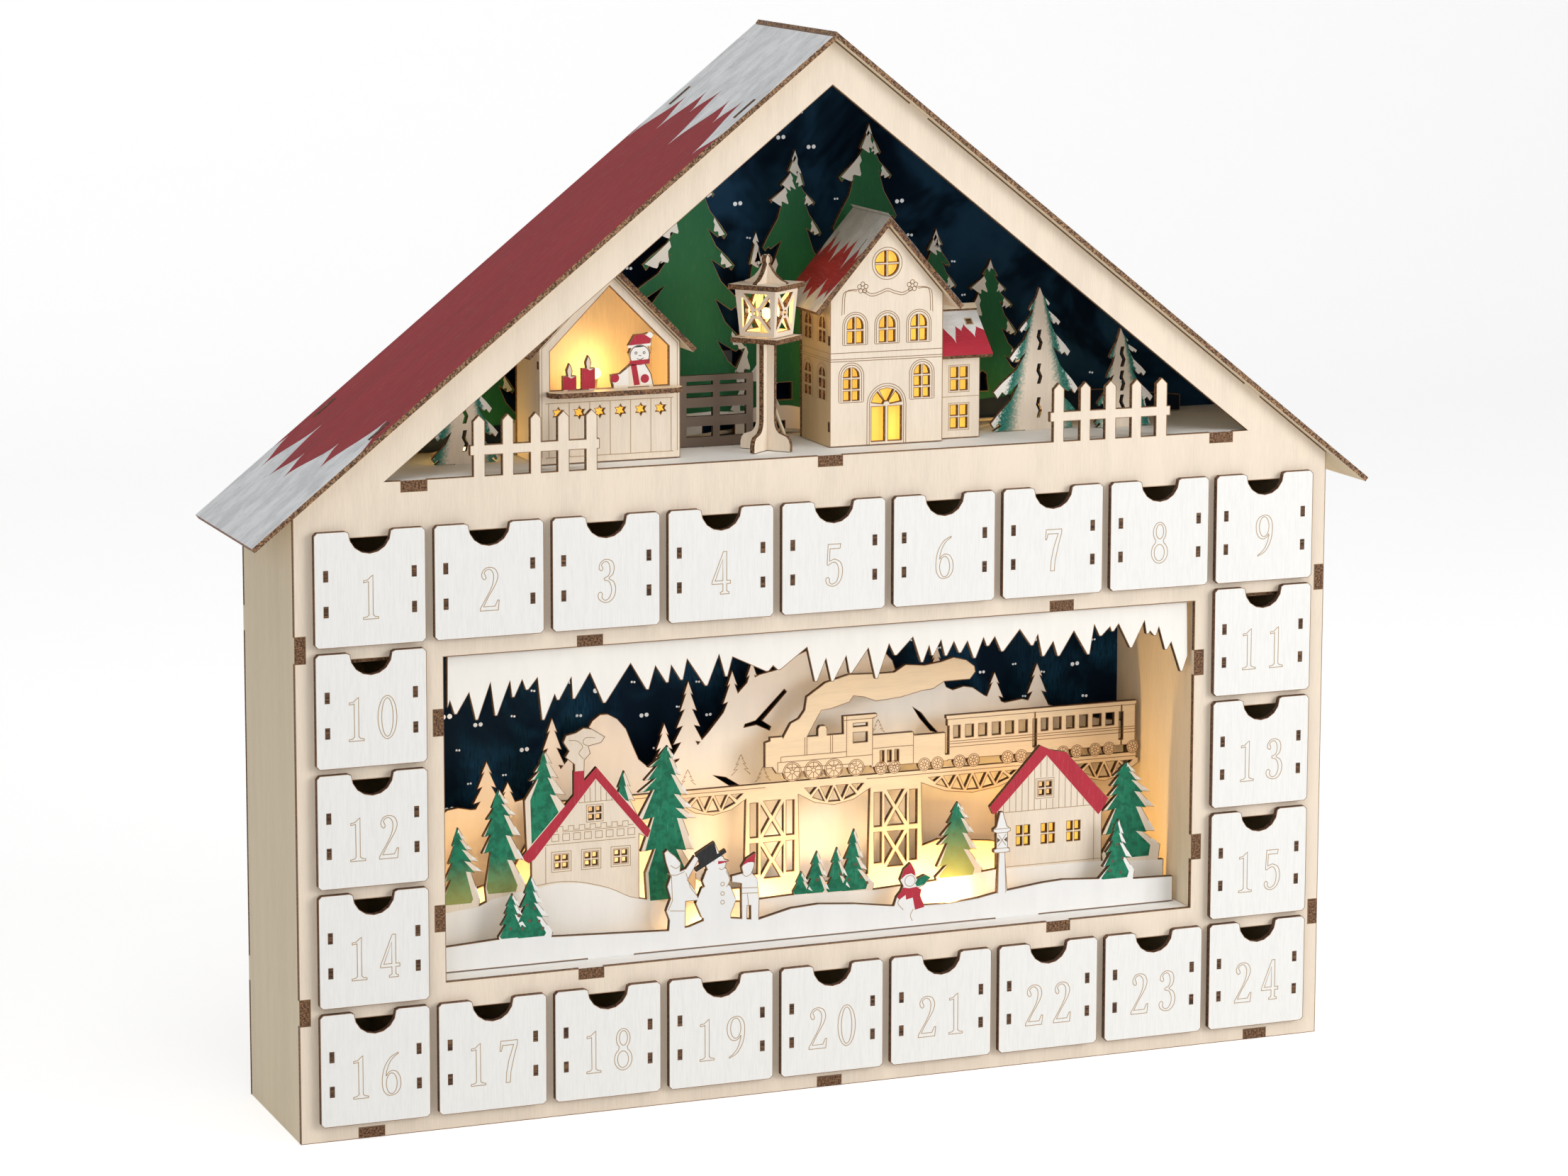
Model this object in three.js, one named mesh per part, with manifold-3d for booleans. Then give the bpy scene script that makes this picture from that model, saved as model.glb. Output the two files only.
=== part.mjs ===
import * as THREE from "three";
import { mergeVertices } from "three/addons/utils/BufferGeometryUtils.js";
import Module from "manifold-3d";

// A lit wooden advent calendar: a gabled plywood body with twenty-four drawers round a
// layered winter scene, and a small village in the attic. Millimetres, X to the right,
// Y to the back, Z up. Y = 0 is the front face of the front panel, Z = 0 the table.

// Sheet stock and clearances
const PLY = 4.2;
const THIN = 2;
const SEAT = 0.3;
const TAB_PLAY = 0.1;
const TAB_LENGTH = 10.1;

// Body and roof
const HALF_WIDTH = 221.6;
const EAVE_HEIGHT = 247.8;
const APEX_HEIGHT = 423.8;
const BODY_DEPTH = 74;
const ROOF_HALF_SPAN = 239.1;
const ROOF_FRONT_OVERHANG = 4.8;
const ROOF_BACK_OVERHANG = 5;
const ROOF_TABS = [[32.7, 40.9], [183, 190.5]];

// Attic and scene compartments
const ATTIC_FLOOR_TOP = 258.9;
const GABLE_BAND = 18;
const SCENE_FLOOR_TOP = 59.4;
const SCENE_HEIGHT = 129.5;
const SCENE_HALF_WIDTH = 162;

// Drawers
const COLUMNS = 9;
const COLUMN_PITCH = 48;
const ROW_PITCH = 47.35;
const TOP_ROW_TOP = 241.1;
const FACE_WIDTH = 44.5;
const FACE_HEIGHT = 45;
const FACE_THICKNESS = 2.4;
const FACE_STANDOFF = 0.6;
const FACE_CORNER = 1.3;
const GRIP_RADIUS = 8.4;
const GRIP_DEPTH = 9;
const TRAY_WIDTH = 37;
const TRAY_HEIGHT = 37;
const TRAY_LENGTH = 64;
const TRAY_WALL = 1.8;
const TRAY_LIFT = 2.5;
const HOLE_PLAY = 0.8;
const HOLE_HEADROOM = 2.2;
const RUNNER_HALF_WIDTH = 8;
const DIVIDER = 2;
const SHELF_TO_SIDE = 0.3;

// Picket fences on the front panel
const PICKET_SHOULDER = 280.3;
const PICKET_TIP = 282.7;
const PICKET_RAIL_BOTTOM = 267;
const PICKET_RAIL_TOP = 271;
const LEFT_PICKETS = [[-149.2, -144.4], [-137.4, -132.8], [-126, -121.5], [-114.8, -110], [-103.2, -98.5]];
const RIGHT_PICKETS = [[97, 101.7], [108.9, 113.5], [120.1, 125], [131.9, 136.5], [143, 148]];

// Tabs that show in the front panel
const BOTTOM_TABS = [-193, 0, 193];
const ATTIC_TABS = [-173.2, -0.4, 172.9];
const SCENE_TABS = [-101.9, 101.6];
const SIDE_TABS = [52.5, 195.4];
const WALL_TABS = [85.1, 163.1];

// Cut scenery: the front face of each layer
const VALANCE_FRONT = THIN + SEAT;
const BANK_FRONT = 12;
const HILL_FRONT = 21;
const TRAIN_FRONT = 48;
const MOUNTAIN_FRONT = 60;
const LAYER_HALF_WIDTH = 159.8;
const LAYER_TABS = [-89.4, 88.5];
const LAYER_TAB_LENGTH = 20;

// Attic village
const BACKDROP_FRONT = 60;
const SLATS_FRONT = 38;
const SLATS_SPAN = [-50.2, -18.5];
const STALL_X = -87.9;
const STALL_HALF_WIDTH = 29.4;
const STALL_FRONT = 15;
const STALL_BACK = 44;
const STALL_WALL_TOP = 305.4;
const STALL_FRAME = 4.6;
const STALL_SILL = 288.3;
const STALL_ROOF_SPAN = 35.4;
const STALL_OVERHANG = 3;
const STALL_TENONS = [-101, -76];
const COUNTER_REACH = 7;
const LANTERN_X = -19.5;
const LANTERN_Y = 21;
const LANTERN_TURN = THREE.MathUtils.degToRad(39);
const LANTERN_PLATE = 303;
const CAGE_HEIGHT = 19;
const HOUSE_SPAN = [6.3, 55.4];
const HOUSE_FRONT = 17;
const HOUSE_BACK = 49;
const HOUSE_WALL_TOP = 319.5;
const HOUSE_APEX = 347.8;
const HOUSE_ROOF_SPAN = 32.2;
const HOUSE_ROOF_THICKNESS = 2.2;
const HOUSE_OVERHANG = 3.5;
const ROUND_WINDOW_Z = 332.4;
const ROUND_WINDOW_RADIUS = 4.6;
const WINDOW_WIDTH = 6.8;
const DOOR_X = 30.9;
const DOOR_RADIUS = 6.6;
const DOOR_SPRING = 275.4;
const ANNEX_RIGHT = 74.1;
const ANNEX_FRONT = 22;
const ANNEX_BACK = 38;
const ANNEX_EAVE = 294.4;
const ANNEX_PITCH = THREE.MathUtils.degToRad(43);
const ANNEX_OVERHANG = 4;
const FIR_LEFT_X = -143;
const FIR_LEFT_FRONT = 30;
const FIR_RIGHT_X = 105.2;
const FIR_RIGHT_FRONT = 32;
const FIR_FAR_RIGHT_X = 140.6;
const FIR_FAR_RIGHT_FRONT = 27;

// Battery box, cells and lights
const BOX_SPAN = [-80, -18];
const BOX_HEIGHTS = [266, 294];
const BOX_FRONT = 62.8;
const BOX_WALL = 1.2;
const BOX_FLANGE = 4;
const CELL_BAY = [-78.6, -29.6];
const CELL_RADIUS = 5.2;
const CELL_LENGTH = 44.5;
const COVER_THICKNESS = 1.2;
const SWITCH_X = -23.8;
const SWITCH_Z = 280;
const SWITCH_TRAVEL = 3;
const LEAD_RADIUS = 1;
const LEAD_SIDES = 5;
const LEAD_EXIT_Z = 270;
const LAMP_RADIUS = 2.5;

// The light lead goes down behind the drawers at this place
const LEAD_HOLE_X = 48;
const LEAD_HOLE_Y = 68;
const LEAD_HOLE_RADIUS = 3.2;
const LEAD_NOTCH_WIDTH = 14;
const LEAD_NOTCH_HEIGHT = 5;
const BACKDROP_NOTCHES = [-25, -3, 53];
const SCENE_NOTCH_MOUNTAIN = 60;
const SCENE_NOTCH_TRAIN = 66;

const PITCH = Math.atan2(APEX_HEIGHT - EAVE_HEIGHT, HALF_WIDTH);
const BACK_PANEL_FRONT = BODY_DEPTH - THIN;
const SCENE_TOP = SCENE_FLOOR_TOP + SCENE_HEIGHT;
const ATTIC_UNDERSIDE = ATTIC_FLOOR_TOP - PLY;
const INNER_HALF_WIDTH = HALF_WIDTH - PLY;
const FACE_FRONT = -FACE_STANDOFF - FACE_THICKNESS;

const wasm = await Module();
wasm.setup();

// Solids and how they are joined

function solid(geometry) {
  const bare = geometry.index ? geometry.toNonIndexed() : geometry.clone();
  bare.deleteAttribute("normal");
  bare.deleteAttribute("uv");
  const merged = mergeVertices(bare, 1e-4);
  return new wasm.Manifold(new wasm.Mesh({
    numProp: 3,
    vertProperties: Float32Array.from(merged.attributes.position.array),
    triVerts: Uint32Array.from(merged.index.array),
  }));
}

function join(...pieces) {
  return pieces.flat().reduce((whole, piece) => whole.add(piece));
}

function cut(whole, ...tools) {
  return tools.flat().reduce((rest, tool) => rest.subtract(tool), whole);
}

function block(x0, x1, y0, y1, z0, z1) {
  const box = new THREE.BoxGeometry(x1 - x0, y1 - y0, z1 - z0);
  box.translate((x0 + x1) / 2, (y0 + y1) / 2, (z0 + z1) / 2);
  return solid(box);
}

// A sheet cut to a flat shape: the shape's axes lie along u and v, its back at origin
function slab(shape, thickness, origin, u, v, segments = 4) {
  const geometry = new THREE.ExtrudeGeometry(shape, {
    depth: thickness, bevelEnabled: false, curveSegments: segments,
  });
  const across = new THREE.Vector3(...u);
  const up = new THREE.Vector3(...v);
  const through = new THREE.Vector3().crossVectors(across, up);
  const place = new THREE.Matrix4().makeBasis(across, up, through);
  place.setPosition(...origin);
  geometry.applyMatrix4(place);
  return solid(geometry);
}

const standing = (shape, front, thickness = THIN, segments = 4) =>
  slab(shape, thickness, [0, front + thickness, 0], [1, 0, 0], [0, 0, 1], segments);

const sideways = (shape, left, thickness = THIN) =>
  slab(shape, thickness, [left, 0, 0], [0, 1, 0], [0, 0, 1]);

const lying = (shape, bottom, thickness) =>
  slab(shape, thickness, [0, 0, bottom], [1, 0, 0], [0, 1, 0]);

// A cutter that goes right through a standing sheet
const through = (shape, front, thickness = THIN) => standing(shape, front - 1, thickness + 2);

// Flat shapes

function outline(points) {
  return new THREE.Shape(points.map(([x, z]) => new THREE.Vector2(x, z)));
}

const rectangle = (x0, z0, x1, z1) => outline([[x0, z0], [x1, z0], [x1, z1], [x0, z1]]);

function disc(x, z, radius) {
  const shape = new THREE.Shape();
  shape.absarc(x, z, radius, 0, 2 * Math.PI, false);
  return shape;
}

// Tabs and notches: each is a rectangle [x0, x1, z0, z1] seen from the front

const tabsInPlate = (centres, bottom) =>
  centres.map((x) => [x - TAB_LENGTH / 2, x + TAB_LENGTH / 2, bottom, bottom + PLY]);

const tabsInWall = (heights, left) =>
  heights.map((z) => [left, left + PLY, z - TAB_LENGTH / 2, z + TAB_LENGTH / 2]);

const bottomTabs = tabsInPlate(BOTTOM_TABS, 0);
const atticTabs = tabsInPlate(ATTIC_TABS, ATTIC_UNDERSIDE);
const ceilingTabs = tabsInPlate(SCENE_TABS, SCENE_TOP);
const floorTabs = tabsInPlate(SCENE_TABS, SCENE_FLOOR_TOP - PLY);
const sideTabs = (side) => tabsInWall(SIDE_TABS, side > 0 ? INNER_HALF_WIDTH : -HALF_WIDTH);
const wallTabs = (side) =>
  tabsInWall(WALL_TABS, side > 0 ? SCENE_HALF_WIDTH : -SCENE_HALF_WIDTH - PLY);

function tabs(rectangles) {
  return rectangles.flatMap(([x0, x1, z0, z1]) => [
    block(x0, x1, 0, THIN + 1, z0, z1),
    block(x0, x1, BACK_PANEL_FRONT - 1, BODY_DEPTH, z0, z1),
  ]);
}

function notches(rectangles, front) {
  return rectangles.map(([x0, x1, z0, z1]) => block(
    x0 - TAB_PLAY, x1 + TAB_PLAY, front - 1, front + THIN + 1, z0 - TAB_PLAY, z1 + TAB_PLAY,
  ));
}

const ALL_TABS = [
  ...bottomTabs, ...atticTabs, ...ceilingTabs, ...floorTabs,
  ...sideTabs(-1), ...sideTabs(1), ...wallTabs(-1), ...wallTabs(1),
];

// Where the drawers are: column 0 to 8 from the left, row 0 at the top

const columnX = (column) => (column - (COLUMNS - 1) / 2) * COLUMN_PITCH;
const rowTop = (row) => TOP_ROW_TOP - row * ROW_PITCH;
const trayBottom = (row) => rowTop(row) - FACE_HEIGHT + TRAY_LIFT;

function drawerPlaces() {
  const all = [];
  const add = (column, row) => all.push({ column, row, x: columnX(column), top: rowTop(row) });
  for (let column = 0; column < COLUMNS; column += 1) add(column, 0);
  for (let row = 1; row <= 3; row += 1) {
    add(0, row);
    add(COLUMNS - 1, row);
  }
  for (let column = 0; column < COLUMNS; column += 1) add(column, 4);
  return all;
}

// Body panels

function gable(front) {
  const shape = outline([
    [-HALF_WIDTH, 0], [HALF_WIDTH, 0], [HALF_WIDTH, EAVE_HEIGHT],
    [0, APEX_HEIGHT], [-HALF_WIDTH, EAVE_HEIGHT],
  ]);
  return cut(join(standing(shape, front), roofTabs(front)), notches(ALL_TABS, front));
}

// Tabs on the slopes that reach through the roof and end flush with it
function roofTabs(front) {
  const reach = SEAT + THIN;
  return [-1, 1].flatMap((side) => ROOF_TABS.map(([inner, outer]) => {
    const onSlope = (x, lift) => [
      side * (x + lift * Math.sin(PITCH)),
      APEX_HEIGHT - x * Math.tan(PITCH) + lift * Math.cos(PITCH),
    ];
    return standing(outline([
      onSlope(inner, -1), onSlope(outer, -1), onSlope(outer, reach), onSlope(inner, reach),
    ]), front);
  }));
}

function picketFence(posts, left, right) {
  const bottom = ATTIC_FLOOR_TOP - 1;
  const picket = ([x0, x1]) => outline([
    [x0, bottom], [x1, bottom], [x1, PICKET_SHOULDER], [(x0 + x1) / 2, PICKET_TIP], [x0, PICKET_SHOULDER],
  ]);
  const rail = rectangle(left, PICKET_RAIL_BOTTOM, right, PICKET_RAIL_TOP);
  return [...posts.map((post) => standing(picket(post), 0)), standing(rail, 0)];
}

function frontPanel() {
  const atticApex = APEX_HEIGHT - GABLE_BAND;
  const atticHalf = (atticApex - ATTIC_FLOOR_TOP) / Math.tan(PITCH);
  const attic = outline([[-atticHalf, ATTIC_FLOOR_TOP], [atticHalf, ATTIC_FLOOR_TOP], [0, atticApex]]);
  const scene = rectangle(-SCENE_HALF_WIDTH, SCENE_FLOOR_TOP, SCENE_HALF_WIDTH, SCENE_TOP);
  const holes = drawerPlaces().map(({ x, top }) => {
    const half = TRAY_WIDTH / 2 + HOLE_PLAY;
    const bottom = top - FACE_HEIGHT + TRAY_LIFT - HOLE_PLAY;
    return through(rectangle(x - half, bottom, x + half, bottom + TRAY_HEIGHT + HOLE_PLAY + HOLE_HEADROOM), 0);
  });
  const open = cut(gable(0), through(attic, 0), through(scene, 0), holes);
  return join(open, picketFence(LEFT_PICKETS, -150.5, -97.5), picketFence(RIGHT_PICKETS, 95.5, 149.5));
}

function sidePanel(side) {
  const left = side > 0 ? INNER_HALF_WIDTH : -HALF_WIDTH;
  const wall = block(left, left + PLY, THIN, BACK_PANEL_FRONT, 0, EAVE_HEIGHT - SEAT);
  return join(wall, tabs(sideTabs(side)));
}

// A floor with runners under the trays and a divider between each two drawers
function dividedFloor(bottom, runnerTop, dividerTop, tabRectangles) {
  const end = INNER_HALF_WIDTH - SEAT;
  const bar = (x0, x1, z0, z1) => block(x0, x1, THIN, BACK_PANEL_FRONT, z0, z1);
  const pieces = [bar(-end, end, bottom, bottom + PLY)];
  for (let gap = 1; gap < COLUMNS; gap += 1) {
    const x = columnX(gap) - COLUMN_PITCH / 2;
    pieces.push(bar(x - RUNNER_HALF_WIDTH, x + RUNNER_HALF_WIDTH, bottom + 1, runnerTop));
    pieces.push(bar(x - DIVIDER / 2, x + DIVIDER / 2, bottom + 1, dividerTop));
  }
  const outer = columnX(COLUMNS - 1) + COLUMN_PITCH / 2 - RUNNER_HALF_WIDTH;
  pieces.push(bar(-end, -outer, bottom + 1, runnerTop));
  pieces.push(bar(outer, end, bottom + 1, runnerTop));
  return join(pieces, tabs(tabRectangles));
}

const WALL_BOTTOM = SCENE_FLOOR_TOP - PLY - 3;

function bottomPanel() {
  return dividedFloor(0, trayBottom(4) - SEAT, WALL_BOTTOM - SEAT, bottomTabs);
}

function sceneCeiling() {
  const floor = dividedFloor(SCENE_TOP, trayBottom(0) - SEAT, ATTIC_UNDERSIDE - SEAT, ceilingTabs);
  return cut(floor, leadHole(SCENE_TOP - 1, SCENE_TOP + PLY + 1));
}

function sceneFloor() {
  const half = SCENE_HALF_WIDTH - SEAT;
  const bottom = SCENE_FLOOR_TOP - PLY;
  const plate = block(-half, half, THIN, BACK_PANEL_FRONT, bottom, SCENE_FLOOR_TOP);
  const slots = [BANK_FRONT, HILL_FRONT, TRAIN_FRONT, MOUNTAIN_FRONT].flatMap((front) =>
    LAYER_TABS.map((x) => block(
      x - LAYER_TAB_LENGTH / 2 - TAB_PLAY, x + LAYER_TAB_LENGTH / 2 + TAB_PLAY,
      front - TAB_PLAY, front + THIN + TAB_PLAY, bottom - 1, SCENE_FLOOR_TOP + 1,
    )));
  return join(cut(plate, slots), tabs(floorTabs));
}

// Each wall carries the three shelves of its drawer column
function sceneWall(side) {
  const inner = side * SCENE_HALF_WIDTH;
  const outer = side * (SCENE_HALF_WIDTH + PLY);
  const end = side * (INNER_HALF_WIDTH - SHELF_TO_SIDE);
  const bar = (a, b, z0, z1) => block(
    Math.min(a, b), Math.max(a, b), THIN, BACK_PANEL_FRONT, z0, z1,
  );
  const shelves = [1, 2, 3].map((row) => {
    const top = trayBottom(row) - SEAT;
    return bar(outer - side, end, top - THIN, top);
  });
  return join(bar(inner, outer, WALL_BOTTOM, SCENE_TOP - SEAT), shelves, tabs(wallTabs(side)));
}

function leadHole(bottom, top) {
  const cutter = new THREE.CylinderGeometry(LEAD_HOLE_RADIUS, LEAD_HOLE_RADIUS, top - bottom, 10);
  cutter.rotateX(Math.PI / 2);
  cutter.translate(LEAD_HOLE_X, LEAD_HOLE_Y, (top + bottom) / 2);
  return solid(cutter);
}

function atticFloor() {
  const half = (APEX_HEIGHT - ATTIC_FLOOR_TOP) / Math.tan(PITCH) - SEAT;
  const plate = block(-half, half, THIN, BACK_PANEL_FRONT, ATTIC_UNDERSIDE, ATTIC_FLOOR_TOP);
  return cut(
    join(plate, tabs(atticTabs)), STANDS.map(standSlot), leadHole(ATTIC_UNDERSIDE - 1, ATTIC_FLOOR_TOP + 1),
  );
}

// One half of a gabled roof: a sheet that starts near the ridge and ends at the eave.
// The plate on the right laps over the end of the plate on the left.
function roofPlate({ side, ridgeX, ridgeZ, pitch, length, front, back, thickness, slots = [],
  lap = SEAT }) {
  const double = 2 * pitch;
  const underLap = (lap + thickness * Math.cos(double)) / Math.sin(double);
  const overLap = -(underLap * Math.cos(double) + thickness * Math.sin(double));
  const start = side > 0 ? overLap : underLap;
  const along = [side * Math.cos(pitch), 0, -Math.sin(pitch)];
  const sheet = (u0, u1, y0, y1, lift, depth) => slab(
    outline([[u0, side * y0], [u1, side * y0], [u1, side * y1], [u0, side * y1]]), depth,
    [ridgeX + lift * side * Math.sin(pitch), 0, ridgeZ + lift * Math.cos(pitch)],
    along, [0, side, 0],
  );
  const openings = slots.map(([u0, u1, y0, y1]) => sheet(u0, u1, y0, y1, -1, thickness + 2));
  return cut(sheet(start, length, front, back, 0, thickness), openings);
}

function mainRoof(side) {
  const shift = SEAT * Math.tan(PITCH);
  const slots = ROOF_TABS.flatMap(([inner, outer]) => [0, BACK_PANEL_FRONT].map((y) => [
    inner / Math.cos(PITCH) - shift - TAB_PLAY, outer / Math.cos(PITCH) + shift + TAB_PLAY,
    y - TAB_PLAY, y + THIN + TAB_PLAY,
  ]));
  return roofPlate({
    side,
    ridgeX: 0,
    ridgeZ: APEX_HEIGHT + SEAT / Math.cos(PITCH),
    pitch: PITCH,
    length: (ROOF_HALF_SPAN - THIN * Math.sin(PITCH)) / Math.cos(PITCH),
    front: -ROOF_FRONT_OVERHANG,
    back: BODY_DEPTH + ROOF_BACK_OVERHANG,
    thickness: THIN,
    slots,
  });
}

// Drawers: a face with a half-round finger grip, and an open tray behind it

function drawerFace(x, top) {
  const half = FACE_WIDTH / 2;
  const bottom = top - FACE_HEIGHT;
  const gripZ = top - GRIP_DEPTH + GRIP_RADIUS;
  const shape = new THREE.Shape();
  shape.moveTo(x - half + FACE_CORNER, bottom);
  shape.lineTo(x + half - FACE_CORNER, bottom);
  shape.lineTo(x + half, bottom + FACE_CORNER);
  shape.lineTo(x + half, top - FACE_CORNER);
  shape.lineTo(x + half - FACE_CORNER, top);
  shape.lineTo(x + GRIP_RADIUS + FACE_CORNER, top);
  shape.lineTo(x + GRIP_RADIUS, gripZ);
  shape.absarc(x, gripZ, GRIP_RADIUS, 0, Math.PI, true);
  shape.lineTo(x - GRIP_RADIUS - FACE_CORNER, top);
  shape.lineTo(x - half + FACE_CORNER, top);
  shape.lineTo(x - half, top - FACE_CORNER);
  shape.lineTo(x - half, bottom + FACE_CORNER);
  return standing(shape, FACE_FRONT, FACE_THICKNESS);
}

function drawer(x, top) {
  const half = TRAY_WIDTH / 2;
  const bottom = top - FACE_HEIGHT + TRAY_LIFT;
  const tray = cut(
    block(x - half, x + half, FACE_FRONT + 1, TRAY_LENGTH, bottom, bottom + TRAY_HEIGHT),
    block(
      x - half + TRAY_WALL, x + half - TRAY_WALL, -FACE_STANDOFF, TRAY_LENGTH - TRAY_WALL,
      bottom + TRAY_WALL, bottom + TRAY_HEIGHT + 1,
    ),
    block(x - half, x + half, FACE_FRONT, -FACE_STANDOFF, top - GRIP_DEPTH - 1, top),
  );
  return join(drawerFace(x, top), tray);
}

// Scenery outlines

// A fir: from the tip down one side and up the other. The branch ends are [x, z], top first.
// A plain branch runs straight to its end; a lobed one flares out, rounds off and comes back
// under a second small lobe.
const BRANCH_NOTCH = 0.5;
const LOBED_NOTCH = 0.44;
const LOBE = 0.2;

function branches(ends, tip, lobed) {
  let [fromX, fromZ] = tip;
  return ends.flatMap(([x, z]) => {
    const side = Math.sign(x - tip[0]);
    const reach = x - fromX;
    const drop = z - fromZ;
    const lobe = LOBE * Math.min(Math.abs(reach), Math.abs(drop));
    const edge = lobed ? [
      [fromX + reach * 0.3, fromZ + drop * 0.45], [fromX + reach * 0.75, fromZ + drop * 0.78], [x, z],
      [x - side * lobe * 0.6, z - lobe * 0.9], [x - side * lobe * 1.3, z],
      [x - side * lobe * 1.9, z - lobe * 0.5],
    ] : [[x, z]];
    fromX = tip[0] + (x - tip[0]) * (lobed ? LOBED_NOTCH : BRANCH_NOTCH);
    fromZ = z + (lobed ? lobe * 1.2 : 0.8);
    return [...edge, [fromX, fromZ]];
  });
}

function fir(tip, left, right, foot, lobed = false) {
  const rightSide = branches(right, tip, lobed).slice(0, -1);
  const leftSide = branches(left, tip, lobed).slice(0, -1).reverse();
  return outline([
    tip, ...rightSide, [right.at(-1)[0] - 1, foot], [left.at(-1)[0] + 1, foot], ...leftSide,
  ]);
}
// A fir whose branches widen evenly from the tip to the foot
function evenFir(x, tipZ, foot, halfWidth, tiers, lobed = false) {
  const trim = 0.12;
  const ends = (side) => Array.from({ length: tiers }, (_, i) => {
    const share = (i + 1) / tiers;
    return [x + side * halfWidth * share ** 0.85, tipZ - (tipZ - foot) * (share - trim / tiers)];
  });
  return fir([x, tipZ], ends(-1), ends(1), foot, lobed);
}

// The ground of a layer: its top line from left to right, closed at the scene floor,
// with the two tabs that go down into the floor
function ground(front, topLine, left = -LAYER_HALF_WIDTH, right = LAYER_HALF_WIDTH) {
  const bottom = SCENE_FLOOR_TOP + SEAT;
  const shape = outline([[left, bottom], [right, bottom], ...topLine.toReversed()]);
  const feet = LAYER_TABS.map((x) => standing(rectangle(
    x - LAYER_TAB_LENGTH / 2, SCENE_FLOOR_TOP - PLY, x + LAYER_TAB_LENGTH / 2, bottom + 1,
  ), front));
  return [standing(shape, front), ...feet];
}

// Icicles along the top of the scene, each [tip x, tip z, x and z of the gap after it]
const ICICLES = [
  [-156.5, 165.3, -151, 173.5], [-147.9, 162.4, -142.2, 177], [-140, 163.5, -134.2, 177],
  [-132.9, 170.3, -129.2, 177], [-127.2, 172.8, -122.9, 177.4], [-120.6, 160.3, -115.8, 170.2],
  [-114.4, 167.8, -108.9, 176.6], [-107.9, 167.8, -101.2, 177.7], [-95.2, 165.2, -84.2, 180.2],
  [-77.1, 169.2, -73.8, 178.5], [-68.8, 171.4, -67.1, 178.3], [-62.7, 172, -60.4, 180.3],
  [-52.3, 168.9, -46.9, 181.2], [-43.8, 172, -41.1, 179.7], [-26.3, 172.8, -23.8, 174.9],
  [-21.3, 173, -9.3, 181.3], [-5.4, 167, -1.1, 176.2], [1.7, 166.6, 7.7, 176.6],
  [9.6, 169.3, 17.3, 179.1], [20.9, 166.3, 26.3, 180.2], [29.2, 175.3, 36.7, 182.2],
  [40.8, 171.6, 43.9, 178.3], [45.4, 174, 49.1, 180.2], [51.3, 173.5, 54.8, 179.1],
  [57.5, 174.3, 60.8, 178.9], [64, 171.6, 67.9, 179.8], [69.8, 176.2, 72.9, 179.8],
  [76.3, 173.5, 84, 182], [89.6, 175, 92.1, 179.5], [94.6, 170.2, 99, 176],
  [101.5, 169.8, 108.3, 179.7], [115, 169.5, 117.5, 181.8], [120.4, 176.8, 124.6, 180.3],
  [125.8, 178.3, 128.5, 181.2], [134.3, 170.9, 140.3, 181.8], [141.7, 176.2, 142.9, 177.2],
  [145.2, 175.2, 146.9, 178.8], [150.3, 168.9, 152.6, 172], [157.5, 159.3, 160.4, 165.8],
];
const ICICLE_TIP = 1.1;

function icicleValance() {
  const half = LAYER_HALF_WIDTH;
  const edge = ICICLES.flatMap(([x, z, gapX, gapZ]) => [
    [x - ICICLE_TIP / 2, z], [x + ICICLE_TIP / 2, z], [gapX, gapZ],
  ]);
  return standing(outline([
    [half, SCENE_TOP - SEAT], [-half, SCENE_TOP - SEAT], [-half, 168], [-158.8, 170.9], ...edge,
  ]), VALANCE_FRONT);
}

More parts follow.
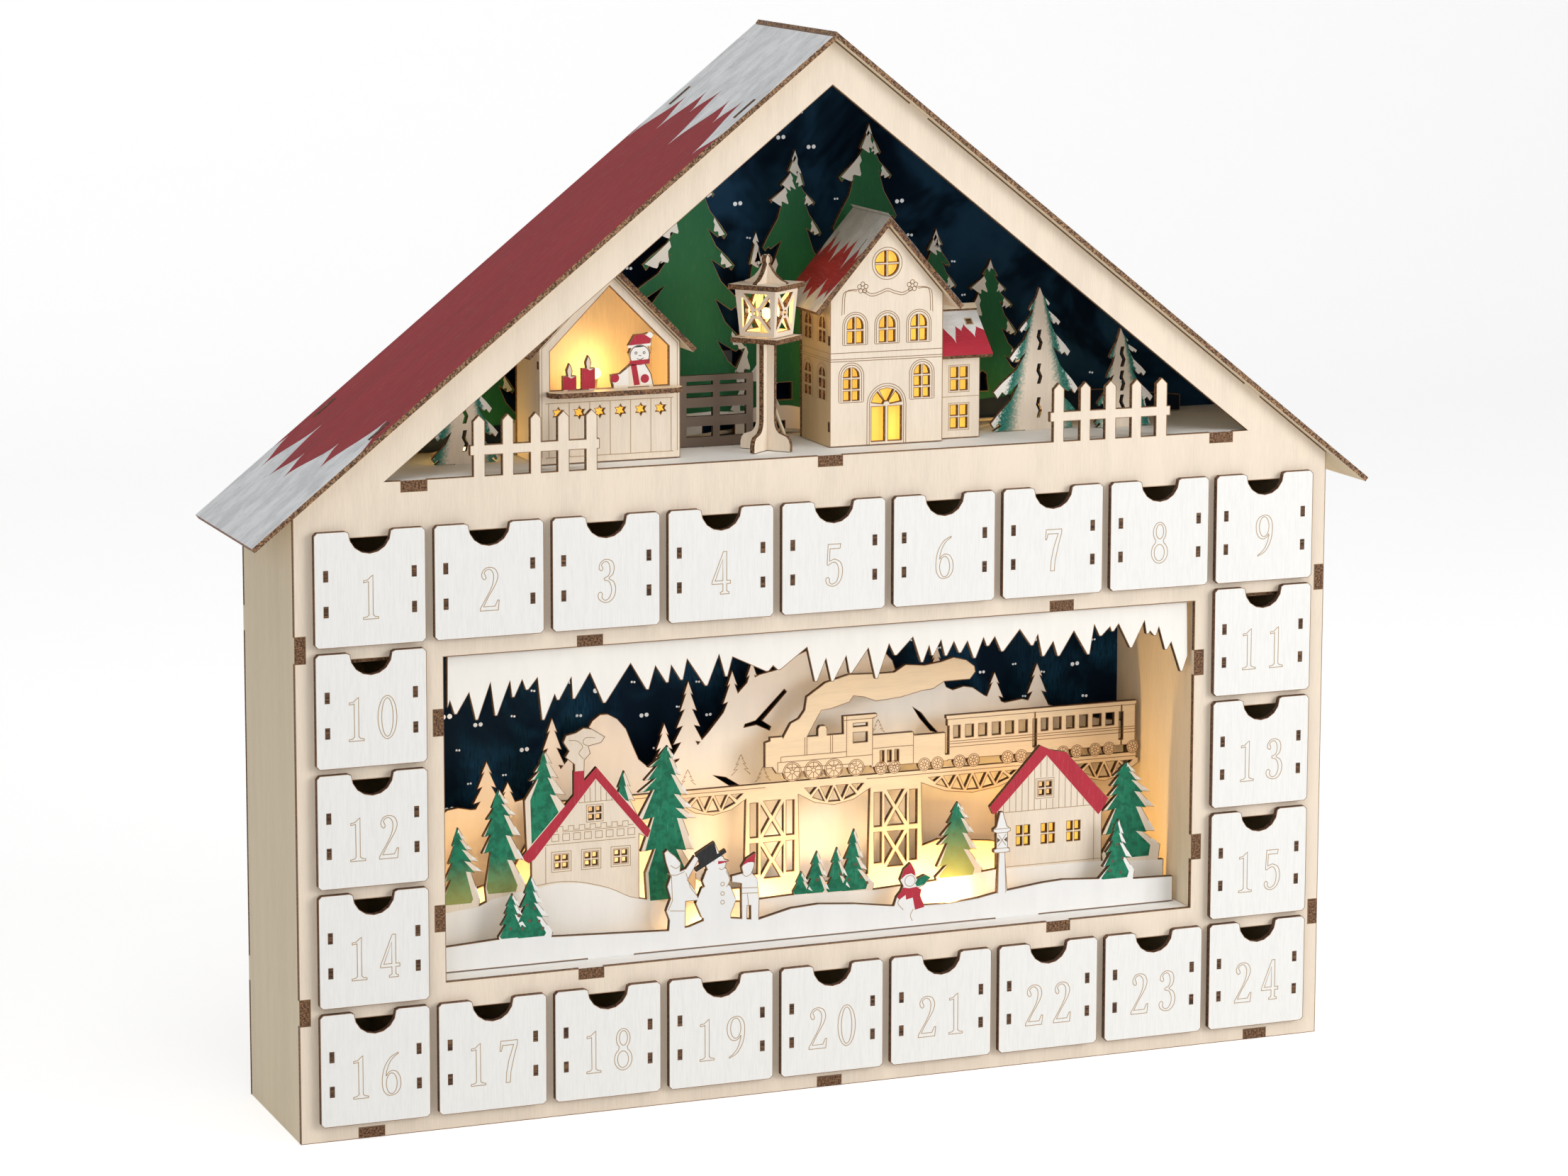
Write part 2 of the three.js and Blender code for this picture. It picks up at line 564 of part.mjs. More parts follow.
// The snow bank in front, with a snowman, children, firs and a lantern post
function snowBank() {
  const put = (shape, segments = 4) => standing(shape, BANK_FRONT, THIN, segments);
  const bank = ground(BANK_FRONT, [
    [-159.8, 70], [-137, 71.2], [-114, 70.2], [-65.3, 68], [-56, 68.8], [-50, 70.7], [-38, 70.7],
    [-26.2, 69], [-12, 72.3], [0, 73], [16, 71.6], [32.5, 69.2], [47.5, 68.2], [58.3, 68],
    [70.8, 69], [78.8, 70.4], [100, 72.8], [109.2, 73.3], [125.4, 72.2], [142.1, 70.8], [159.8, 70.3],
  ]);
  const firs = [
    fir([-130.3, 89], [[-133, 84], [-133.9, 81], [-135.5, 76.5], [-136.6, 72]],
      [[-127.5, 84], [-126.5, 80], [-125, 75]], 68),
    fir([-122.4, 95.5], [[-125.6, 88.6], [-127.5, 83], [-129, 77], [-130, 72]],
      [[-119.3, 88.6], [-118.2, 84], [-115.3, 78.3], [-113.7, 72]], 68),
    fir([134.6, 96.5], [[132.2, 91.9], [130.6, 87.3], [128.6, 82.8], [127.3, 76.9], [125.4, 72]],
      [[136.7, 90.3], [137.9, 86.1], [140.8, 79.8], [142.1, 74]], 68),
  ];
  const childInWhite = outline([
    [-65, 66], [-64.5, 72], [-66, 76], [-64, 81], [-65.5, 86], [-64, 90], [-66, 96], [-66.8, 100],
    [-65.3, 101.3], [-63.8, 99.8], [-62, 98.4], [-59.6, 95.5], [-59.8, 92], [-57.4, 92.8],
    [-53.6, 97.8], [-51.8, 96.3], [-56.6, 88], [-53, 83], [-52, 79.2], [-57.4, 79.2], [-57.8, 66],
  ]);
  const snowman = [
    put(disc(-44.5, 78, 8.8)), put(disc(-44.3, 87, 6.2)), put(disc(-44.5, 93.2, 4.5)),
    put(outline([[-52.9, 91], [-40, 98], [-40.5, 99.3], [-53.4, 92.3]])),
    put(outline([[-50.6, 92.6], [-42.6, 97], [-45.2, 102.8], [-53.2, 98.4]])),
    put(outline([[-41.2, 95.4], [-38.7, 94.4], [-41.2, 93.6]])),
    put(rectangle(-50, 68, -38, 73)),
  ];
  const childWithHat = [
    put(disc(-30.8, 90.7, 2.6)),
    put(outline([
      [-33.6, 91.3], [-31.4, 94.6], [-27.4, 96.8], [-28, 91], [-29, 88.6], [-26.6, 86], [-25.8, 78],
      [-26, 67], [-29.5, 67], [-29.6, 75], [-31, 75], [-31.1, 67], [-33.4, 67], [-33.6, 78],
      [-33.6, 84.4], [-37.8, 85.4], [-37.8, 88], [-33, 88.8],
    ])),
  ];
  const seatedChild = outline([
    [32.5, 67], [34.4, 72.6], [36.3, 74.8], [37.2, 77], [35.8, 79.6], [37.6, 84], [40.6, 86.5],
    [42.4, 83.4], [43.4, 79.6], [47, 81], [49.6, 79.6], [46.6, 76.6], [43.4, 75.4], [44.6, 72],
    [47.5, 67],
  ]);
  const lamp = outline([
    [79.1, 68], [79.6, 78], [80, 87], [77.7, 87.2], [77.7, 88.8], [78.8, 89], [78.8, 95.5],
    [77.4, 96], [77.4, 97.2], [78.8, 98.2], [80.4, 104.3], [81.8, 104.3], [83.6, 98.2],
    [85.2, 97.2], [85.2, 96], [84, 95.5], [84, 89], [84.9, 88.8], [84.9, 87.2], [82.8, 87],
    [83.4, 78], [84.2, 68],
  ]);
  return join(
    bank, firs.map((shape) => put(shape)), put(childInWhite), snowman, childWithHat,
    put(seatedChild), put(lamp),
  );
}

// The hill with two houses and the firs round them
function hillWithHouses() {
  const front = HILL_FRONT;
  const put = (shape) => standing(shape, front);
  const hill = ground(front, [
    [-159.8, 81], [-149.9, 82.1], [-142.4, 82.7], [-136.2, 85.4], [-124.1, 87.3], [-98.7, 88.6],
    [-87, 85.4], [-73.9, 80], [-62, 77.5], [-54.5, 76.3], [-30, 74.6], [-7.8, 75.4], [27.9, 74.3],
    [50, 75.3], [61.7, 76], [82.1, 78], [131, 77.4], [141.7, 76.3], [159.8, 75.5],
  ]);
  const firs = [
    fir([-149.8, 115.3], [[-152.3, 108], [-154.2, 101], [-156, 94], [-157.2, 86]],
      [[-146.6, 110], [-144.1, 105.8], [-141.6, 101], [-139.9, 96.7], [-141, 86]], 80),
    fir([-132.7, 129.3], [[-136, 122], [-138.3, 117.5], [-139.8, 110.8], [-140.3, 104], [-139, 90]],
      [[-128.6, 123], [-125.8, 118.3], [-124, 110], [-122.6, 100], [-122, 90]], 80),
    fir([-113.4, 143.3], [[-116, 139], [-118.4, 135], [-120.3, 131.7], [-122.4, 124]],
      [[-110.6, 138], [-108, 132], [-105, 125], [-102.4, 117]], 100),
    fir([-80.2, 132.7], [[-83, 126], [-85, 120]], [[-77.6, 126], [-75.6, 120], [-74, 113]], 100),
    fir([-61.6, 141.5], [[-66, 137], [-70.3, 133.3], [-72, 128], [-74.5, 123.3], [-75, 112],
      [-73.4, 99], [-71.6, 90]], [[-58.4, 136], [-56, 129], [-52.8, 120.8], [-51, 115], [-49.5, 110.8],
      [-50.4, 98], [-49.6, 88]], 74),
    fir([-3.5, 84.6], [[-6, 80], [-7.5, 76.5]], [[-1, 80], [1, 76]], 72),
    fir([3.3, 92.5], [[0.6, 87], [-1.4, 81], [-2.6, 76]], [[5.6, 87], [7.4, 81.6], [8.4, 76]], 72),
    fir([12.1, 93.3], [[9.6, 87], [8, 81], [6.6, 76]], [[14.6, 87], [16.4, 81], [17.6, 76]], 72),
    fir([19.6, 100.3], [[17, 94], [15, 88], [13.6, 81], [12.6, 76]],
      [[22, 94], [23.4, 88], [25, 82.8], [28.3, 77]], 72),
    fir([65.6, 107.8], [[62.6, 103.4], [60.7, 99.1], [57.6, 94], [56.3, 90.3], [56, 81.2], [55.5, 77]],
      [[68.4, 104], [70.8, 100.3], [73, 94], [74.6, 87], [76.7, 79.1]], 74),
    fir([142.7, 118.3], [[138.8, 115.4], [135.8, 112.8], [134.6, 108.6], [133.8, 104.5],
      [131.3, 98.3], [131, 88], [131, 80]], [[146.4, 113.8], [149.6, 109.9], [153.3, 104.9],
      [155.4, 98.3], [155.8, 87.8], [158.3, 82]], 74),
  ];
  const chalet = outline([
    [-119.5, 80], [-119.5, 99.4], [-120.6, 98.4], [-124.1, 100.8],
    [-101.6, 124.6], [-101.6, 134.3], [-97.2, 134.3], [-97.2, 129.8], [-92, 135.3],
    [-69.1, 107.5], [-70.4, 104.6], [-74, 106.4], [-74, 76],
  ]);
  const smoke = outline([
    [-101.3, 133], [-101.3, 137], [-105.2, 140.2], [-103.6, 142.6], [-106, 146.3], [-104.8, 149],
    [-100.6, 149.9], [-97.5, 151.6], [-94, 151], [-88.3, 147.3], [-90, 145], [-95.3, 144],
    [-94.5, 141], [-97, 138.5], [-97.2, 133],
  ]);
  const house = outline([
    [83, 72], [83, 102.6], [81.4, 101.2], [79.8, 104.5], [102.5, 128.7], [107.5, 126.3],
    [114.2, 124.9], [133.8, 103.7], [132.2, 100.6], [131, 99.8], [131, 72],
  ]);
  const openings = [
    ...panes(-107, 98, 5.2, 5.2), ...panes(-94.4, 98, 5.2, 5.2), ...panes(-81.9, 98, 5.2, 5.2),
    ...panes(-92.8, 116.6, 5.2, 5.2), ...panes(104.8, 110.4, 5.6, 5.6),
    ...panes(95, 91.2, 6, 8.4), ...panes(106.3, 91.2, 6, 8.4), ...panes(118, 91.2, 6, 8.4),
  ];
  return cut(
    join(hill, [...firs, chalet, smoke, house].map(put)),
    openings.map((pane) => through(pane, front)),
  );
}

// Four panes of a window, centred at x, z
const GLAZING_BAR = 1;

// Pairs of panes one above the other, the top pair under a round head
function archedPanes(x, width, sills, spring) {
  const bar = GLAZING_BAR / 2;
  const radius = width / 2;
  const top = sills.at(-1);
  const rows = sills.slice(0, -1).map((sill, i) => [sill, sills[i + 1] - GLAZING_BAR]);
  return [-1, 1].flatMap((side) => [
    ...rows.map(([low, high]) => rectangle(
      Math.min(x + side * bar, x + side * radius), low, Math.max(x + side * bar, x + side * radius), high,
    )),
    outline([
      [x + side * bar, top], [x + side * radius, top],
      ...[0, 0.45, 0.9, 1.3].map((angle) => [
        x + side * Math.max(bar, radius * Math.cos(angle)), spring + radius * Math.sin(angle),
      ]),
      [x + side * bar, spring + radius * 0.98],
    ]),
  ]);
}

function panes(x, z, width, height) {
  const halfBar = GLAZING_BAR / 2;
  return [[-1, -1], [1, -1], [1, 1], [-1, 1]].map(([sx, sz]) => rectangle(
    Math.min(x + sx * halfBar, x + sx * width / 2), Math.min(z + sz * halfBar, z + sz * height / 2),
    Math.max(x + sx * halfBar, x + sx * width / 2), Math.max(z + sz * halfBar, z + sz * height / 2),
  ));
}

// The steam train on its trestle bridge
const DECK_TOP = 115.8;
const DECK_THICKNESS = 3.3;
const TOWER_WIDTH = 23;
const TOWERS = [-6, 49.2, 119];
const SPANS = [[-47, -17], [5, 38.2], [60.2, 108], [130, 159.8]];
const BELLY = 7.4;
const CHORD = 1.5;
const STRUT_PITCH = 7;
const CARRIAGE_WINDOWS = [
  [75.3, 78.2], [80.7, 84.3], [86.7, 90.4], [92.9, 96.7], [99, 102.7], [105.2, 109],
  [115.4, 118.5], [121, 124.6], [127.1, 130.7], [133.2, 136.9], [139.3, 143.2], [145.4, 149.2],
];
const COUPLING_SLITS = [[71.6, 73.2], [111.6, 113.3], [151.6, 153.4]];
const SMALL_WHEELS = [42.5, 48.5, 62, 68, 78, 84.5, 100, 106.3, 125.5, 132, 140.5, 147, 158];

// An X brace: four triangles cut out of the rectangle x0..x1, z0..z1
function crossBrace(x0, x1, z0, z1, bar = 1.3) {
  const x = (x0 + x1) / 2;
  const z = (z0 + z1) / 2;
  return [
    outline([[x0 + bar, z0], [x1 - bar, z0], [x, z - bar]]),
    outline([[x0 + bar, z1], [x, z + bar], [x1 - bar, z1]]),
    outline([[x0, z0 + bar], [x - bar, z], [x0, z1 - bar]]),
    outline([[x1, z0 + bar], [x1, z1 - bar], [x + bar, z]]),
  ];
}

function trestleTower(x) {
  const half = TOWER_WIDTH / 2;
  const shape = outline([[x - half - 1, 68], [x + half + 1, 68], [x + half, 113.5], [x - half, 113.5]]);
  const bay = (left, right) => [[78, 91], [93.5, 108]].map(([low, high]) => rectangle(left, low, right, high));
  const openings = [
    ...crossBrace(x - 5, x + 5, 76, 91), ...crossBrace(x - 5, x + 5, 93.5, 108.5),
    ...bay(x - half + 1.8, x - 6.3), ...bay(x + 6.3, x + half - 1.8),
  ];
  return { shape, openings };
}

// A fish-bellied girder under the deck: its lower chord sags in a parabola, and a zigzag of
// struts leaves triangles open, with their bases on the deck and on the chord by turns
function girder([x0, x1]) {
  const underside = DECK_TOP - DECK_THICKNESS;
  const middle = (x0 + x1) / 2;
  const half = (x1 - x0) / 2;
  const shape = new THREE.Shape();
  shape.moveTo(x0 - 1, underside + 1);
  shape.lineTo(x0 - 1, underside - 1.5);
  shape.quadraticCurveTo(middle, underside - 2 * BELLY, x1 + 1, underside - 1.5);
  shape.lineTo(x1 + 1, underside + 1);
  const chord = (x) => underside + CHORD - 0.8 - BELLY * (1 - ((x - middle) / half) ** 2);
  const count = Math.floor((x1 - x0) / STRUT_PITCH);
  const node = (i) => middle + (i - count / 2) * STRUT_PITCH;
  const gap = 0.9;
  const openings = [];
  for (let i = 0; i < count; i += 1) {
    const [left, right] = [node(i) + gap, node(i + 1) - gap];
    const foot = (left + right) / 2;
    openings.push(outline([[left, underside], [foot, Math.min(chord(foot) + gap, underside - 1)], [right, underside]]));
    if (i > 0) {
      const [low, high] = [node(i) - STRUT_PITCH / 2 + gap, node(i) + STRUT_PITCH / 2 - gap];
      openings.push(outline([[low, chord(low)], [high, chord(high)], [node(i), underside - gap]]));
    }
  }
  return { shape, openings };
}

const STEAM = [
  [-1.4, 134], [-1, 135], [2.1, 140.3], [5.8, 142], [8.3, 145.3], [9.2, 150.8], [17.5, 156.2],
  [28, 158.9], [41.7, 158.3], [48.3, 158.3], [53.3, 161.2], [61.7, 160.3], [69.2, 161.2],
  [75, 162.7], [80.8, 161.2], [84.6, 158.3], [85, 155.8], [82.5, 152.8], [70.8, 152.7],
  [65.8, 149.9], [60.8, 149.5], [50.8, 147.4], [40, 146.6], [35, 148.7], [30, 149.6],
  [28.3, 147.2], [20, 145], [15.8, 144.6], [12.9, 140], [10.5, 135.8], [8.8, 133],
];

function trainAndBridge() {
  const front = TRAIN_FRONT;
  const put = (shape) => standing(shape, front);
  const land = ground(front, [
    [-159.8, 76], [-130, 84], [-118, 90], [-110, 104], [-100, DECK_TOP], [-62, DECK_TOP],
    [-58, 108], [-50, 92], [-42, 80], [-30, 73], [20, 72], [38, 74], [50.8, 79.5], [60, 83.3],
    [68.8, 85.8], [80, 84.5], [93.3, 83], [106, 79], [125, 74], [159.8, 72],
  ]);
  const deck = rectangle(-104, DECK_TOP - DECK_THICKNESS, LAYER_HALF_WIDTH, DECK_TOP);
  const towers = TOWERS.map(trestleTower);
  const girders = SPANS.map(girder);
  const engine = outline([
    [-9.2, 122.4], [-9.2, 133], [-7, 133.6], [-7, 135], [-1.5, 135], [-1.2, 134.1], [14.2, 134.1],
    [14.2, 137], [15, 138.2], [17.5, 138.2], [18.3, 137], [18.3, 134.1], [25.6, 134.1],
    [25.4, 141.5], [40.6, 141.5], [40.6, 140.2], [38.8, 139.6], [38.8, 119.5], [-4, 119.5],
    [-6, 122.4],
  ]);
  const drivers = [[2.8, 119.8, 4.2], [12.3, 119.8, 4.2], [21.3, 119.8, 4.2], [31.3, 119.3, 3.7]];
  const tender = outline([
    [38, 118.8], [38, 132.5], [57, 132.5], [57.6, 131], [72.9, 131], [72.9, 118.8],
  ]);
  const carriage = (x0, x1) => outline([
    [x0, 119.2], [x0, 136.4], [x0 - 0.6, 136.8], [x0 - 0.6, 138.2], [x1 + 0.6, 138.2],
    [x1 + 0.6, 136.8], [x1, 136.4], [x1, 119.2],
  ]);
  const cars = [carriage(72.4, 112.4), carriage(112.6, 152.6), carriage(152.8, LAYER_HALF_WIDTH - 0.6)];
  const wheels = [
    ...drivers.map(([x, z, r]) => disc(x, z, r)),
    ...SMALL_WHEELS.map((x) => disc(x, 118.2, 2.9)),
  ];
  const openings = [
    ...towers.slice(0, 2).flatMap((tower) => tower.openings),
    ...girders.flatMap((span) => span.openings),
    rectangle(30, 129.9, 36.3, 134.1), rectangle(30, 136.6, 36.3, 138),
    ...[42.1, 45.4, 48.7].map((x) => rectangle(x, 120.6, x + 1.7, 125.5)),
    ...CARRIAGE_WINDOWS.map(([x0, x1]) => rectangle(x0, 128.3, x1, 133.6)),
    ...COUPLING_SLITS.map(([x0, x1]) => rectangle(x0, 121.7, x1, 133.6)),
  ];
  const sheet = join(
    land, [deck, ...towers.map((tower) => tower.shape), ...girders.map((span) => span.shape),
      engine, tender, ...cars, ...wheels, outline(STEAM)].map(put),
  );
  return cut(
    sheet, openings.map((shape) => through(shape, front)),
    leadNotch(SCENE_NOTCH_TRAIN, front, SCENE_FLOOR_TOP + SEAT),
  );
}

// The mountains behind the train
function mountains() {
  const front = MOUNTAIN_FRONT;
  const put = (shape) => standing(shape, front);
  const range = ground(front, [
    [-159.8, 106], [-150, 108.6], [-145.4, 110.8], [-142.1, 113.3], [-137.5, 113.9], [-132, 112.7],
    [-120, 113], [-106, 116], [-96, 124], [-88, 133], [-82.5, 141.2], [-80, 145.3], [-76.7, 147.6],
    [-73.3, 147.6], [-69.2, 145.3], [-65.4, 140.8], [-62.9, 134.5], [-60, 127.8], [-55.8, 124.1],
    [-46, 124], [-36, 130], [-29.6, 136.6], [-22.5, 144.9], [-18.3, 150.3], [-11.7, 157],
    [-7.1, 159.1], [1.7, 160.8], [5, 164.1], [12, 167], [24, 171], [34, 170.4], [42, 168],
    [48.3, 165.3], [52.5, 160.8], [54.2, 155.8], [60, 150], [68, 147.4], [74.2, 149.1],
    [80, 146.2], [85, 147.4], [89.2, 146.6], [94.6, 142.8], [104, 139], [112, 140], [126, 136],
    [140, 131], [150, 128.4], [159.8, 127],
  ]);
  const firs = [
    evenFir(-125.3, 132, 108, 7.5, 4), evenFir(-116.4, 122.8, 106, 6, 3),
    evenFir(-97.3, 147.8, 112, 9, 5), evenFir(-48.8, 141.8, 112, 8, 5),
    evenFir(-38.3, 158.7, 118, 9.6, 6), evenFir(-19, 161.6, 132, 7.5, 4),
    evenFir(-10.3, 164.9, 134, 8, 4), evenFir(72.5, 165.8, 138, 7, 4),
    evenFir(99.2, 152.4, 122, 9, 5), evenFir(118.8, 154.9, 120, 10, 5),
  ];
  const slits = [
    outline([[61.8, 140.2], [65, 135.3], [70, 129.5], [73.8, 128], [69, 133], [65.6, 137.4]]),
    outline([[-27.5, 118.3], [-20, 113.3], [-16, 113.3], [-22, 117]]),
    outline([[-13.8, 137.4], [-8.3, 138.2], [-2.6, 135.4], [-2, 136.8], [-6, 139.6], [5, 151],
      [4, 152], [-8.6, 139.8], [-13.4, 138.6]]),
  ];
  return cut(
    join(range, firs.map(put)), slits.map((shape) => through(shape, front)),
    leadNotch(SCENE_NOTCH_MOUNTAIN, front, SCENE_FLOOR_TOP + SEAT),
  );
}

// The attic village

// Sheets that stand in slots of the attic floor
const STANDS = [
  { front: BACKDROP_FRONT, x: -120, length: 20 }, { front: BACKDROP_FRONT, x: 130, length: 20 },
  { front: SLATS_FRONT, x: -34, length: 12 }, { front: FIR_LEFT_FRONT, x: FIR_LEFT_X, length: 8 },
  { front: FIR_RIGHT_FRONT, x: FIR_RIGHT_X, length: 12 },
  { front: FIR_FAR_RIGHT_FRONT, x: FIR_FAR_RIGHT_X, length: 8 },
];

const standFoot = ({ front, x, length }) => standing(rectangle(
  x - length / 2, ATTIC_UNDERSIDE, x + length / 2, ATTIC_FLOOR_TOP + SEAT + 1,
), front);

const standSlot = ({ front, x, length }) => block(
  x - length / 2 - TAB_PLAY, x + length / 2 + TAB_PLAY, front - TAB_PLAY, front + THIN + TAB_PLAY,
  ATTIC_UNDERSIDE - 1, ATTIC_FLOOR_TOP + 1,
);

const leadNotch = (x, front, bottom) => block(
  x - LEAD_NOTCH_WIDTH / 2, x + LEAD_NOTCH_WIDTH / 2, front - 1, front + THIN + 1,
  bottom - 1, bottom + LEAD_NOTCH_HEIGHT,
);

// A fir wood behind the village
function firBackdrop() {
  const front = BACKDROP_FRONT;
  const bottom = ATTIC_FLOOR_TOP + SEAT;
  const put = (shape) => standing(shape, front);
  const snow = outline([
    [-184, bottom], [184, bottom], [184, 266], [150, 270], [110, 271], [80, 272], [40, 272],
    [0, 272.5], [-20, 271], [-60, 272], [-110, 273], [-150, 271], [-184, 268],
  ]);
  const firs = [
    evenFir(-152, 300, 268, 11, 3), evenFir(-124, 321, 268, 15, 4, true), evenFir(-92, 346, 268, 22, 5, true),
    fir([-36, 372], [[-41, 363], [-47, 354], [-52, 343], [-58, 331], [-64, 318], [-70, 304], [-74, 288]],
      [[-31, 364], [-26.7, 358.3], [-21.3, 341.7], [-18, 329], [-14, 312], [-12, 295], [-10, 280]], 268, true),
    evenFir(-8.8, 342.5, 268, 12, 5, true),
    fir([8.3, 375.4], [[5, 366.7], [1.7, 361.2], [-2.9, 355], [-5.8, 335.8], [-9, 318], [-12, 300], [-14, 282]],
      [[12.5, 360.8], [17.1, 353.3], [20, 340.8], [24, 322], [27, 304], [29, 284]], 268, true),
    fir([40.8, 385], [[36.7, 375], [27.5, 363.3], [25, 342.5], [22, 325], [19, 305], [17, 285]],
      [[46, 373], [51, 363.3], [53.3, 346.7], [60.8, 333.3], [64, 315], [67, 298], [69, 282]], 268, true),
    fir([71, 340.8], [[67, 332], [63, 322], [60, 308], [58, 290]],
      [[74, 334], [77.5, 325.4], [80.4, 316.7], [83, 303], [85, 288]], 268, true),
    fir([95.7, 327.1], [[92, 321], [86.3, 315.4], [84, 303], [82, 290], [80, 278]],
      [[99, 320], [102.9, 314.2], [105.8, 307.5], [108, 296], [111, 284], [113, 276]], 268, true),
  ];
  const holes = [rectangle(-2.5, 273, 7, 280), outline([[90, 272], [95, 272], [94.2, 279], [92.4, 280.5], [90.8, 279]])];
  const feet = STANDS.filter((stand) => stand.front === front).map(standFoot);
  return cut(
    join(put(snow), firs.map(put), feet), holes.map((shape) => through(shape, front)),
    BACKDROP_NOTCHES.map((x) => leadNotch(x, front, bottom)),
  );
}

// The market stall

function stallFront() {
  const x = STALL_X;
  const half = STALL_HALF_WIDTH;
  const gable = outline([
    [x - half, ATTIC_FLOOR_TOP + SEAT], [x + half, ATTIC_FLOOR_TOP + SEAT], [x + half, STALL_WALL_TOP],
    [x, STALL_WALL_TOP + half], [x - half, STALL_WALL_TOP],
  ]);
  const inner = half - STALL_FRAME;
  const opening = outline([
    [x - inner, STALL_SILL], [x + inner, STALL_SILL], [x + inner, STALL_WALL_TOP - 1.6],
    [x, STALL_WALL_TOP - 1.6 + inner], [x - inner, STALL_WALL_TOP - 1.6],
  ]);
  const candle = (left, top) => outline([
    [left, STALL_SILL - 1], [left + 5.5, STALL_SILL - 1], [left + 5.5, top], [left + 3.6, top],
    [left + 4, top + 2.2], [left + 2.7, top + 5], [left + 1.5, top + 2.2], [left + 1.9, top], [left, top],
  ]);
  const bust = [
    outline([[-86.2, STALL_SILL - 1], [-69.4, STALL_SILL - 1], [-70.6, 293], [-73.4, 298],
      [-77.8, 298.4], [-83.6, 293.8], [-87.4, 293.4], [-87.2, 290.6]]),
    outline([[-80.2, 304.6], [-71, 305.2], [-70.2, 308.2], [-71.6, 309.4], [-73.4, 309], [-77.6, 308.8]]),
  ].map((shape) => standing(shape, STALL_FRONT));
  const stars = [-109.3, -100.6, -92.1, -83.5, -75, -66.7].map((starX) => through(
    star(starX, 279.2, 2.4, 1.3), STALL_FRONT,
  ));
  const tenons = STALL_TENONS.map((tenonX) => block(
    tenonX - 4 - TAB_PLAY, tenonX + 4 + TAB_PLAY, STALL_FRONT - 1, STALL_FRONT + THIN + 1,
    STALL_SILL - THIN - SEAT - TAB_PLAY, STALL_SILL - SEAT + TAB_PLAY,
  ));
  return cut(
    join(
      cut(standing(gable, STALL_FRONT), through(opening, STALL_FRONT)),
      standing(candle(-107.3, 293.8), STALL_FRONT), standing(candle(-99.5, 296.6), STALL_FRONT),
      bust, standing(disc(-75.4, 301.6, 4.6), STALL_FRONT),
    ),
    stars, tenons,
  );
}

function star(x, z, outer, inner) {
  return outline(Array.from({ length: 12 }, (_, i) => {
    const radius = i % 2 ? inner : outer;
    return [x + radius * Math.sin((i * Math.PI) / 6), z + radius * Math.cos((i * Math.PI) / 6)];
  }));
}

// Side walls and back of the stall; the back has a wide opening for the light
function stallBody() {
  const x = STALL_X;
  const half = STALL_HALF_WIDTH;
  const front = STALL_FRONT + THIN / 2;
  const bottom = ATTIC_FLOOR_TOP + SEAT;
  const back = outline([
    [x - half, bottom], [x + half, bottom], [x + half, STALL_WALL_TOP],
    [x, STALL_WALL_TOP + half], [x - half, STALL_WALL_TOP],
  ]);
  const leadWay = rectangle(x - 14, bottom - 1, x + 14, STALL_SILL - 15);
  return join(
    block(x - half, x - half + THIN, front, STALL_BACK, bottom, STALL_WALL_TOP),
    block(x + half - THIN, x + half, front, STALL_BACK, bottom, STALL_WALL_TOP),
    cut(standing(back, STALL_BACK - THIN), through(leadWay, STALL_BACK - THIN)),
  );
}

function smallRoof(ridgeX, ridgeZ, pitch, span, front, back, thickness) {
  const plate = (side) => roofPlate({
    side, ridgeX, ridgeZ: ridgeZ + SEAT / Math.cos(pitch), pitch, front, back, thickness, lap: -0.2,
    length: (span - thickness * Math.sin(pitch)) / Math.cos(pitch),
  });
  return join(plate(-1), plate(1));
}

const stallRoof = () => smallRoof(
  STALL_X, STALL_WALL_TOP + STALL_HALF_WIDTH, Math.PI / 4, STALL_ROOF_SPAN,
  STALL_FRONT - STALL_OVERHANG, STALL_BACK + STALL_OVERHANG, THIN,
);

function stallCounter() {
  const top = STALL_SILL - SEAT;
  const left = STALL_X - 26.4;
  const right = STALL_X + 28.9;
  const front = STALL_FRONT - COUNTER_REACH;
  const back = STALL_FRONT - SEAT;
  const shape = outline([
    [left + 3, front], [right - 3, front], [right, front + 3], [right, back], [left, back], [left, front + 3],
  ]);
  const tenons = STALL_TENONS.map((x) =>
    block(x - 4, x + 4, back - 1, STALL_FRONT + THIN, top - THIN, top));
  return join(lying(shape, top - THIN, THIN), tenons);
}

// The dark slatted fence between the stall and the lantern
function slattedFence() {
  const [left, right] = SLATS_SPAN;
  const bottom = ATTIC_FLOOR_TOP + SEAT;
  const put = (shape) => standing(shape, SLATS_FRONT);
  const rails = [[259.2, 263], [267.4, 271.4], [275, 279], [281, 284], [285.6, 288]];
  const posts = [left, (left + right) / 2 - 1.5, right - 3];
  return join(
    posts.map((x) => put(rectangle(x, bottom, x + 3, 287))),
    rails.map(([z0, z1]) => put(rectangle(left, z0, right, z1))),
    STANDS.filter((stand) => stand.front === SLATS_FRONT).map(standFoot),
  );
}

// The lantern: crossed plates for the post, a tapered cage, and a crossed finial on top

function lanternPlate(shape, quarter) {
  const turn = LANTERN_TURN + (quarter * Math.PI) / 2;
  return slab(
    shape, THIN,
    [LANTERN_X - (Math.sin(turn) * THIN) / 2, LANTERN_Y + (Math.cos(turn) * THIN) / 2, 0],
    [Math.cos(turn), Math.sin(turn), 0], [0, 0, 1],
  );
}

function lanternSquare(side, bottom) {
  const corners = [0, 1, 2, 3].map((i) => {
    const angle = LANTERN_TURN + Math.PI / 4 + (i * Math.PI) / 2;
    return [LANTERN_X + side * Math.SQRT1_2 * Math.cos(angle), LANTERN_Y + side * Math.SQRT1_2 * Math.sin(angle)];
  });
  return lying(outline(corners), bottom, THIN);
}

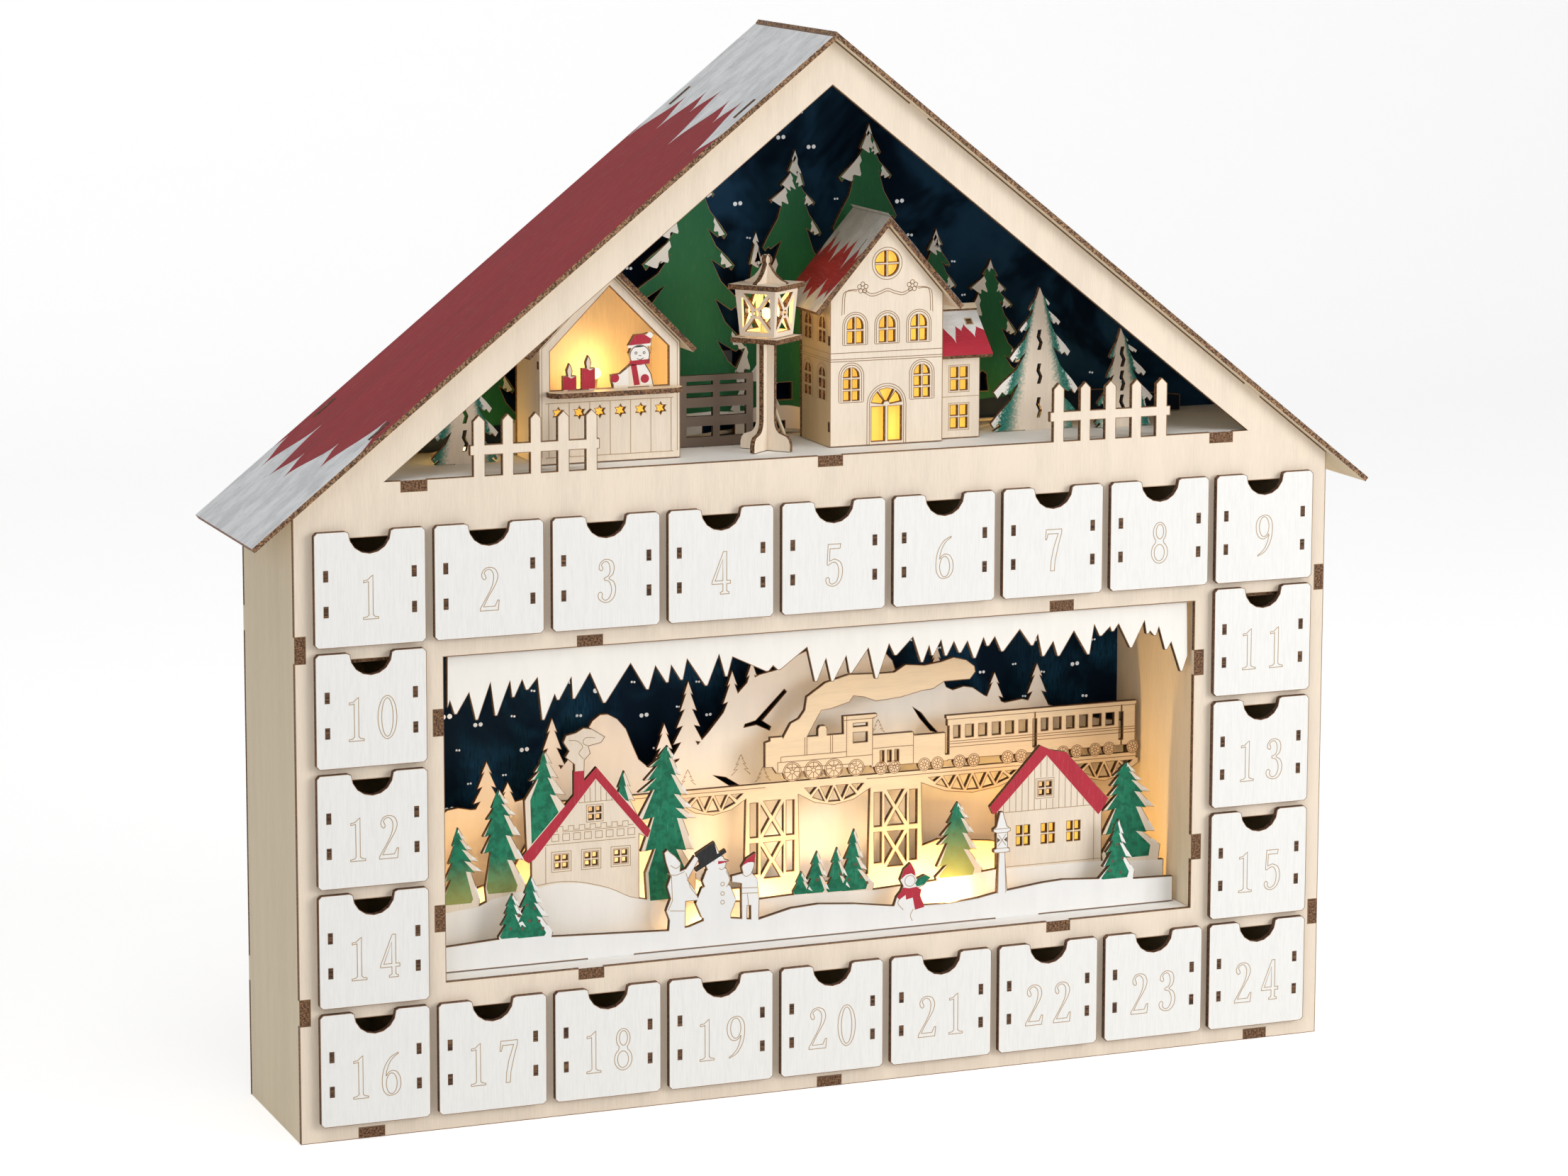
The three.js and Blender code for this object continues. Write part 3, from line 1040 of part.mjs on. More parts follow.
function lanternPost() {
  const bottom = ATTIC_FLOOR_TOP + SEAT;
  const shape = new THREE.Shape();
  shape.moveTo(-11.3, bottom);
  shape.lineTo(11.3, bottom);
  shape.quadraticCurveTo(12, bottom + 6, 8, bottom + 6.5);
  shape.quadraticCurveTo(4.4, bottom + 7, 4, bottom + 12);
  shape.lineTo(4, LANTERN_PLATE + 1);
  shape.lineTo(-4, LANTERN_PLATE + 1);
  shape.lineTo(-4, bottom + 12);
  shape.quadraticCurveTo(-4.4, bottom + 7, -8, bottom + 6.5);
  shape.quadraticCurveTo(-12, bottom + 6, -11.3, bottom);
  const leadGap = block(
    LANTERN_X - 2, LANTERN_X + 2, LANTERN_Y + 4, LANTERN_Y + 8, LANTERN_PLATE - 1, LANTERN_PLATE + THIN + 1,
  );
  return cut(
    join(lanternPlate(shape, 0), lanternPlate(shape, 1), lanternSquare(21, LANTERN_PLATE)), leadGap,
  );
}

function lanternCage() {
  const bottom = LANTERN_PLATE + THIN + SEAT;
  const top = bottom + CAGE_HEIGHT;
  const tapered = (lower, upper, z0, z1) => {
    const shell = new THREE.CylinderGeometry(upper * Math.SQRT1_2, lower * Math.SQRT1_2, z1 - z0, 4, 1);
    shell.rotateX(Math.PI / 2);
    shell.rotateZ(Math.PI / 4 + LANTERN_TURN);
    shell.translate(LANTERN_X, LANTERN_Y, (z0 + z1) / 2);
    return solid(shell);
  };
  const middle = (bottom + top) / 2;
  const gaps = [0, 1].map((quarter) => {
    const turn = LANTERN_TURN + (quarter * Math.PI) / 2;
    const across = (shape) => slab(
      shape, 30, [LANTERN_X - Math.sin(turn) * 15, LANTERN_Y + Math.cos(turn) * 15, 0],
      [Math.cos(turn), Math.sin(turn), 0], [0, 0, 1], 8,
    );
    const triangles = crossBrace(-6.4, 6.4, bottom + 2, top - 1.6, 1).map(across);
    return join(cut(join(triangles), across(disc(0, middle, 2.2))), across(disc(0, middle, 1.2)));
  });
  const finial = new THREE.Shape();
  finial.moveTo(-9.4, top + 1);
  finial.lineTo(9.4, top + 1);
  finial.lineTo(9.4, top + THIN + 0.6);
  finial.quadraticCurveTo(4.6, top + THIN + 1.6, 1.6, top + THIN + 7.4);
  finial.absarc(0, top + THIN + 9.3, 2.2, -0.9, Math.PI + 0.9, false);
  finial.quadraticCurveTo(-4.6, top + THIN + 1.6, -9.4, top + THIN + 0.6);
  return join(
    cut(tapered(15.5, 18.5, bottom, top + 0.5), tapered(12.5, 15.5, bottom - 1, top), gaps),
    lanternSquare(22.5, top), lanternPlate(finial, 0), lanternPlate(finial, 1),
  );
}

// The village house: front and back gables, side walls, windows and an arched door

function houseWalls() {
  const [left, right] = HOUSE_SPAN;
  const middle = (left + right) / 2;
  const bottom = ATTIC_FLOOR_TOP + SEAT;
  const gable = outline([
    [left, bottom], [right, bottom], [right, HOUSE_WALL_TOP], [middle, HOUSE_APEX], [left, HOUSE_WALL_TOP],
  ]);
  const backOpening = outline([
    [middle - 14, bottom - 1], [middle + 14, bottom - 1], [middle + 14, 316], [middle - 14, 316],
  ]);
  const quadrants = [0, 1, 2, 3].map((i) => {
    const shape = new THREE.Shape();
    const angle = (i * Math.PI) / 2;
    const cx = middle + Math.cos(angle + Math.PI / 4) * GLAZING_BAR * 0.7;
    const cz = ROUND_WINDOW_Z + Math.sin(angle + Math.PI / 4) * GLAZING_BAR * 0.7;
    shape.moveTo(cx, cz);
    shape.lineTo(cx + ROUND_WINDOW_RADIUS * Math.cos(angle), cz + ROUND_WINDOW_RADIUS * Math.sin(angle));
    shape.absarc(cx, cz, ROUND_WINDOW_RADIUS, angle, angle + Math.PI / 2, false);
    return shape;
  });
  const upperWindow = (x) => archedPanes(x, WINDOW_WIDTH, [300.8, 306.5], 307.9);
  const lowerWindow = (x) => archedPanes(x, WINDOW_WIDTH, [277.7, 282.4, 287.1], 287.5);
  const fan = [[0.15, 0.92], [1.08, 2.06], [2.22, 2.99]].map(([from, to]) => outline([
    [1.6, from], [DOOR_RADIUS, from], [DOOR_RADIUS, (from + to) / 2], [DOOR_RADIUS, to], [1.6, to],
  ].map(([r, angle]) => [DOOR_X + r * Math.cos(angle), DOOR_SPRING + r * Math.sin(angle)])));
  const door = [-1, 1].map((side) => rectangle(
    DOOR_X + Math.min(side * 0.7, side * DOOR_RADIUS), ATTIC_FLOOR_TOP + 1.7,
    DOOR_X + Math.max(side * 0.7, side * DOOR_RADIUS), DOOR_SPRING - 0.8,
  ));
  const glazing = [...[17.1, 31, 44.8].flatMap(upperWindow), ...[15.5, 46.3].flatMap(lowerWindow)];
  const wall = (x) => block(x, x + THIN, HOUSE_FRONT, HOUSE_BACK, bottom, HOUSE_WALL_TOP);
  const sidePanes = [25.5, 40.5].flatMap((y) => [...upperWindow(y), ...lowerWindow(y)])
    .map((shape) => sideways(shape, left - 1, THIN + 2));
  return cut(
    join(standing(gable, HOUSE_FRONT), standing(gable, HOUSE_BACK - THIN), wall(left), wall(right - THIN)),
    [...quadrants, ...glazing, ...fan, ...door].map((shape) => through(shape, HOUSE_FRONT)),
    through(backOpening, HOUSE_BACK - THIN), sidePanes,
    block(right - THIN - 1, right + 1, 30, 36, bottom - 1, bottom + LEAD_NOTCH_HEIGHT),
  );
}

function houseRoof() {
  const [left, right] = HOUSE_SPAN;
  const pitch = Math.atan2(HOUSE_APEX - HOUSE_WALL_TOP, (right - left) / 2);
  return smallRoof(
    (left + right) / 2, HOUSE_APEX, pitch, HOUSE_ROOF_SPAN,
    HOUSE_FRONT - HOUSE_OVERHANG, HOUSE_BACK + HOUSE_OVERHANG, HOUSE_ROOF_THICKNESS,
  );
}

// The lower annex beside the house, under one slope that rises to the back
function annexWalls() {
  const left = HOUSE_SPAN[1] + SEAT;
  const right = ANNEX_RIGHT;
  const bottom = ATTIC_FLOOR_TOP + SEAT;
  const rise = (ANNEX_BACK - ANNEX_FRONT) * Math.tan(ANNEX_PITCH);
  const front = rectangle(left, bottom, right, ANNEX_EAVE);
  const side = outline([
    [ANNEX_FRONT, bottom], [ANNEX_BACK, bottom], [ANNEX_BACK, ANNEX_EAVE + rise], [ANNEX_FRONT, ANNEX_EAVE],
  ]);
  const back = rectangle(left, bottom, right, ANNEX_EAVE + rise - THIN * Math.tan(ANNEX_PITCH));
  const windows = [283.5, 268].flatMap((z) => panes((left + right) / 2, z, 7.4, 9.4));
  return cut(
    join(standing(front, ANNEX_FRONT), sideways(side, right - THIN), standing(back, ANNEX_BACK - THIN)),
    windows.map((shape) => through(shape, ANNEX_FRONT)),
    block(right - THIN - 1, right + 1, 30, 36, bottom - 1, bottom + LEAD_NOTCH_HEIGHT),
  );
}

function annexRoof() {
  const left = HOUSE_SPAN[1] + SEAT;
  const right = ANNEX_RIGHT + ANNEX_OVERHANG;
  const run = (ANNEX_BACK - ANNEX_FRONT) / Math.cos(ANNEX_PITCH);
  const shape = rectangle(left, -ANNEX_OVERHANG, right, run + 0.5);
  const up = [0, Math.cos(ANNEX_PITCH), Math.sin(ANNEX_PITCH)];
  const lift = SEAT / Math.cos(ANNEX_PITCH);
  const strip = slab(
    rectangle(left, run - 2.5, right, run + 0.5), THIN + 1.2, [0, ANNEX_FRONT, ANNEX_EAVE + lift], [1, 0, 0], up,
  );
  return join(slab(shape, THIN, [0, ANNEX_FRONT, ANNEX_EAVE + lift], [1, 0, 0], up), strip);
}

// Free-standing firs with three wavy slits down the middle
function standingFir(front, shape, x, slitHeights) {
  const slits = slitHeights.map((z) => through(outline([
    [x - 0.9, z], [x + 0.7, z], [x + 1.6, z + 3], [x + 0.4, z + 5.6], [x + 1, z + 8.4],
    [x - 0.6, z + 8.4], [x - 1.2, z + 5.4], [x, z + 3],
  ]), front));
  const feet = STANDS.filter((stand) => stand.front === front).map(standFoot);
  return cut(join(standing(shape, front), feet), slits);
}

const firLeft = () => standingFir(FIR_LEFT_FRONT, fir(
  [-143, 301], [[-148.4, 291], [-151.6, 281], [-155, 270], [-156.3, 261.3]],
  [[-137.8, 292], [-131.7, 280.4], [-129.2, 270.8], [-129, 261.3]], ATTIC_FLOOR_TOP + SEAT, true,
), FIR_LEFT_X, [264, 275, 286]);

const firRight = () => standingFir(FIR_RIGHT_FRONT, fir(
  [105.2, 317.9], [[100.6, 309], [96.4, 300.8], [92.1, 289.2], [85, 275.4], [83.9, 262.5]],
  [[109.8, 311], [114.6, 303.3], [119.2, 290.8], [122.9, 275.4], [121.7, 266.7]], ATTIC_FLOOR_TOP + SEAT, true,
), FIR_RIGHT_X, [264, 278, 292]);

const firFarRight = () => standingFir(FIR_FAR_RIGHT_FRONT, fir(
  [139.8, 300.1], [[134.9, 288.4], [133.6, 280.1], [129.6, 269.3], [128.6, 261.3]],
  [[143.2, 294.8], [147.3, 290.5], [151.5, 281.3], [154.8, 270.9]], ATTIC_FLOOR_TOP + SEAT, true,
), FIR_FAR_RIGHT_X, [264, 274, 284]);

// The battery box behind the fir wood, let into the back panel, with its flange outside

function batteryBox() {
  const [left, right] = BOX_SPAN;
  const [bottom, top] = BOX_HEIGHTS;
  const backFace = BODY_DEPTH + SEAT;
  const [cellLeft, cellRight] = CELL_BAY;
  const wall = BOX_WALL;
  const body = block(left, right, BOX_FRONT, backFace + 0.5, bottom, top);
  const flange = block(
    left - BOX_FLANGE, right + BOX_FLANGE, backFace, backFace + wall, bottom - BOX_FLANGE, top + BOX_FLANGE,
  );
  const cellBay = block(cellLeft, cellRight, BOX_FRONT + wall, backFace + wall + 1, bottom + wall, top - wall);
  const switchBay = block(
    cellRight + wall, right - wall, BOX_FRONT + wall, backFace - 0.5, bottom + wall, top - wall,
  );
  const knobSlot = block(
    SWITCH_X - 1.6, SWITCH_X + 1.6, backFace - 1, backFace + wall + 1,
    SWITCH_Z - 3.6 - SWITCH_TRAVEL / 2, SWITCH_Z + 3.6 + SWITCH_TRAVEL / 2,
  );
  const leadExit = new THREE.CylinderGeometry(1.8, 1.8, wall + 2, 10);
  leadExit.rotateZ(Math.PI / 2);
  leadExit.translate(right - wall / 2, LEAD_HOLE_Y, LEAD_EXIT_Z);
  const rails = [bottom - 1.2, top - 0.8].map((z) =>
    block(left - 1, cellRight + 2, backFace + wall - 0.5, backFace + wall + 1.6, z, z + 2));
  return cut(join(body, flange, rails), cellBay, switchBay, knobSlot, solid(leadExit));
}

function batteryOpening() {
  const [left, right] = BOX_SPAN;
  const [bottom, top] = BOX_HEIGHTS;
  return block(
    left - SEAT, right + SEAT, BACK_PANEL_FRONT - 1, BODY_DEPTH + 1, bottom - SEAT, top + SEAT,
  );
}

// The cover slides off to the left between the two rails
function batteryCover() {
  const [bottom, top] = BOX_HEIGHTS;
  const back = BODY_DEPTH + SEAT + BOX_WALL + SEAT;
  const low = bottom + 0.8 + SEAT;
  const high = top - 0.8 - SEAT;
  const plate = block(CELL_BAY[0] - 1.5, CELL_BAY[1] + 1, back, back + COVER_THICKNESS, low, high);
  const ridges = [0, 1, 2, 3].map((i) => {
    const x = CELL_BAY[0] + 3 + i * 2.4;
    return block(x, x + 1, back + 0.5, back + COVER_THICKNESS + 0.6, bottom + 8, top - 8);
  });
  return join(plate, ridges);
}

// Two cells side by side, joined at one end by their contact plate
function batteryCells() {
  const [left, right] = CELL_BAY;
  const [bottom, top] = BOX_HEIGHTS;
  const y = BOX_FRONT + BOX_WALL + SEAT + CELL_RADIUS;
  const start = left + 2;
  const cells = [-1, 1].map((side) => {
    const profile = [
      [0, 0], [CELL_RADIUS, 0], [CELL_RADIUS, CELL_LENGTH - 1], [1.9, CELL_LENGTH - 1], [1.9, CELL_LENGTH],
      [0, CELL_LENGTH],
    ].map(([r, along]) => new THREE.Vector2(r, along));
    const cell = new THREE.LatheGeometry(profile, 12);
    cell.rotateZ(-Math.PI / 2);
    if (side > 0) {
      cell.rotateY(Math.PI);
      cell.translate(CELL_LENGTH, 0, 0);
    }
    cell.translate(start, y, (bottom + top) / 2 + side * (CELL_RADIUS + SEAT));
    return solid(cell);
  });
  const plate = block(
    left + SEAT, start + 0.2, y - 3, y + 3, bottom + BOX_WALL + 3, top - BOX_WALL - 3,
  );
  return join(cells, plate).add(block(
    start + CELL_LENGTH - 0.2, right - SEAT, y - 3, y + 3, bottom + BOX_WALL + 3, (bottom + top) / 2 - 1,
  ));
}

// The sliding switch: its block inside the box and its knob through the flange
function batterySwitch() {
  const low = SWITCH_Z - SWITCH_TRAVEL / 2;
  const inside = BODY_DEPTH - 0.5 - SEAT;
  return join(
    block(SWITCH_X - 2.6, SWITCH_X + 2.6, inside - 3, inside, low - 4.5, low + 4.5),
    block(SWITCH_X - 1.2, SWITCH_X + 1.2, inside - 1, BODY_DEPTH + SEAT + BOX_WALL + 1.4, low - 3, low + 3),
  );
}

// The string of lights: a lead along a list of points, with a bead at each lamp

const ATTIC_LEAD_WEST = [
  [-19, 68, 270], [-16, 68, 270], [-13, 67.8, 268.4], [-12, 67.2, 264], [-16, 65.6, 261], [-25, 61, 260.6],
  [-45, 51, 260.6], [-70, 48.5, 260.6], [-84, 46, 262], [-87, 39, 274], [-87.4, 33, 289], [-88, 31.6, 292], [-89, 32.6, 289],
  [-91, 37, 276], [-95, 46, 262], [-106, 52, 260.6], [-125, 47, 260.6], [-140, 39, 262],
  [-152, 45, 260.6], [-142, 54, 260.6], [-110, 56.5, 260.6], [-70, 56, 260.6], [-40, 49, 260.6],
  [-14, 46, 260.6], [-6, 37, 260.8], [-9, 28.5, 264], [-13.4, 26.8, 274], [-17.5, 26.8, 290],
  [-18.2, 26.8, 301], [-19.5, 25.4, 308], [-19.5, 21.6, 314],
];
const ATTIC_LEAD_EAST = [
  [-19, 68, 270], [-16, 68, 270], [-13, 67.8, 268.4], [-12, 67.2, 264], [-8.5, 65.4, 261], [-2, 60.8, 260.6],
  [8, 55, 260.6], [18, 52, 260.6], [23, 46, 261.4], [25, 38, 269], [29.4, 34.4, 289.4], [31, 34, 291.4],
  [32.6, 34, 289.4], [37, 33.6, 273], [45, 33, 262], [56, 33, 260.6], [61, 32, 264], [63.8, 31, 274], [65, 31, 275.4], [66.2, 31, 274], [69, 32, 264], [73, 33, 260.6],
  [84, 40, 260.6], [104, 40, 262], [112, 46, 260.6], [104, 54, 260.6], [80, 56, 260.6],
  [60, 57, 260.6], [52, 61, 260.8], [48.6, 66.6, 260], [48, 68, 256], [48, 68, 240], [48, 68, 200],
  [48, 68, 180], [48, 67, 120], [48, 67, 78], [49, 67, 66], [53, 65.6, 62], [58, 61.4, 61.4],
  [63, 55, 61.4], [66, 49, 61.4], [71, 44, 61.4], [82, 41, 61.4], [98, 41, 61.8], [105, 38.4, 63],
  [102, 35.4, 63.8], [96, 35, 64], [60, 35, 64], [24, 35, 64], [-14, 35, 64],
  [-52, 35, 64], [-90, 35, 64], [-128, 35, 64],
];
const LAMPS = [
  [-88, 31.6, 292], [-140, 39, 262], [-19.5, 21.6, 314], [31, 34, 291.4], [65, 31, 275.4], [104, 40, 262],
  [96, 35, 64], [60, 35, 64], [24, 35, 64], [-14, 35, 64], [-52, 35, 64], [-90, 35, 64], [-128, 35, 64],
];

function ledString() {
  const section = outline(Array.from({ length: LEAD_SIDES }, (_, i) => {
    const angle = (i * 2 * Math.PI) / LEAD_SIDES;
    return [LEAD_RADIUS * Math.cos(angle), LEAD_RADIUS * Math.sin(angle)];
  }));
  const stations = [];
  const lead = (points, steps) => {
    const path = new THREE.CatmullRomCurve3(points.map((point) => new THREE.Vector3(...point)), false, "centripetal");
    stations.push(...path.getSpacedPoints(steps));
    return solid(new THREE.ExtrudeGeometry(section, { steps, extrudePath: path }));
  };
  const leads = [lead(ATTIC_LEAD_WEST, 66), lead(ATTIC_LEAD_EAST, 80)];
  // each lamp sits on the station of the lead that is nearest to its place
  const lamps = LAMPS.map((place) => {
    const wanted = new THREE.Vector3(...place);
    const centre = stations.reduce((best, point) =>
      (point.distanceTo(wanted) < best.distanceTo(wanted) ? point : best));
    const bead = new THREE.SphereGeometry(LAMP_RADIUS, 6, 4);
    bead.rotateX(Math.PI / 2);
    bead.translate(centre.x, centre.y, centre.z);
    return solid(bead);
  });
  return join(leads, lamps);
}

// Assembly

const group = new THREE.Group();
group.position.y = -(BODY_DEPTH + ROOF_BACK_OVERHANG - ROOF_FRONT_OVERHANG) / 2;

function place(name, body, color, roughness = 0.75) {
  const mesh = body.getMesh();
  const geometry = new THREE.BufferGeometry();
  geometry.setAttribute("position", new THREE.BufferAttribute(mesh.vertProperties, 3));
  geometry.setIndex(new THREE.BufferAttribute(mesh.triVerts, 1));
  const node = new THREE.Mesh(geometry, new THREE.MeshStandardMaterial({ color, roughness }));
  node.name = name;
  group.add(node);
}

const PLYWOOD = 0xf0e4cb;
const WHITE_PAINT = 0xedeae6;
const PAINTED_RED = 0x7d3338;
const PAINTED_GREEN = 0x2a7348;
const SNOW = 0xf0ece4;
const NIGHT_BLUE = 0x101d33;
const DARK_STAIN = 0x4a4039;
const BLACK_PLASTIC = 0x1b1b1d;

place("front_panel", frontPanel(), PLYWOOD);
place("back_panel", cut(gable(BACK_PANEL_FRONT), batteryOpening()), NIGHT_BLUE);
place("side_left", sidePanel(-1), PLYWOOD);
place("side_right", sidePanel(1), PLYWOOD);
place("bottom_panel", bottomPanel(), PLYWOOD);
place("scene_ceiling", sceneCeiling(), PLYWOOD);
place("scene_floor", sceneFloor(), PLYWOOD);
place("scene_wall_left", sceneWall(-1), PLYWOOD);
place("scene_wall_right", sceneWall(1), PLYWOOD);
place("attic_floor", atticFloor(), PLYWOOD);
place("roof_left", mainRoof(-1), PAINTED_RED);
place("roof_right", mainRoof(1), PAINTED_RED);
drawerPlaces().forEach(({ x, top }, index) => {
  place(`drawer_${String(index + 1).padStart(2, "0")}`, drawer(x, top), WHITE_PAINT);
});

place("icicle_valance", icicleValance(), SNOW);
place("snow_bank", snowBank(), SNOW);
place("hill_with_houses", hillWithHouses(), PLYWOOD);
place("train_and_bridge", trainAndBridge(), PLYWOOD);
place("mountains", mountains(), PLYWOOD);
place("fir_backdrop", firBackdrop(), PAINTED_GREEN);
place("stall_walls", join(stallFront(), stallBody()), PLYWOOD);
place("stall_roof", stallRoof(), SNOW);
place("stall_counter", stallCounter(), PLYWOOD);
place("slatted_fence", slattedFence(), DARK_STAIN);
place("lantern_post", lanternPost(), PLYWOOD);
place("lantern_cage", lanternCage(), PLYWOOD);
place("house_walls", houseWalls(), PLYWOOD);
place("house_roof", houseRoof(), PAINTED_RED);
place("annex_walls", annexWalls(), PLYWOOD);
place("annex_roof", annexRoof(), PAINTED_RED);
place("fir_left", firLeft(), PLYWOOD);
place("fir_right", firRight(), PLYWOOD);
place("fir_far_right", firFarRight(), PLYWOOD);
place("battery_box", batteryBox(), BLACK_PLASTIC);
place("battery_cover", batteryCover(), BLACK_PLASTIC);
place("battery_cells", batteryCells(), 0x8a8f94, 0.4);
place("battery_switch", batterySwitch(), 0x9a9a98, 0.5);
place("led_string", ledString(), 0xffd08a, 0.4);

export default group;
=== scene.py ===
"""Looks of a lit plywood advent calendar: paint, wood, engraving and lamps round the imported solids."""
import math
import bpy
import numpy as np
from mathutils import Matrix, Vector
from mathutils.geometry import tessellate_polygon


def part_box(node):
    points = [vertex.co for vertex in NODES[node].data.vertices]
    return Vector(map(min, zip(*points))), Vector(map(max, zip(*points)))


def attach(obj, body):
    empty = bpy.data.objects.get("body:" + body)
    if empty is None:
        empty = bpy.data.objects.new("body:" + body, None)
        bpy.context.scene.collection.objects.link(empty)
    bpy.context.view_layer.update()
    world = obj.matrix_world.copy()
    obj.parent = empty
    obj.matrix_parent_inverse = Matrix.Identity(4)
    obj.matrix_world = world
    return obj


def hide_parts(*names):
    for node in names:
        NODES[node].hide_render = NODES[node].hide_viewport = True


MM = 0.001

# Where the sheets are, in millimetres: X from the middle, Z from the table, Y from the front panel's face
SHEET = 2.0
PLATE = 4.2
SEAT = 0.3
HALF_WIDTH = 221.6
EAVE_HEIGHT = 247.8
APEX_HEIGHT = 423.8
ATTIC_FLOOR = 258.9
SCENE_FLOOR = 59.4
SCENE_CEILING = 193.1
SCENE_HALF_WIDTH = 162.0
ROOF_PITCH = math.atan2(APEX_HEIGHT - EAVE_HEIGHT, HALF_WIDTH)
ROOF_HALF_SPAN = 239.1
ROOF_FRONT = -4.8
ROOF_BACK = 79.0
ROOF_TABS = ((32.7, 40.9), (183.0, 190.5))
COLUMN_PITCH = 48.0
ROW_PITCH = 47.35
TOP_ROW_TOP = 241.1
FACE_HEIGHT = 45.0
FACE_FRONT = -3.0
FACE_BACK = -0.6
TRAY_HALF_WIDTH = 18.5
TRAY_WALL = 1.8
VALANCE_FRONT = 2.3
BANK_FRONT = 12.0
HILL_FRONT = 21.0
TRAIN_FRONT = 48.0
MOUNTAIN_FRONT = 60.0
BACKDROP_FRONT = 60.0
BACK_PANEL_FRONT = 72.0
STALL_X = -87.9
STALL_HALF_WIDTH = 29.4
STALL_FRONT = 15.0
STALL_BACK = 44.0
STALL_PITCH = math.pi / 4
HOUSE_LEFT = 6.3
HOUSE_RIGHT = 55.4
HOUSE_X = (HOUSE_LEFT + HOUSE_RIGHT) / 2
HOUSE_FRONT = 17.0
HOUSE_BACK = 49.0
HOUSE_APEX = 347.8
HOUSE_PITCH = math.atan2(28.3, 24.55)
ANNEX_RIGHT = 74.1
ANNEX_FRONT = 22.0
ANNEX_BACK = 38.0
ANNEX_EAVE = 294.4
ANNEX_PITCH = math.radians(43)
LANTERN = (-19.5, 21.0)
LANTERN_TURN = math.radians(39)
LANTERN_PLATE = 303.0
CAGE_TOP = 324.3

# Colours of the finishes
BIRCH = (0.86, 0.73, 0.53)
PALE_BIRCH = (0.88, 0.755, 0.61)
CHAR = (0.060, 0.028, 0.017)
TOAST = (0.30, 0.155, 0.070)
WHITE_PAINT = (0.88, 0.87, 0.84)
SNOW_WHITE = (0.94, 0.90, 0.83)
BANK_WHITE = (0.86, 0.85, 0.83)
ROOF_SNOW = (0.75, 0.76, 0.77)
ROOF_RED = (0.30, 0.012, 0.018)
HOUSE_RED = (0.40, 0.036, 0.032)
BRIGHT_RED = (0.46, 0.028, 0.050)
WOOD_GREEN = (0.014, 0.135, 0.050)
SCENE_GREEN = (0.010, 0.200, 0.105)
SKY_BLUE = (0.0016, 0.010, 0.026)
SKY_CLOUD = (0.010, 0.062, 0.135)
# Painted lamp light for the clouds of the attic's sky
ATTIC_SKY_LAMPLIGHT = (0.016, 0.060, 0.125)
STAR_WHITE = (0.80, 0.84, 0.86)
FENCE_STAIN = (0.165, 0.120, 0.090)
HAT_BLACK = (0.02, 0.02, 0.022)
ENGRAVED = (0.47, 0.32, 0.17)
WARM_LIGHT = (1.0, 0.68, 0.32)
AMBER_LIGHT = (1.0, 0.64, 0.18)
WINDOW_YELLOW = (0.97, 0.56, 0.085)
SCENE_CHAR = (0.030, 0.014, 0.008)
SCENE_TOAST = (0.125, 0.062, 0.028)
DRAWER_CHAR = (0.05, 0.025, 0.020)
DRAWER_TOAST = (0.20, 0.105, 0.065)
ROOF_TOAST = (0.42, 0.24, 0.12)
FENCE_TOAST = (0.10, 0.055, 0.035)
# Painted shade: the darker, warmer birch of the house's left side
SHADED_BIRCH = (0.66, 0.47, 0.26)

# What lies on the sheets: thicknesses, widths, and the tenons' ends on a drawer's face
PAINT = 0.05
GROOVE = 0.28
RIM_WIDTH = 0.28
DRAWER_RIM_WIDTH = 0.22
FILM = 0.2
FILM_GAP = 0.5
TENON_OUT = 17.65
TENON_HALF_WIDTH = 0.88
TENON_SPANS = ((19.1, 14.9), (33.0, 28.8))
HOUSE_ROOF_THICKNESS = 2.2
HOUSE_ROOF_HALF_SPAN = 32.15
HOUSE_ROOF_FRONT = 13.5
HOUSE_ROOF_BACK = 52.5
FIR_FOOT = 259.2

# Stars: how many places are tried, where they lie, and two irrational shares that scatter them
STAR_PLACES = 460
STAR_HALF_SPAN = 176
STAR_BOTTOM = 96
STAR_RISE = 310
STAR_STEP_X = 0.7548776662
STAR_STEP_Z = 0.5698402910

# A normal's part along a direction, above which the face counts as square to it
SQUARE_ON = 0.7

# Camera, lights and the paper under the object
CAMERA_PLACE = (-688.6, -1672.5, 541.4)
CAMERA_YAW = 0.3668
CAMERA_PITCH = 0.1498
CAMERA_FOCAL = 105.82
CAMERA_SHIFT = (0.0388, -0.1)
LIGHT_TARGET = (0, 0, 0.2)
AREA_LIGHTS = (
    ("key", (1.05, -1.1, 0.55), 0.8, 12),
    ("fill", (-2.2, -2.0, 1.0), 2.0, 11),
    ("top", (-0.5, -1.1, 2.5), 1.4, 16),
)
WORLD_STRENGTH = 0.40
FLOOR_LIFT = 0.5

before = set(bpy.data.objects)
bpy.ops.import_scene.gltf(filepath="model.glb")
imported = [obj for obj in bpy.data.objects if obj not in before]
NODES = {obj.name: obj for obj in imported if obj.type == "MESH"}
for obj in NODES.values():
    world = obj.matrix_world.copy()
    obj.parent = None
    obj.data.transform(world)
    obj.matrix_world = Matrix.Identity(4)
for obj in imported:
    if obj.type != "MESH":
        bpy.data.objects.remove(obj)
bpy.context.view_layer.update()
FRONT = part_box("front_panel")[0].y / MM
X, Y, Z = 0, 1, 2
AXES = ((1, 0, 0), (0, 1, 0), (0, 0, 1))


# Formulas in materials

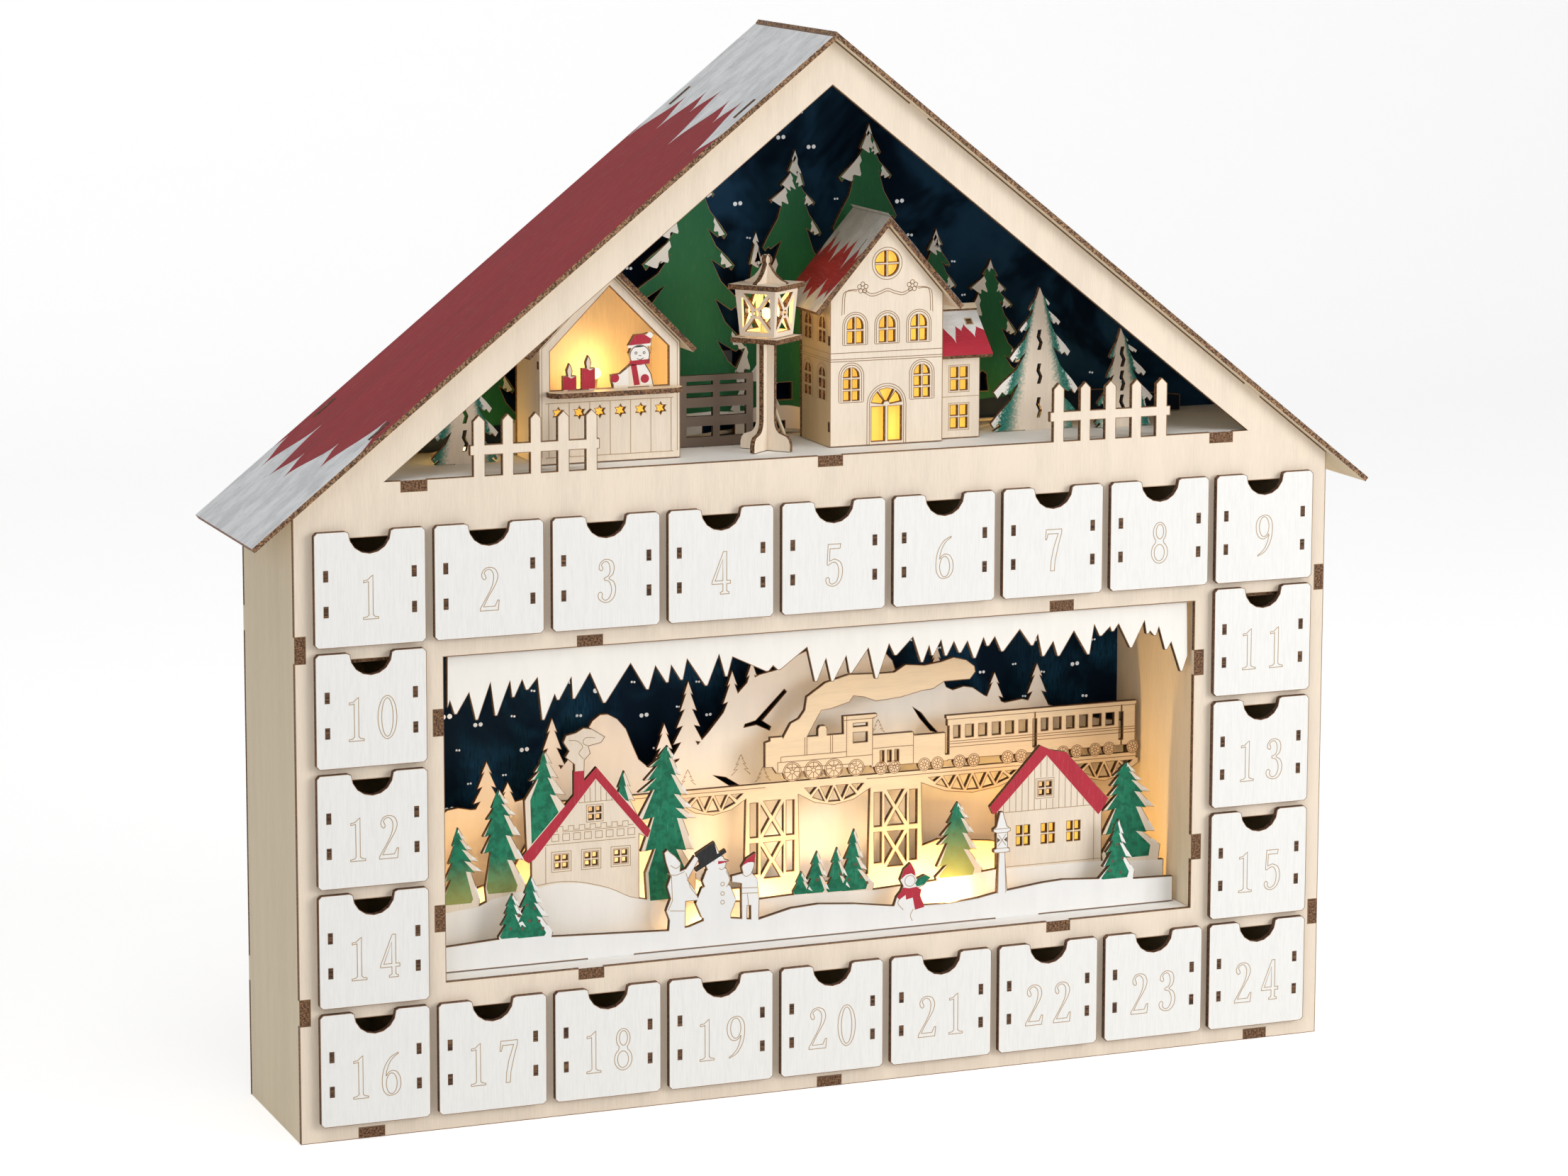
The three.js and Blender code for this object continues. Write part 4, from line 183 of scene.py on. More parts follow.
class Field:
    """A shader socket that stands in a formula; each operation adds one Math node."""

    def __init__(self, tree, socket):
        self.tree = tree
        self.socket = socket

    def sum(self, operation, *others):
        node = self.tree.nodes.new("ShaderNodeMath")
        node.operation = operation
        for slot, value in zip(node.inputs, (self, *others)):
            plug(self.tree, value, slot)
        return Field(self.tree, node.outputs[0])

    def __add__(self, other):
        return self.sum("ADD", other)

    def __sub__(self, other):
        return self.sum("SUBTRACT", other)

    def __mul__(self, other):
        return self.sum("MULTIPLY", other)

    def __abs__(self):
        return self.sum("ABSOLUTE")

    def over(self, limit):
        return self.sum("GREATER_THAN", limit)

    def under(self, limit):
        return self.sum("LESS_THAN", limit)

    def within(self, low, high):
        return self.over(low) * self.under(high)

    def either(self, other):
        return self.sum("MAXIMUM", other)

    def nearest_multiple(self, pitch):
        return self - (self * (1 / pitch)).sum("ROUND") * pitch


def plug(tree, value, slot):
    if isinstance(value, Field):
        tree.links.new(value.socket, slot)
    elif isinstance(value, tuple) and slot.type == "RGBA":
        slot.default_value = (*value, 1)
    else:
        slot.default_value = value


def mixed(first, second, amount):
    """The first colour where amount is 0, the second where it is 1."""
    tree = amount.tree
    node = tree.nodes.new("ShaderNodeMix")
    node.data_type = "RGBA"
    plug(tree, amount, node.inputs["Factor"])
    plug(tree, first, node.inputs[6])
    plug(tree, second, node.inputs[7])
    return Field(tree, node.outputs[2])


def ramp(amount, low, high):
    """A smooth step from 0 at low to 1 at high."""
    node = amount.tree.nodes.new("ShaderNodeMapRange")
    node.interpolation_type = "SMOOTHSTEP"
    plug(amount.tree, amount, node.inputs["Value"])
    node.inputs["From Min"].default_value = low
    node.inputs["From Max"].default_value = high
    return Field(amount.tree, node.outputs["Result"])


def noise(place, stretch, detail=3.0, roughness=0.55, distortion=0.0):
    """Cloudy noise whose features measure 1 / stretch millimetres along the three directions of place."""
    tree = place[0].tree
    joined = tree.nodes.new("ShaderNodeCombineXYZ")
    for slot, along, per_mm in zip(joined.inputs, place, stretch):
        plug(tree, along * per_mm, slot)
    node = tree.nodes.new("ShaderNodeTexNoise")
    node.inputs["Scale"].default_value = 1
    node.inputs["Detail"].default_value = detail
    node.inputs["Roughness"].default_value = roughness
    node.inputs["Distortion"].default_value = distortion
    tree.links.new(joined.outputs[0], node.inputs["Vector"])
    return Field(tree, node.outputs["Fac"])


def dotted(fields, direction):
    """The sum of the fields, each times its part of the direction."""
    terms = [field * part for field, part in zip(fields, direction) if abs(part) > 1e-6]
    total = terms[0]
    for term in terms[1:]:
        total = total + term
    return total


def tinted(colour, share):
    return tuple(part * share for part in colour)


class Finish:
    """A material under way: its place and normal in millimetres, and its closing shader."""

    def __init__(self, name):
        self.material = bpy.data.materials.new(name)
        self.material.use_nodes = True
        self.tree = self.material.node_tree
        self.shader = self.tree.nodes["Principled BSDF"]
        coordinates = self.tree.nodes.new("ShaderNodeTexCoord")
        self.place = [along * (1 / MM) for along in self.parts(coordinates.outputs["Object"])]
        self.place[Y] = self.place[Y] - FRONT
        self.normal = self.parts(coordinates.outputs["Normal"])

    def parts(self, vector):
        node = self.tree.nodes.new("ShaderNodeSeparateXYZ")
        self.tree.links.new(vector, node.inputs[0])
        return [Field(self.tree, output) for output in node.outputs]

    def done(self, colour, roughness=0.62, bump=None, depth=0.05, specular=0.25):
        plug(self.tree, colour, self.shader.inputs["Base Color"])
        plug(self.tree, roughness, self.shader.inputs["Roughness"])
        self.shader.inputs["Specular IOR Level"].default_value = specular
        if bump is not None:
            node = self.tree.nodes.new("ShaderNodeBump")
            node.inputs["Distance"].default_value = depth * MM
            node.inputs["Strength"].default_value = 0.6
            plug(self.tree, bump, node.inputs["Height"])
            self.tree.links.new(node.outputs[0], self.shader.inputs["Normal"])
        return self.material


def grained(place, along, fine=1.9, coarse=0.11, **settings):
    """Fibres along one of the three directions of place, 0 to 1."""
    return noise(place, [coarse if axis == along else fine for axis in (X, Y, Z)], 4, 0.7, **settings)


def bare_wood(finish, face, along, place=None):
    """Pale veneer: faint fibres, broad bands along the grain and a few darker flecks."""
    place = place or finish.place
    fibres = grained(place, along)
    bands = grained(place, along, 0.06, 0.006, distortion=0.6)
    flecks = grained(place, along, 3.2, 0.30)
    colour = mixed(tinted(face, 0.90), face, ramp(fibres * 0.5 + bands * 0.5, 0.36, 0.60))
    return mixed(colour, tinted(face, 0.80), ramp(flecks, 0.66, 0.80) * 0.5), fibres


def painted_wood(finish, paint, along, place=None, wear=0.35):
    """Thin paint over open grain: short paler dashes along the fibres."""
    place = place or finish.place
    dashes = grained(place, along, 2.6, 0.16)
    clouds = grained(place, along, 0.10, 0.02)
    worn = tuple(part * (1 - wear) + 0.42 * wear for part in paint)
    coat = mixed(tinted(paint, 1 - wear * 0.5), tinted(paint, 1 + wear * 0.3), ramp(clouds, 0.35, 0.65))
    return mixed(coat, worn, ramp(dashes, 0.54, 0.74)), dashes


def burnt_edge(finish, dark=CHAR, light=TOAST):
    """Laser-cut edge: dark, with paler stripes where the beam left the inner plies."""
    stripes = noise(finish.place, (1.3, 1.3, 1.3), 3, 0.6)
    return mixed(dark, light, ramp(stripes, 0.38, 0.66))


class Sheet:
    """A flat sheet in a node: its direction across, its place along that, and where its edges are bare."""

    def __init__(self, across, low=None, high=None, bare=None):
        self.across = AXES[across] if isinstance(across, int) else across
        self.span = (low, high)
        self.bare = bare

    def edge(self, finish):
        """1 on the sheet's cut edges, 0 on its faces and on every other sheet."""
        edge = abs(dotted(finish.normal, self.across)).under(SQUARE_ON)
        if self.span[0] is not None:
            edge = edge * dotted(finish.place, self.across).within(self.span[0] - 0.06, self.span[1] + 0.06)
        return edge if self.bare is None else edge * self.bare(finish)


def sheet_finish(name, sheets, face, along, paint=None, painted=None, dark=CHAR, light=TOAST, wear=0.35,
                 place=None):
    """Cut sheets: veneer on the faces, paint where the painted field says, burnt edges."""
    finish = Finish(name)
    place = place(finish) if place else finish.place
    colour, fibres = bare_wood(finish, face, along, place)
    if paint is not None:
        coat, fibres = painted_wood(finish, paint, along, place, wear)
        colour = mixed(colour, coat, painted(finish))
    edges = [sheet.edge(finish) for sheet in sheets]
    burnt = edges[0]
    for edge in edges[1:]:
        burnt = burnt.either(edge)
    return finish.done(mixed(colour, burnt_edge(finish, dark, light), burnt), bump=fibres)


def looks_forward(finish):
    return finish.normal[Y].under(-0.5)


def looks_left(finish):
    return finish.normal[X].under(-0.9)


def looks_up(finish):
    return finish.normal[Z].over(0.3)


def cut_edge(finish):
    """1 on the cut edges of a sheet that stands across the depth."""
    return abs(finish.normal[Y]).under(SQUARE_ON)


def cover(material, *names):
    for name in names:
        mesh = NODES[name].data
        mesh.materials.clear()
        mesh.materials.append(material)


def between_ends(low, high, tabs=()):
    """Bare edges between two ends of a wall in X, and at the finger joints' heights."""
    def bare(finish):
        x, _, z = finish.place
        field = x.within(low + 0.1, high - 0.1)
        for bottom, top in tabs:
            field = field.either(z.within(bottom, top))
        return field
    return bare


def gable_roof_finish(name, x0, pitch, paint):
    """A small roof of two slopes: paint on top, bare veneer below, burnt edges."""
    finish = Finish(name)
    side = (finish.place[X] - x0).sum("SIGN")
    across = finish.normal[X] * side * math.sin(pitch) + finish.normal[Z] * math.cos(pitch)
    veneer, _ = bare_wood(finish, BIRCH, Y)
    coat, fibres = painted_wood(finish, paint, Y)
    colour = mixed(veneer, coat, across.over(SQUARE_ON))
    return finish.done(mixed(burnt_edge(finish), colour, abs(across).over(SQUARE_ON)), bump=fibres)


def drawer_finish():
    """White face, birch tray, burnt rims; columns and rows repeat, so one formula serves all drawers."""
    finish = Finish("drawer_white_and_birch")
    x, y, _ = finish.place
    across, forward, _ = (abs(part) for part in finish.normal)
    birch, _ = bare_wood(finish, BIRCH, Y)
    fibres = grained(finish.place, Z, 2.2, 0.12)
    white = mixed(tinted(WHITE_PAINT, 0.94), WHITE_PAINT, ramp(fibres, 0.34, 0.60))
    painted = looks_forward(finish) * y.under(FACE_FRONT + 0.1)
    colour = mixed(birch, white, painted)
    from_middle = abs(x.nearest_multiple(COLUMN_PITCH))
    rim = forward.under(0.6) * y.under(FACE_BACK + 0.05)
    wall_top = from_middle.over(TRAY_HALF_WIDTH - TRAY_WALL) * across.under(0.5) * y.over(FACE_BACK)
    rim_colour = burnt_edge(finish, DRAWER_CHAR, DRAWER_TOAST)
    return finish.done(mixed(colour, rim_colour, rim.either(wall_top)), 0.6, fibres, 0.04)


def sky_finish():
    """Night blue with lighter clouds on the front of the back panel, bare veneer behind; in the attic the
    clouds turn a paler grey-blue, painted light of the attic lamps.
    """
    finish = Finish("night_sky")
    clouds = noise(finish.place, (0.028, 0.028, 0.028), 3, 0.6, 0.6)
    fibres = grained(finish.place, Z, 1.6, 0.2)
    blue = mixed(SKY_BLUE, SKY_CLOUD, ramp(clouds, 0.40, 0.70) * ramp(fibres, 0.25, 0.60))
    # Painted lamp light: above the attic floor the clouds take a paler grey-blue, as if lit by the attic's
    # lamps
    blue = mixed(blue, ATTIC_SKY_LAMPLIGHT, finish.place[Z].over(ATTIC_FLOOR) * ramp(clouds, 0.36, 0.62))
    wood, _ = bare_wood(finish, BIRCH, Z)
    colour = mixed(mixed(wood, blue, looks_forward(finish)), burnt_edge(finish), cut_edge(finish))
    return finish.done(colour, 0.75, fibres, 0.04, 0.08)


def plain_finish(name, colour, roughness, metallic=0.0):
    """Moulded plastic or plated steel with a faint unevenness."""
    finish = Finish(name)
    speckle = noise(finish.place, (1.5, 1.5, 1.5), 3, 0.6)
    shade = mixed(tinted(colour, 0.88), colour, ramp(speckle, 0.3, 0.7))
    finish.shader.inputs["Metallic"].default_value = metallic
    return finish.done(shade, roughness, speckle, 0.02, 0.5)


def glowing(name, colour, strength, even=0.8):
    """Lamp glass, or a painted glow on a film or a star that is no lamp: light that swells and fades softly
    over its face.
    """
    finish = Finish(name)
    clouds = noise(finish.place, (0.06, 0.06, 0.06), 2, 0.5)
    shade = mixed(tinted(colour, even), colour, ramp(clouds, 0.35, 0.65))
    plug(finish.tree, shade, finish.shader.inputs["Emission Color"])
    finish.shader.inputs["Emission Strength"].default_value = strength
    return finish.done(shade, 0.5)


def fir_finish(name, x0, tip, foot, half):
    """A bare fir with teal dabbed along both flanks and white snow at the ends of its branches."""
    finish = Finish(name)
    x, _, z = finish.place
    wood, fibres = bare_wood(finish, PALE_BIRCH, Z)
    spray = noise(finish.place, (0.9, 0.9, 0.9), 3, 0.65)
    reach = abs(x - x0).sum("DIVIDE", (z * -1 + tip) * (half / (tip - foot)) + 1.5)
    green = ramp(reach + spray * 0.5, 0.62, 0.95)
    teal = mixed((0.015, 0.16, 0.12), (0.10, 0.33, 0.26), ramp(spray, 0.45, 0.7))
    white = ramp(reach + spray * 0.35, 0.98, 1.10)
    colour = mixed(mixed(wood, teal, green * looks_forward(finish)), SNOW_WHITE, white)
    return finish.done(mixed(colour, burnt_edge(finish), cut_edge(finish)), bump=fibres)


def slope_place(side):
    """Place on a slope of the main roof: down the slope, along the ridge, and through the sheet."""
    def place(finish):
        x, y, z = finish.place
        down = x * (side * math.cos(ROOF_PITCH)) - z * math.sin(ROOF_PITCH)
        through = x * (side * math.sin(ROOF_PITCH)) + z * math.cos(ROOF_PITCH)
        return [down, y, through]
    return place


HOUSE_TABS = ((300.2, 304.0), (265.3, 269.3))
STALL_TABS = ((297.0, 300.0), (264.8, 267.8))
ANNEX_TABS = ((274.5, 278.0),)

cover(sheet_finish("front_birch", [Sheet(Y)], PALE_BIRCH, Z), "front_panel")
for side, mark in ((-1, "left"), (1, "right")):
    wall = Sheet(X, *sorted((side * (HALF_WIDTH - PLATE), side * HALF_WIDTH)))
    cover(sheet_finish(f"side_birch_{mark}", [wall], BIRCH, Z), f"side_{mark}")
    wall = Sheet(X, *sorted((side * SCENE_HALF_WIDTH, side * (SCENE_HALF_WIDTH + PLATE))))
    cover(sheet_finish(f"scene_wall_birch_{mark}", [wall], BIRCH, Z), f"scene_wall_{mark}")
    slope = (side * math.sin(ROOF_PITCH), 0, math.cos(ROOF_PITCH))
    cover(sheet_finish(f"roof_red_{mark}", [Sheet(slope)], BIRCH, X, ROOF_RED, looks_up,
                       light=ROOF_TOAST, wear=0.22, place=slope_place(side)), f"roof_{mark}")
for name, bottom in (("bottom_panel", 0.0), ("scene_floor", SCENE_FLOOR - PLATE),
                     ("scene_ceiling", SCENE_CEILING - PLATE), ("attic_floor", ATTIC_FLOOR - PLATE)):
    plate = Sheet(Z, bottom, bottom + PLATE)
    cover(sheet_finish(f"{name}_birch", [plate], PALE_BIRCH, X, WHITE_PAINT, looks_up, wear=0.04), name)
cover(sky_finish(), "back_panel")
cover(drawer_finish(), *(f"drawer_{number:02d}" for number in range(1, 25)))
cover(sheet_finish("snow_layer", [Sheet(Y)], BIRCH, Z, SNOW_WHITE, looks_forward, wear=0.05,
                   dark=SCENE_CHAR, light=SCENE_TOAST), "icicle_valance", "mountains")
cover(sheet_finish("bank_snow", [Sheet(Y)], BIRCH, Z, BANK_WHITE, looks_forward, wear=0.05,
                   dark=SCENE_CHAR, light=SCENE_TOAST), "snow_bank")
cover(sheet_finish("hill_birch", [Sheet(Y)], PALE_BIRCH, Z, dark=SCENE_CHAR, light=SCENE_TOAST),
      "hill_with_houses")
cover(sheet_finish("train_birch", [Sheet(Y)], BIRCH, X, dark=SCENE_CHAR, light=SCENE_TOAST),
      "train_and_bridge")
cover(sheet_finish("fence_stain", [Sheet(Y)], FENCE_STAIN, X, dark=tinted(CHAR, 0.6), light=FENCE_TOAST),
      "slatted_fence")


def wood_green_above_snow(finish):
    """Green above a wavy snow line, on the front."""
    swell = noise(finish.place, (0.03, 0.03, 0.0), 2, 0.5)
    return looks_forward(finish) * finish.place[Z].over(swell * 12 + 264)


def fir_wood_finish():
    """Green firs over a strip of snow; the strip's two ends carry the night sky."""
    finish = Finish("fir_wood_green")
    x = finish.place[X]
    green, fibres = painted_wood(finish, WOOD_GREEN, Z, wear=0.10)
    snow = mixed(SNOW_WHITE, SKY_BLUE, x.over(84).either(x.under(-118)))
    wood, _ = bare_wood(finish, BIRCH, Z)
    front = mixed(wood, mixed(snow, green, wood_green_above_snow(finish)), looks_forward(finish))
    edge = burnt_edge(finish, SCENE_CHAR, SCENE_TOAST)
    return finish.done(mixed(front, edge, cut_edge(finish)), bump=fibres)


cover(fir_wood_finish(), "fir_backdrop")
cover(sheet_finish("stall_birch", [
    Sheet(Y, STALL_FRONT, STALL_FRONT + SHEET,
          between_ends(STALL_X - STALL_HALF_WIDTH, STALL_X + STALL_HALF_WIDTH, STALL_TABS)),
    Sheet(Y, STALL_BACK - SHEET, STALL_BACK)], PALE_BIRCH, Z), "stall_walls")
# The house's left side gets a darker, warmer birch: painted shade, warmed as if by the lantern's light
cover(sheet_finish("house_birch", [
    Sheet(Y, HOUSE_FRONT, HOUSE_FRONT + SHEET, between_ends(HOUSE_LEFT, HOUSE_RIGHT, HOUSE_TABS)),
    Sheet(X, HOUSE_LEFT, HOUSE_LEFT + SHEET, lambda finish: finish.place[Y].within(19.2, 46.8)),
    Sheet(Y, HOUSE_BACK - SHEET, HOUSE_BACK)], PALE_BIRCH, Z, SHADED_BIRCH, looks_left, wear=0.1),
      "house_walls")
cover(sheet_finish("annex_birch", [
    Sheet(Y, ANNEX_FRONT, ANNEX_FRONT + SHEET, between_ends(HOUSE_RIGHT + SEAT, ANNEX_RIGHT, ANNEX_TABS)),
    Sheet(Y, ANNEX_BACK - SHEET, ANNEX_BACK)], PALE_BIRCH, Z), "annex_walls")
cover(gable_roof_finish("house_roof_red", HOUSE_X, HOUSE_PITCH, HOUSE_RED), "house_roof")
cover(gable_roof_finish("stall_roof_birch", STALL_X, STALL_PITCH, ROOF_SNOW), "stall_roof")
annex_slope = (0, -math.sin(ANNEX_PITCH), math.cos(ANNEX_PITCH))
cover(sheet_finish("annex_roof_red", [Sheet(annex_slope)], BIRCH, X, BRIGHT_RED,
                   lambda finish: looks_up(finish) * finish.place[Z].under(309.3), wear=0.15),
      "annex_roof")
cover(sheet_finish("counter_birch", [Sheet(Z)], BIRCH, X), "stall_counter")

first_plate = (-math.sin(LANTERN_TURN), math.cos(LANTERN_TURN), 0)
second_plate = (math.cos(LANTERN_TURN), math.sin(LANTERN_TURN), 0)


def lantern_finish(name, plates, squares, cage=False):
    """Crossed plates and level squares: faces look across their plate and lie on it; the rest is cut."""
    finish = Finish(name)
    x, y, z = finish.place
    wood, fibres = bare_wood(finish, PALE_BIRCH, Z)
    aside = [x - LANTERN[0], y - LANTERN[1]]
    facing = []
    for plate in plates:
        near = abs(dotted(aside, plate)).under(SHEET / 2 + 0.1)
        near = near.either(z.under(CAGE_TOP)) if cage else near
        facing.append(abs(dotted(finish.normal, plate)).over(0.93) * near)
    level = z.within(*squares)
    face = facing[0].either(facing[1]) * (level * -1 + 1)
    face = face.either(level * abs(finish.normal[Z]).over(SQUARE_ON))
    return finish.done(mixed(burnt_edge(finish), wood, face), bump=fibres)


cover(lantern_finish("lantern_post_birch", (first_plate, second_plate),
                     (LANTERN_PLATE - 0.1, LANTERN_PLATE + SHEET + 0.1)), "lantern_post")
cover(lantern_finish("lantern_cage_birch", (first_plate, second_plate),
                     (CAGE_TOP - 0.1, CAGE_TOP + SHEET + 0.05), True), "lantern_cage")
for name, trunk, tip, half in (("fir_left", -143, 301, 15), ("fir_right", 105.2, 317.9, 21),
                               ("fir_far_right", 139.8, 300.1, 15)):
    cover(fir_finish(f"{name}_dabbed", trunk, tip, FIR_FOOT, half), name)
black_plastic = plain_finish("black_plastic", (0.03, 0.03, 0.03), 0.45)
cover(black_plastic, "battery_box", "battery_cover")
cover(plain_finish("cell_steel", (0.55, 0.55, 0.57), 0.3, 1.0), "battery_cells")
cover(plain_finish("switch_grey", (0.4, 0.4, 0.4), 0.4), "battery_switch")


# Paint and engraving: thin pieces laid on the cut sheets

class Face:
    """A flat side of the object: u runs across it, v up it, and w stands off it, all in millimetres."""

    def __init__(self, origin, across=(1, 0, 0), up=(0, 0, 1), facing=(0, -1, 0)):
        self.origin, self.across, self.up = (np.array(part, float) for part in (origin, across, up))
        out = np.cross(self.across, self.up)
        out /= np.linalg.norm(out)
        self.mirrored = out @ np.array(facing, float) < 0
        self.out = -out if self.mirrored else out

    def points(self, u, v, w):
        """Origin + u across + v up + w out, in metres of the shared frame."""
        spot = self.origin + np.outer(u, self.across) + np.outer(v, self.up) + np.outer(w, self.out)
        return (spot + (0, FRONT, 0)) * MM


def front_of(depth):
    """The front of a sheet that stands across the depth."""
    return Face((0, depth, 0))


def placed(name, data):
    """A new object in the scene."""
    thing = bpy.data.objects.new(name, data)
    bpy.context.scene.collection.objects.link(thing)
    return thing


def surface(name, verts, faces, material, smooth):
    mesh = bpy.data.meshes.new(name)
    mesh.from_pydata(np.asarray(verts).tolist(), [], faces)
    mesh.polygons.foreach_set("use_smooth", [smooth] * len(mesh.polygons))
    mesh.materials.append(material)
    return placed(name, mesh)


def make_piece(name, verts, faces, material, slot, body="body", smooth=False):
    thing = surface(name, verts, faces, material, smooth)
    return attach(thing, body)


def wound(loop, turn):
    """The loop, run so that its area has the sign of turn."""
    loop = np.asarray(loop, float)
    u, v = loop.T
    area = np.sum(u * np.roll(v, -1) - v * np.roll(u, -1))
    return loop if area * turn > 0 else loop[::-1]


def filled(loops, high):
    """A flat prism: the first loop filled, less the holes that follow, carried along w up to high."""
    loops = [wound(loop, -1 if index else 1) for index, loop in enumerate(loops)]
    flat = np.concatenate(loops)
    caps = np.array(tessellate_polygon([[(u, v, 0) for u, v in loop] for loop in loops]))
    a, b, c = (flat[caps[:, corner]] for corner in range(3))
    turned = (b[:, 0] - a[:, 0]) * (c[:, 1] - a[:, 1]) < (b[:, 1] - a[:, 1]) * (c[:, 0] - a[:, 0])
    caps[turned] = caps[turned][:, ::-1]
    count = len(flat)
    start = np.cumsum([0] + [len(loop) for loop in loops[:-1]])
    here = np.arange(count)
    there = np.concatenate([first + np.roll(np.arange(len(loop)), -1) for first, loop in zip(start, loops)])
    walls = np.stack([here, there, there + count, here + count], 1)
    w = np.repeat([0.0, high], count)
    uvw = np.concatenate([np.tile(flat, (2, 1)), w[:, None]], 1)
    return uvw, (caps + count).tolist() + caps[:, ::-1].tolist() + walls.tolist()


def unit(vectors):
    return vectors / np.maximum(np.linalg.norm(vectors, axis=-1, keepdims=True), 1e-9)


def ribbon(path, width, high, inward=0):
    """A flat strip with mitred turns: half a width to either side of the path, or all of it to the left."""
    path = np.asarray(path, float)
    closed = np.allclose(path[0], path[-1])
    if closed:
        path = path[:-1]
        before, after = np.roll(path, 1, 0), np.roll(path, -1, 0)
    else:
        before = np.concatenate([[2 * path[0] - path[1]], path[:-1]])
        after = np.concatenate([path[1:], [2 * path[-1] - path[-2]]])
    quarter = np.array([[0, 1], [-1, 0]])
    ahead = unit(after - path) @ quarter
    behind = unit(path - before) @ quarter
    mitre = unit(ahead + behind)
    reach = mitre * width / 2 / np.clip((mitre * ahead).sum(1, keepdims=True), 0.6, 1)
    count = len(path)
    flat = np.concatenate([path + reach * (1 + inward), path - reach * (1 - inward)])
    here = np.arange(count if closed else count - 1)
    there = (here + 1) % count
    rings = [here, here + count, here + 3 * count, here + 2 * count]
    nexts = [there, there + count, there + 3 * count, there + 2 * count]
    faces = [np.stack([nexts[i], nexts[(i + 1) % 4], rings[(i + 1) % 4], rings[i]], 1) for i in range(4)]
    faces = np.concatenate(faces).tolist()
    if not closed:
        last = count - 1
        faces.append([count, 3 * count, 2 * count, 0])
        faces.append([last + 2 * count, last + 3 * count, last + count, last])
    w = np.repeat([0.0, high], 2 * count)
    return np.concatenate([np.tile(flat, (2, 1)), w[:, None]], 1), faces


def merged(parts):
    """The corners and faces of several closed meshes, in one list each."""
    verts, faces, offset = [], [], 0
    for points, polygons in parts:
        verts.append(points)
        faces += [[corner + offset for corner in polygon] for polygon in polygons]
        offset += len(points)
    return np.concatenate(verts), faces


def gathered(name, face, parts, material, slot, body="body"):
    """Prisms and ribbons on one face, joined in one mesh."""
    verts, faces = merged(parts)
    if face.mirrored:
        faces = [polygon[::-1] for polygon in faces]
    return make_piece(name, face.points(*verts.T), faces, material, slot, body)


def painted(name, face, shapes, material, slot, body="body", high=PAINT):
    """Flat paint: each shape is an outline, or an outline with the holes in it."""
    shapes = [shape if np.ndim(shape[0][0]) else [shape] for shape in shapes]
    return gathered(name, face, [filled(shape, high) for shape in shapes], material, slot, body)


def marks(name, face, shapes, material):
    """Dark marks that stand over the paint: ends of tabs, and slits and small holes whose dark is painted
    shade.
    """
    painted(name, face, shapes, material, "dark_ply", high=PAINT * 2)


# A film behind a window that glows by itself: painted lamp light showing through the window
def lit_film(name, face, shape):
    painted(name, face, [shape], window_glow, "pale_ply", high=FILM)


def engraved(name, face, paths, body="body", width=GROOVE, material=None, high=PAINT * 0.8):
    """Burnt lines, each a ribbon along its path."""
    parts = [ribbon(path, width, high) for path in paths]
    return gathered(name, face, parts, material or burnt_line, "dark_ply", body)


def front_outlines(node, depth):
    """The closed outlines of a sheet's front: sides of triangles that no neighbour shares, chained."""
    mesh = NODES[node].data
    mesh.calc_loop_triangles()
    corners = np.empty(len(mesh.loop_triangles) * 3, int)
    mesh.loop_triangles.foreach_get("vertices", corners)
    spots = np.empty(len(mesh.vertices) * 3)
    mesh.vertices.foreach_get("co", spots)
    spots = spots.reshape(-1, 3) / MM - (0, FRONT, 0)
    corners = corners.reshape(-1, 3)
    flat = spots[corners[np.abs(spots[corners, Y] - depth).max(1) < 0.02]][:, :, [X, Z]].round(3)
    sides = {(tuple(triangle[i]), tuple(triangle[(i + 1) % 3]))
             for triangle in flat.tolist() for i in range(3)}
    onward = {}
    for start, end in sorted(sides):
        if start != end and (end, start) not in sides:
            onward.setdefault(start, []).append(end)
    outlines = []
    while onward:
        path = [next(iter(onward))]
        while len(path) == 1 or path[-1] != path[0]:
            ends = onward[path[-1]]
            step = ends.pop()
            if not ends:
                del onward[path[-1]]
            path.append(step)
        outlines.append(path)
    return outlines


def burnt_rim(name, node, depth, body="body", width=RIM_WIDTH):
    """A thin browned strip just inside every outline of a sheet's front."""
    parts = [ribbon(path, width, PAINT * 0.7, inward=1) for path in front_outlines(node, depth)]
    gathered(name, front_of(depth), parts, scorched, "dark_ply", body)


def smooth(points, steps=5):
    """A Catmull-Rom curve through the points."""
    points = np.asarray(points, float)
    ends = np.concatenate([[2 * points[0] - points[1]], points, [2 * points[-1] - points[-2]]])
    t = (np.arange(steps) / steps)[None, :, None]
    a, b, c, d = (ends[i:len(ends) - 3 + i, None] for i in range(4))
    square = (2 * a - 5 * b + 4 * c - d) * t ** 2
    cube = (3 * b - a - 3 * c + d) * t ** 3
    curve = 0.5 * (2 * b + (c - a) * t + square + cube)
    return np.concatenate([curve.reshape(-1, 2), points[-1:]])


def arc(u, v, radius, start=0.0, end=360.0, steps=24, squash=1.0):
    """Points on an ellipse between two angles, in degrees."""
    angle = np.radians(np.linspace(start, end, steps + 1))
    return np.stack([u + radius * np.cos(angle), v + radius * squash * np.sin(angle)], 1)


def disc(u, v, radius, steps=16):
    return arc(u, v, radius, steps=steps)[:-1]


def frame_line(u0, v0, u1, v1):
    """A rectangle as a closed path."""
    return [(u0, v0), (u1, v0), (u1, v1), (u0, v1), (u0, v0)]


def left_of(x):
    """The left side of a sheet that stands along the depth."""
    return Face((x, 0, 0), (0, -1, 0), (0, 0, 1), (-1, 0, 0))


def box(u0, v0, u1, v1):
    return [(u0, v0), (u1, v0), (u1, v1), (u0, v1)]


def arched(u, half, low, spring):
    """A round-headed frame as an open path, from the left foot to the right one."""
    return [(u - half, low), *arc(u, spring, half, 180, 0, 14), (u + half, low)]


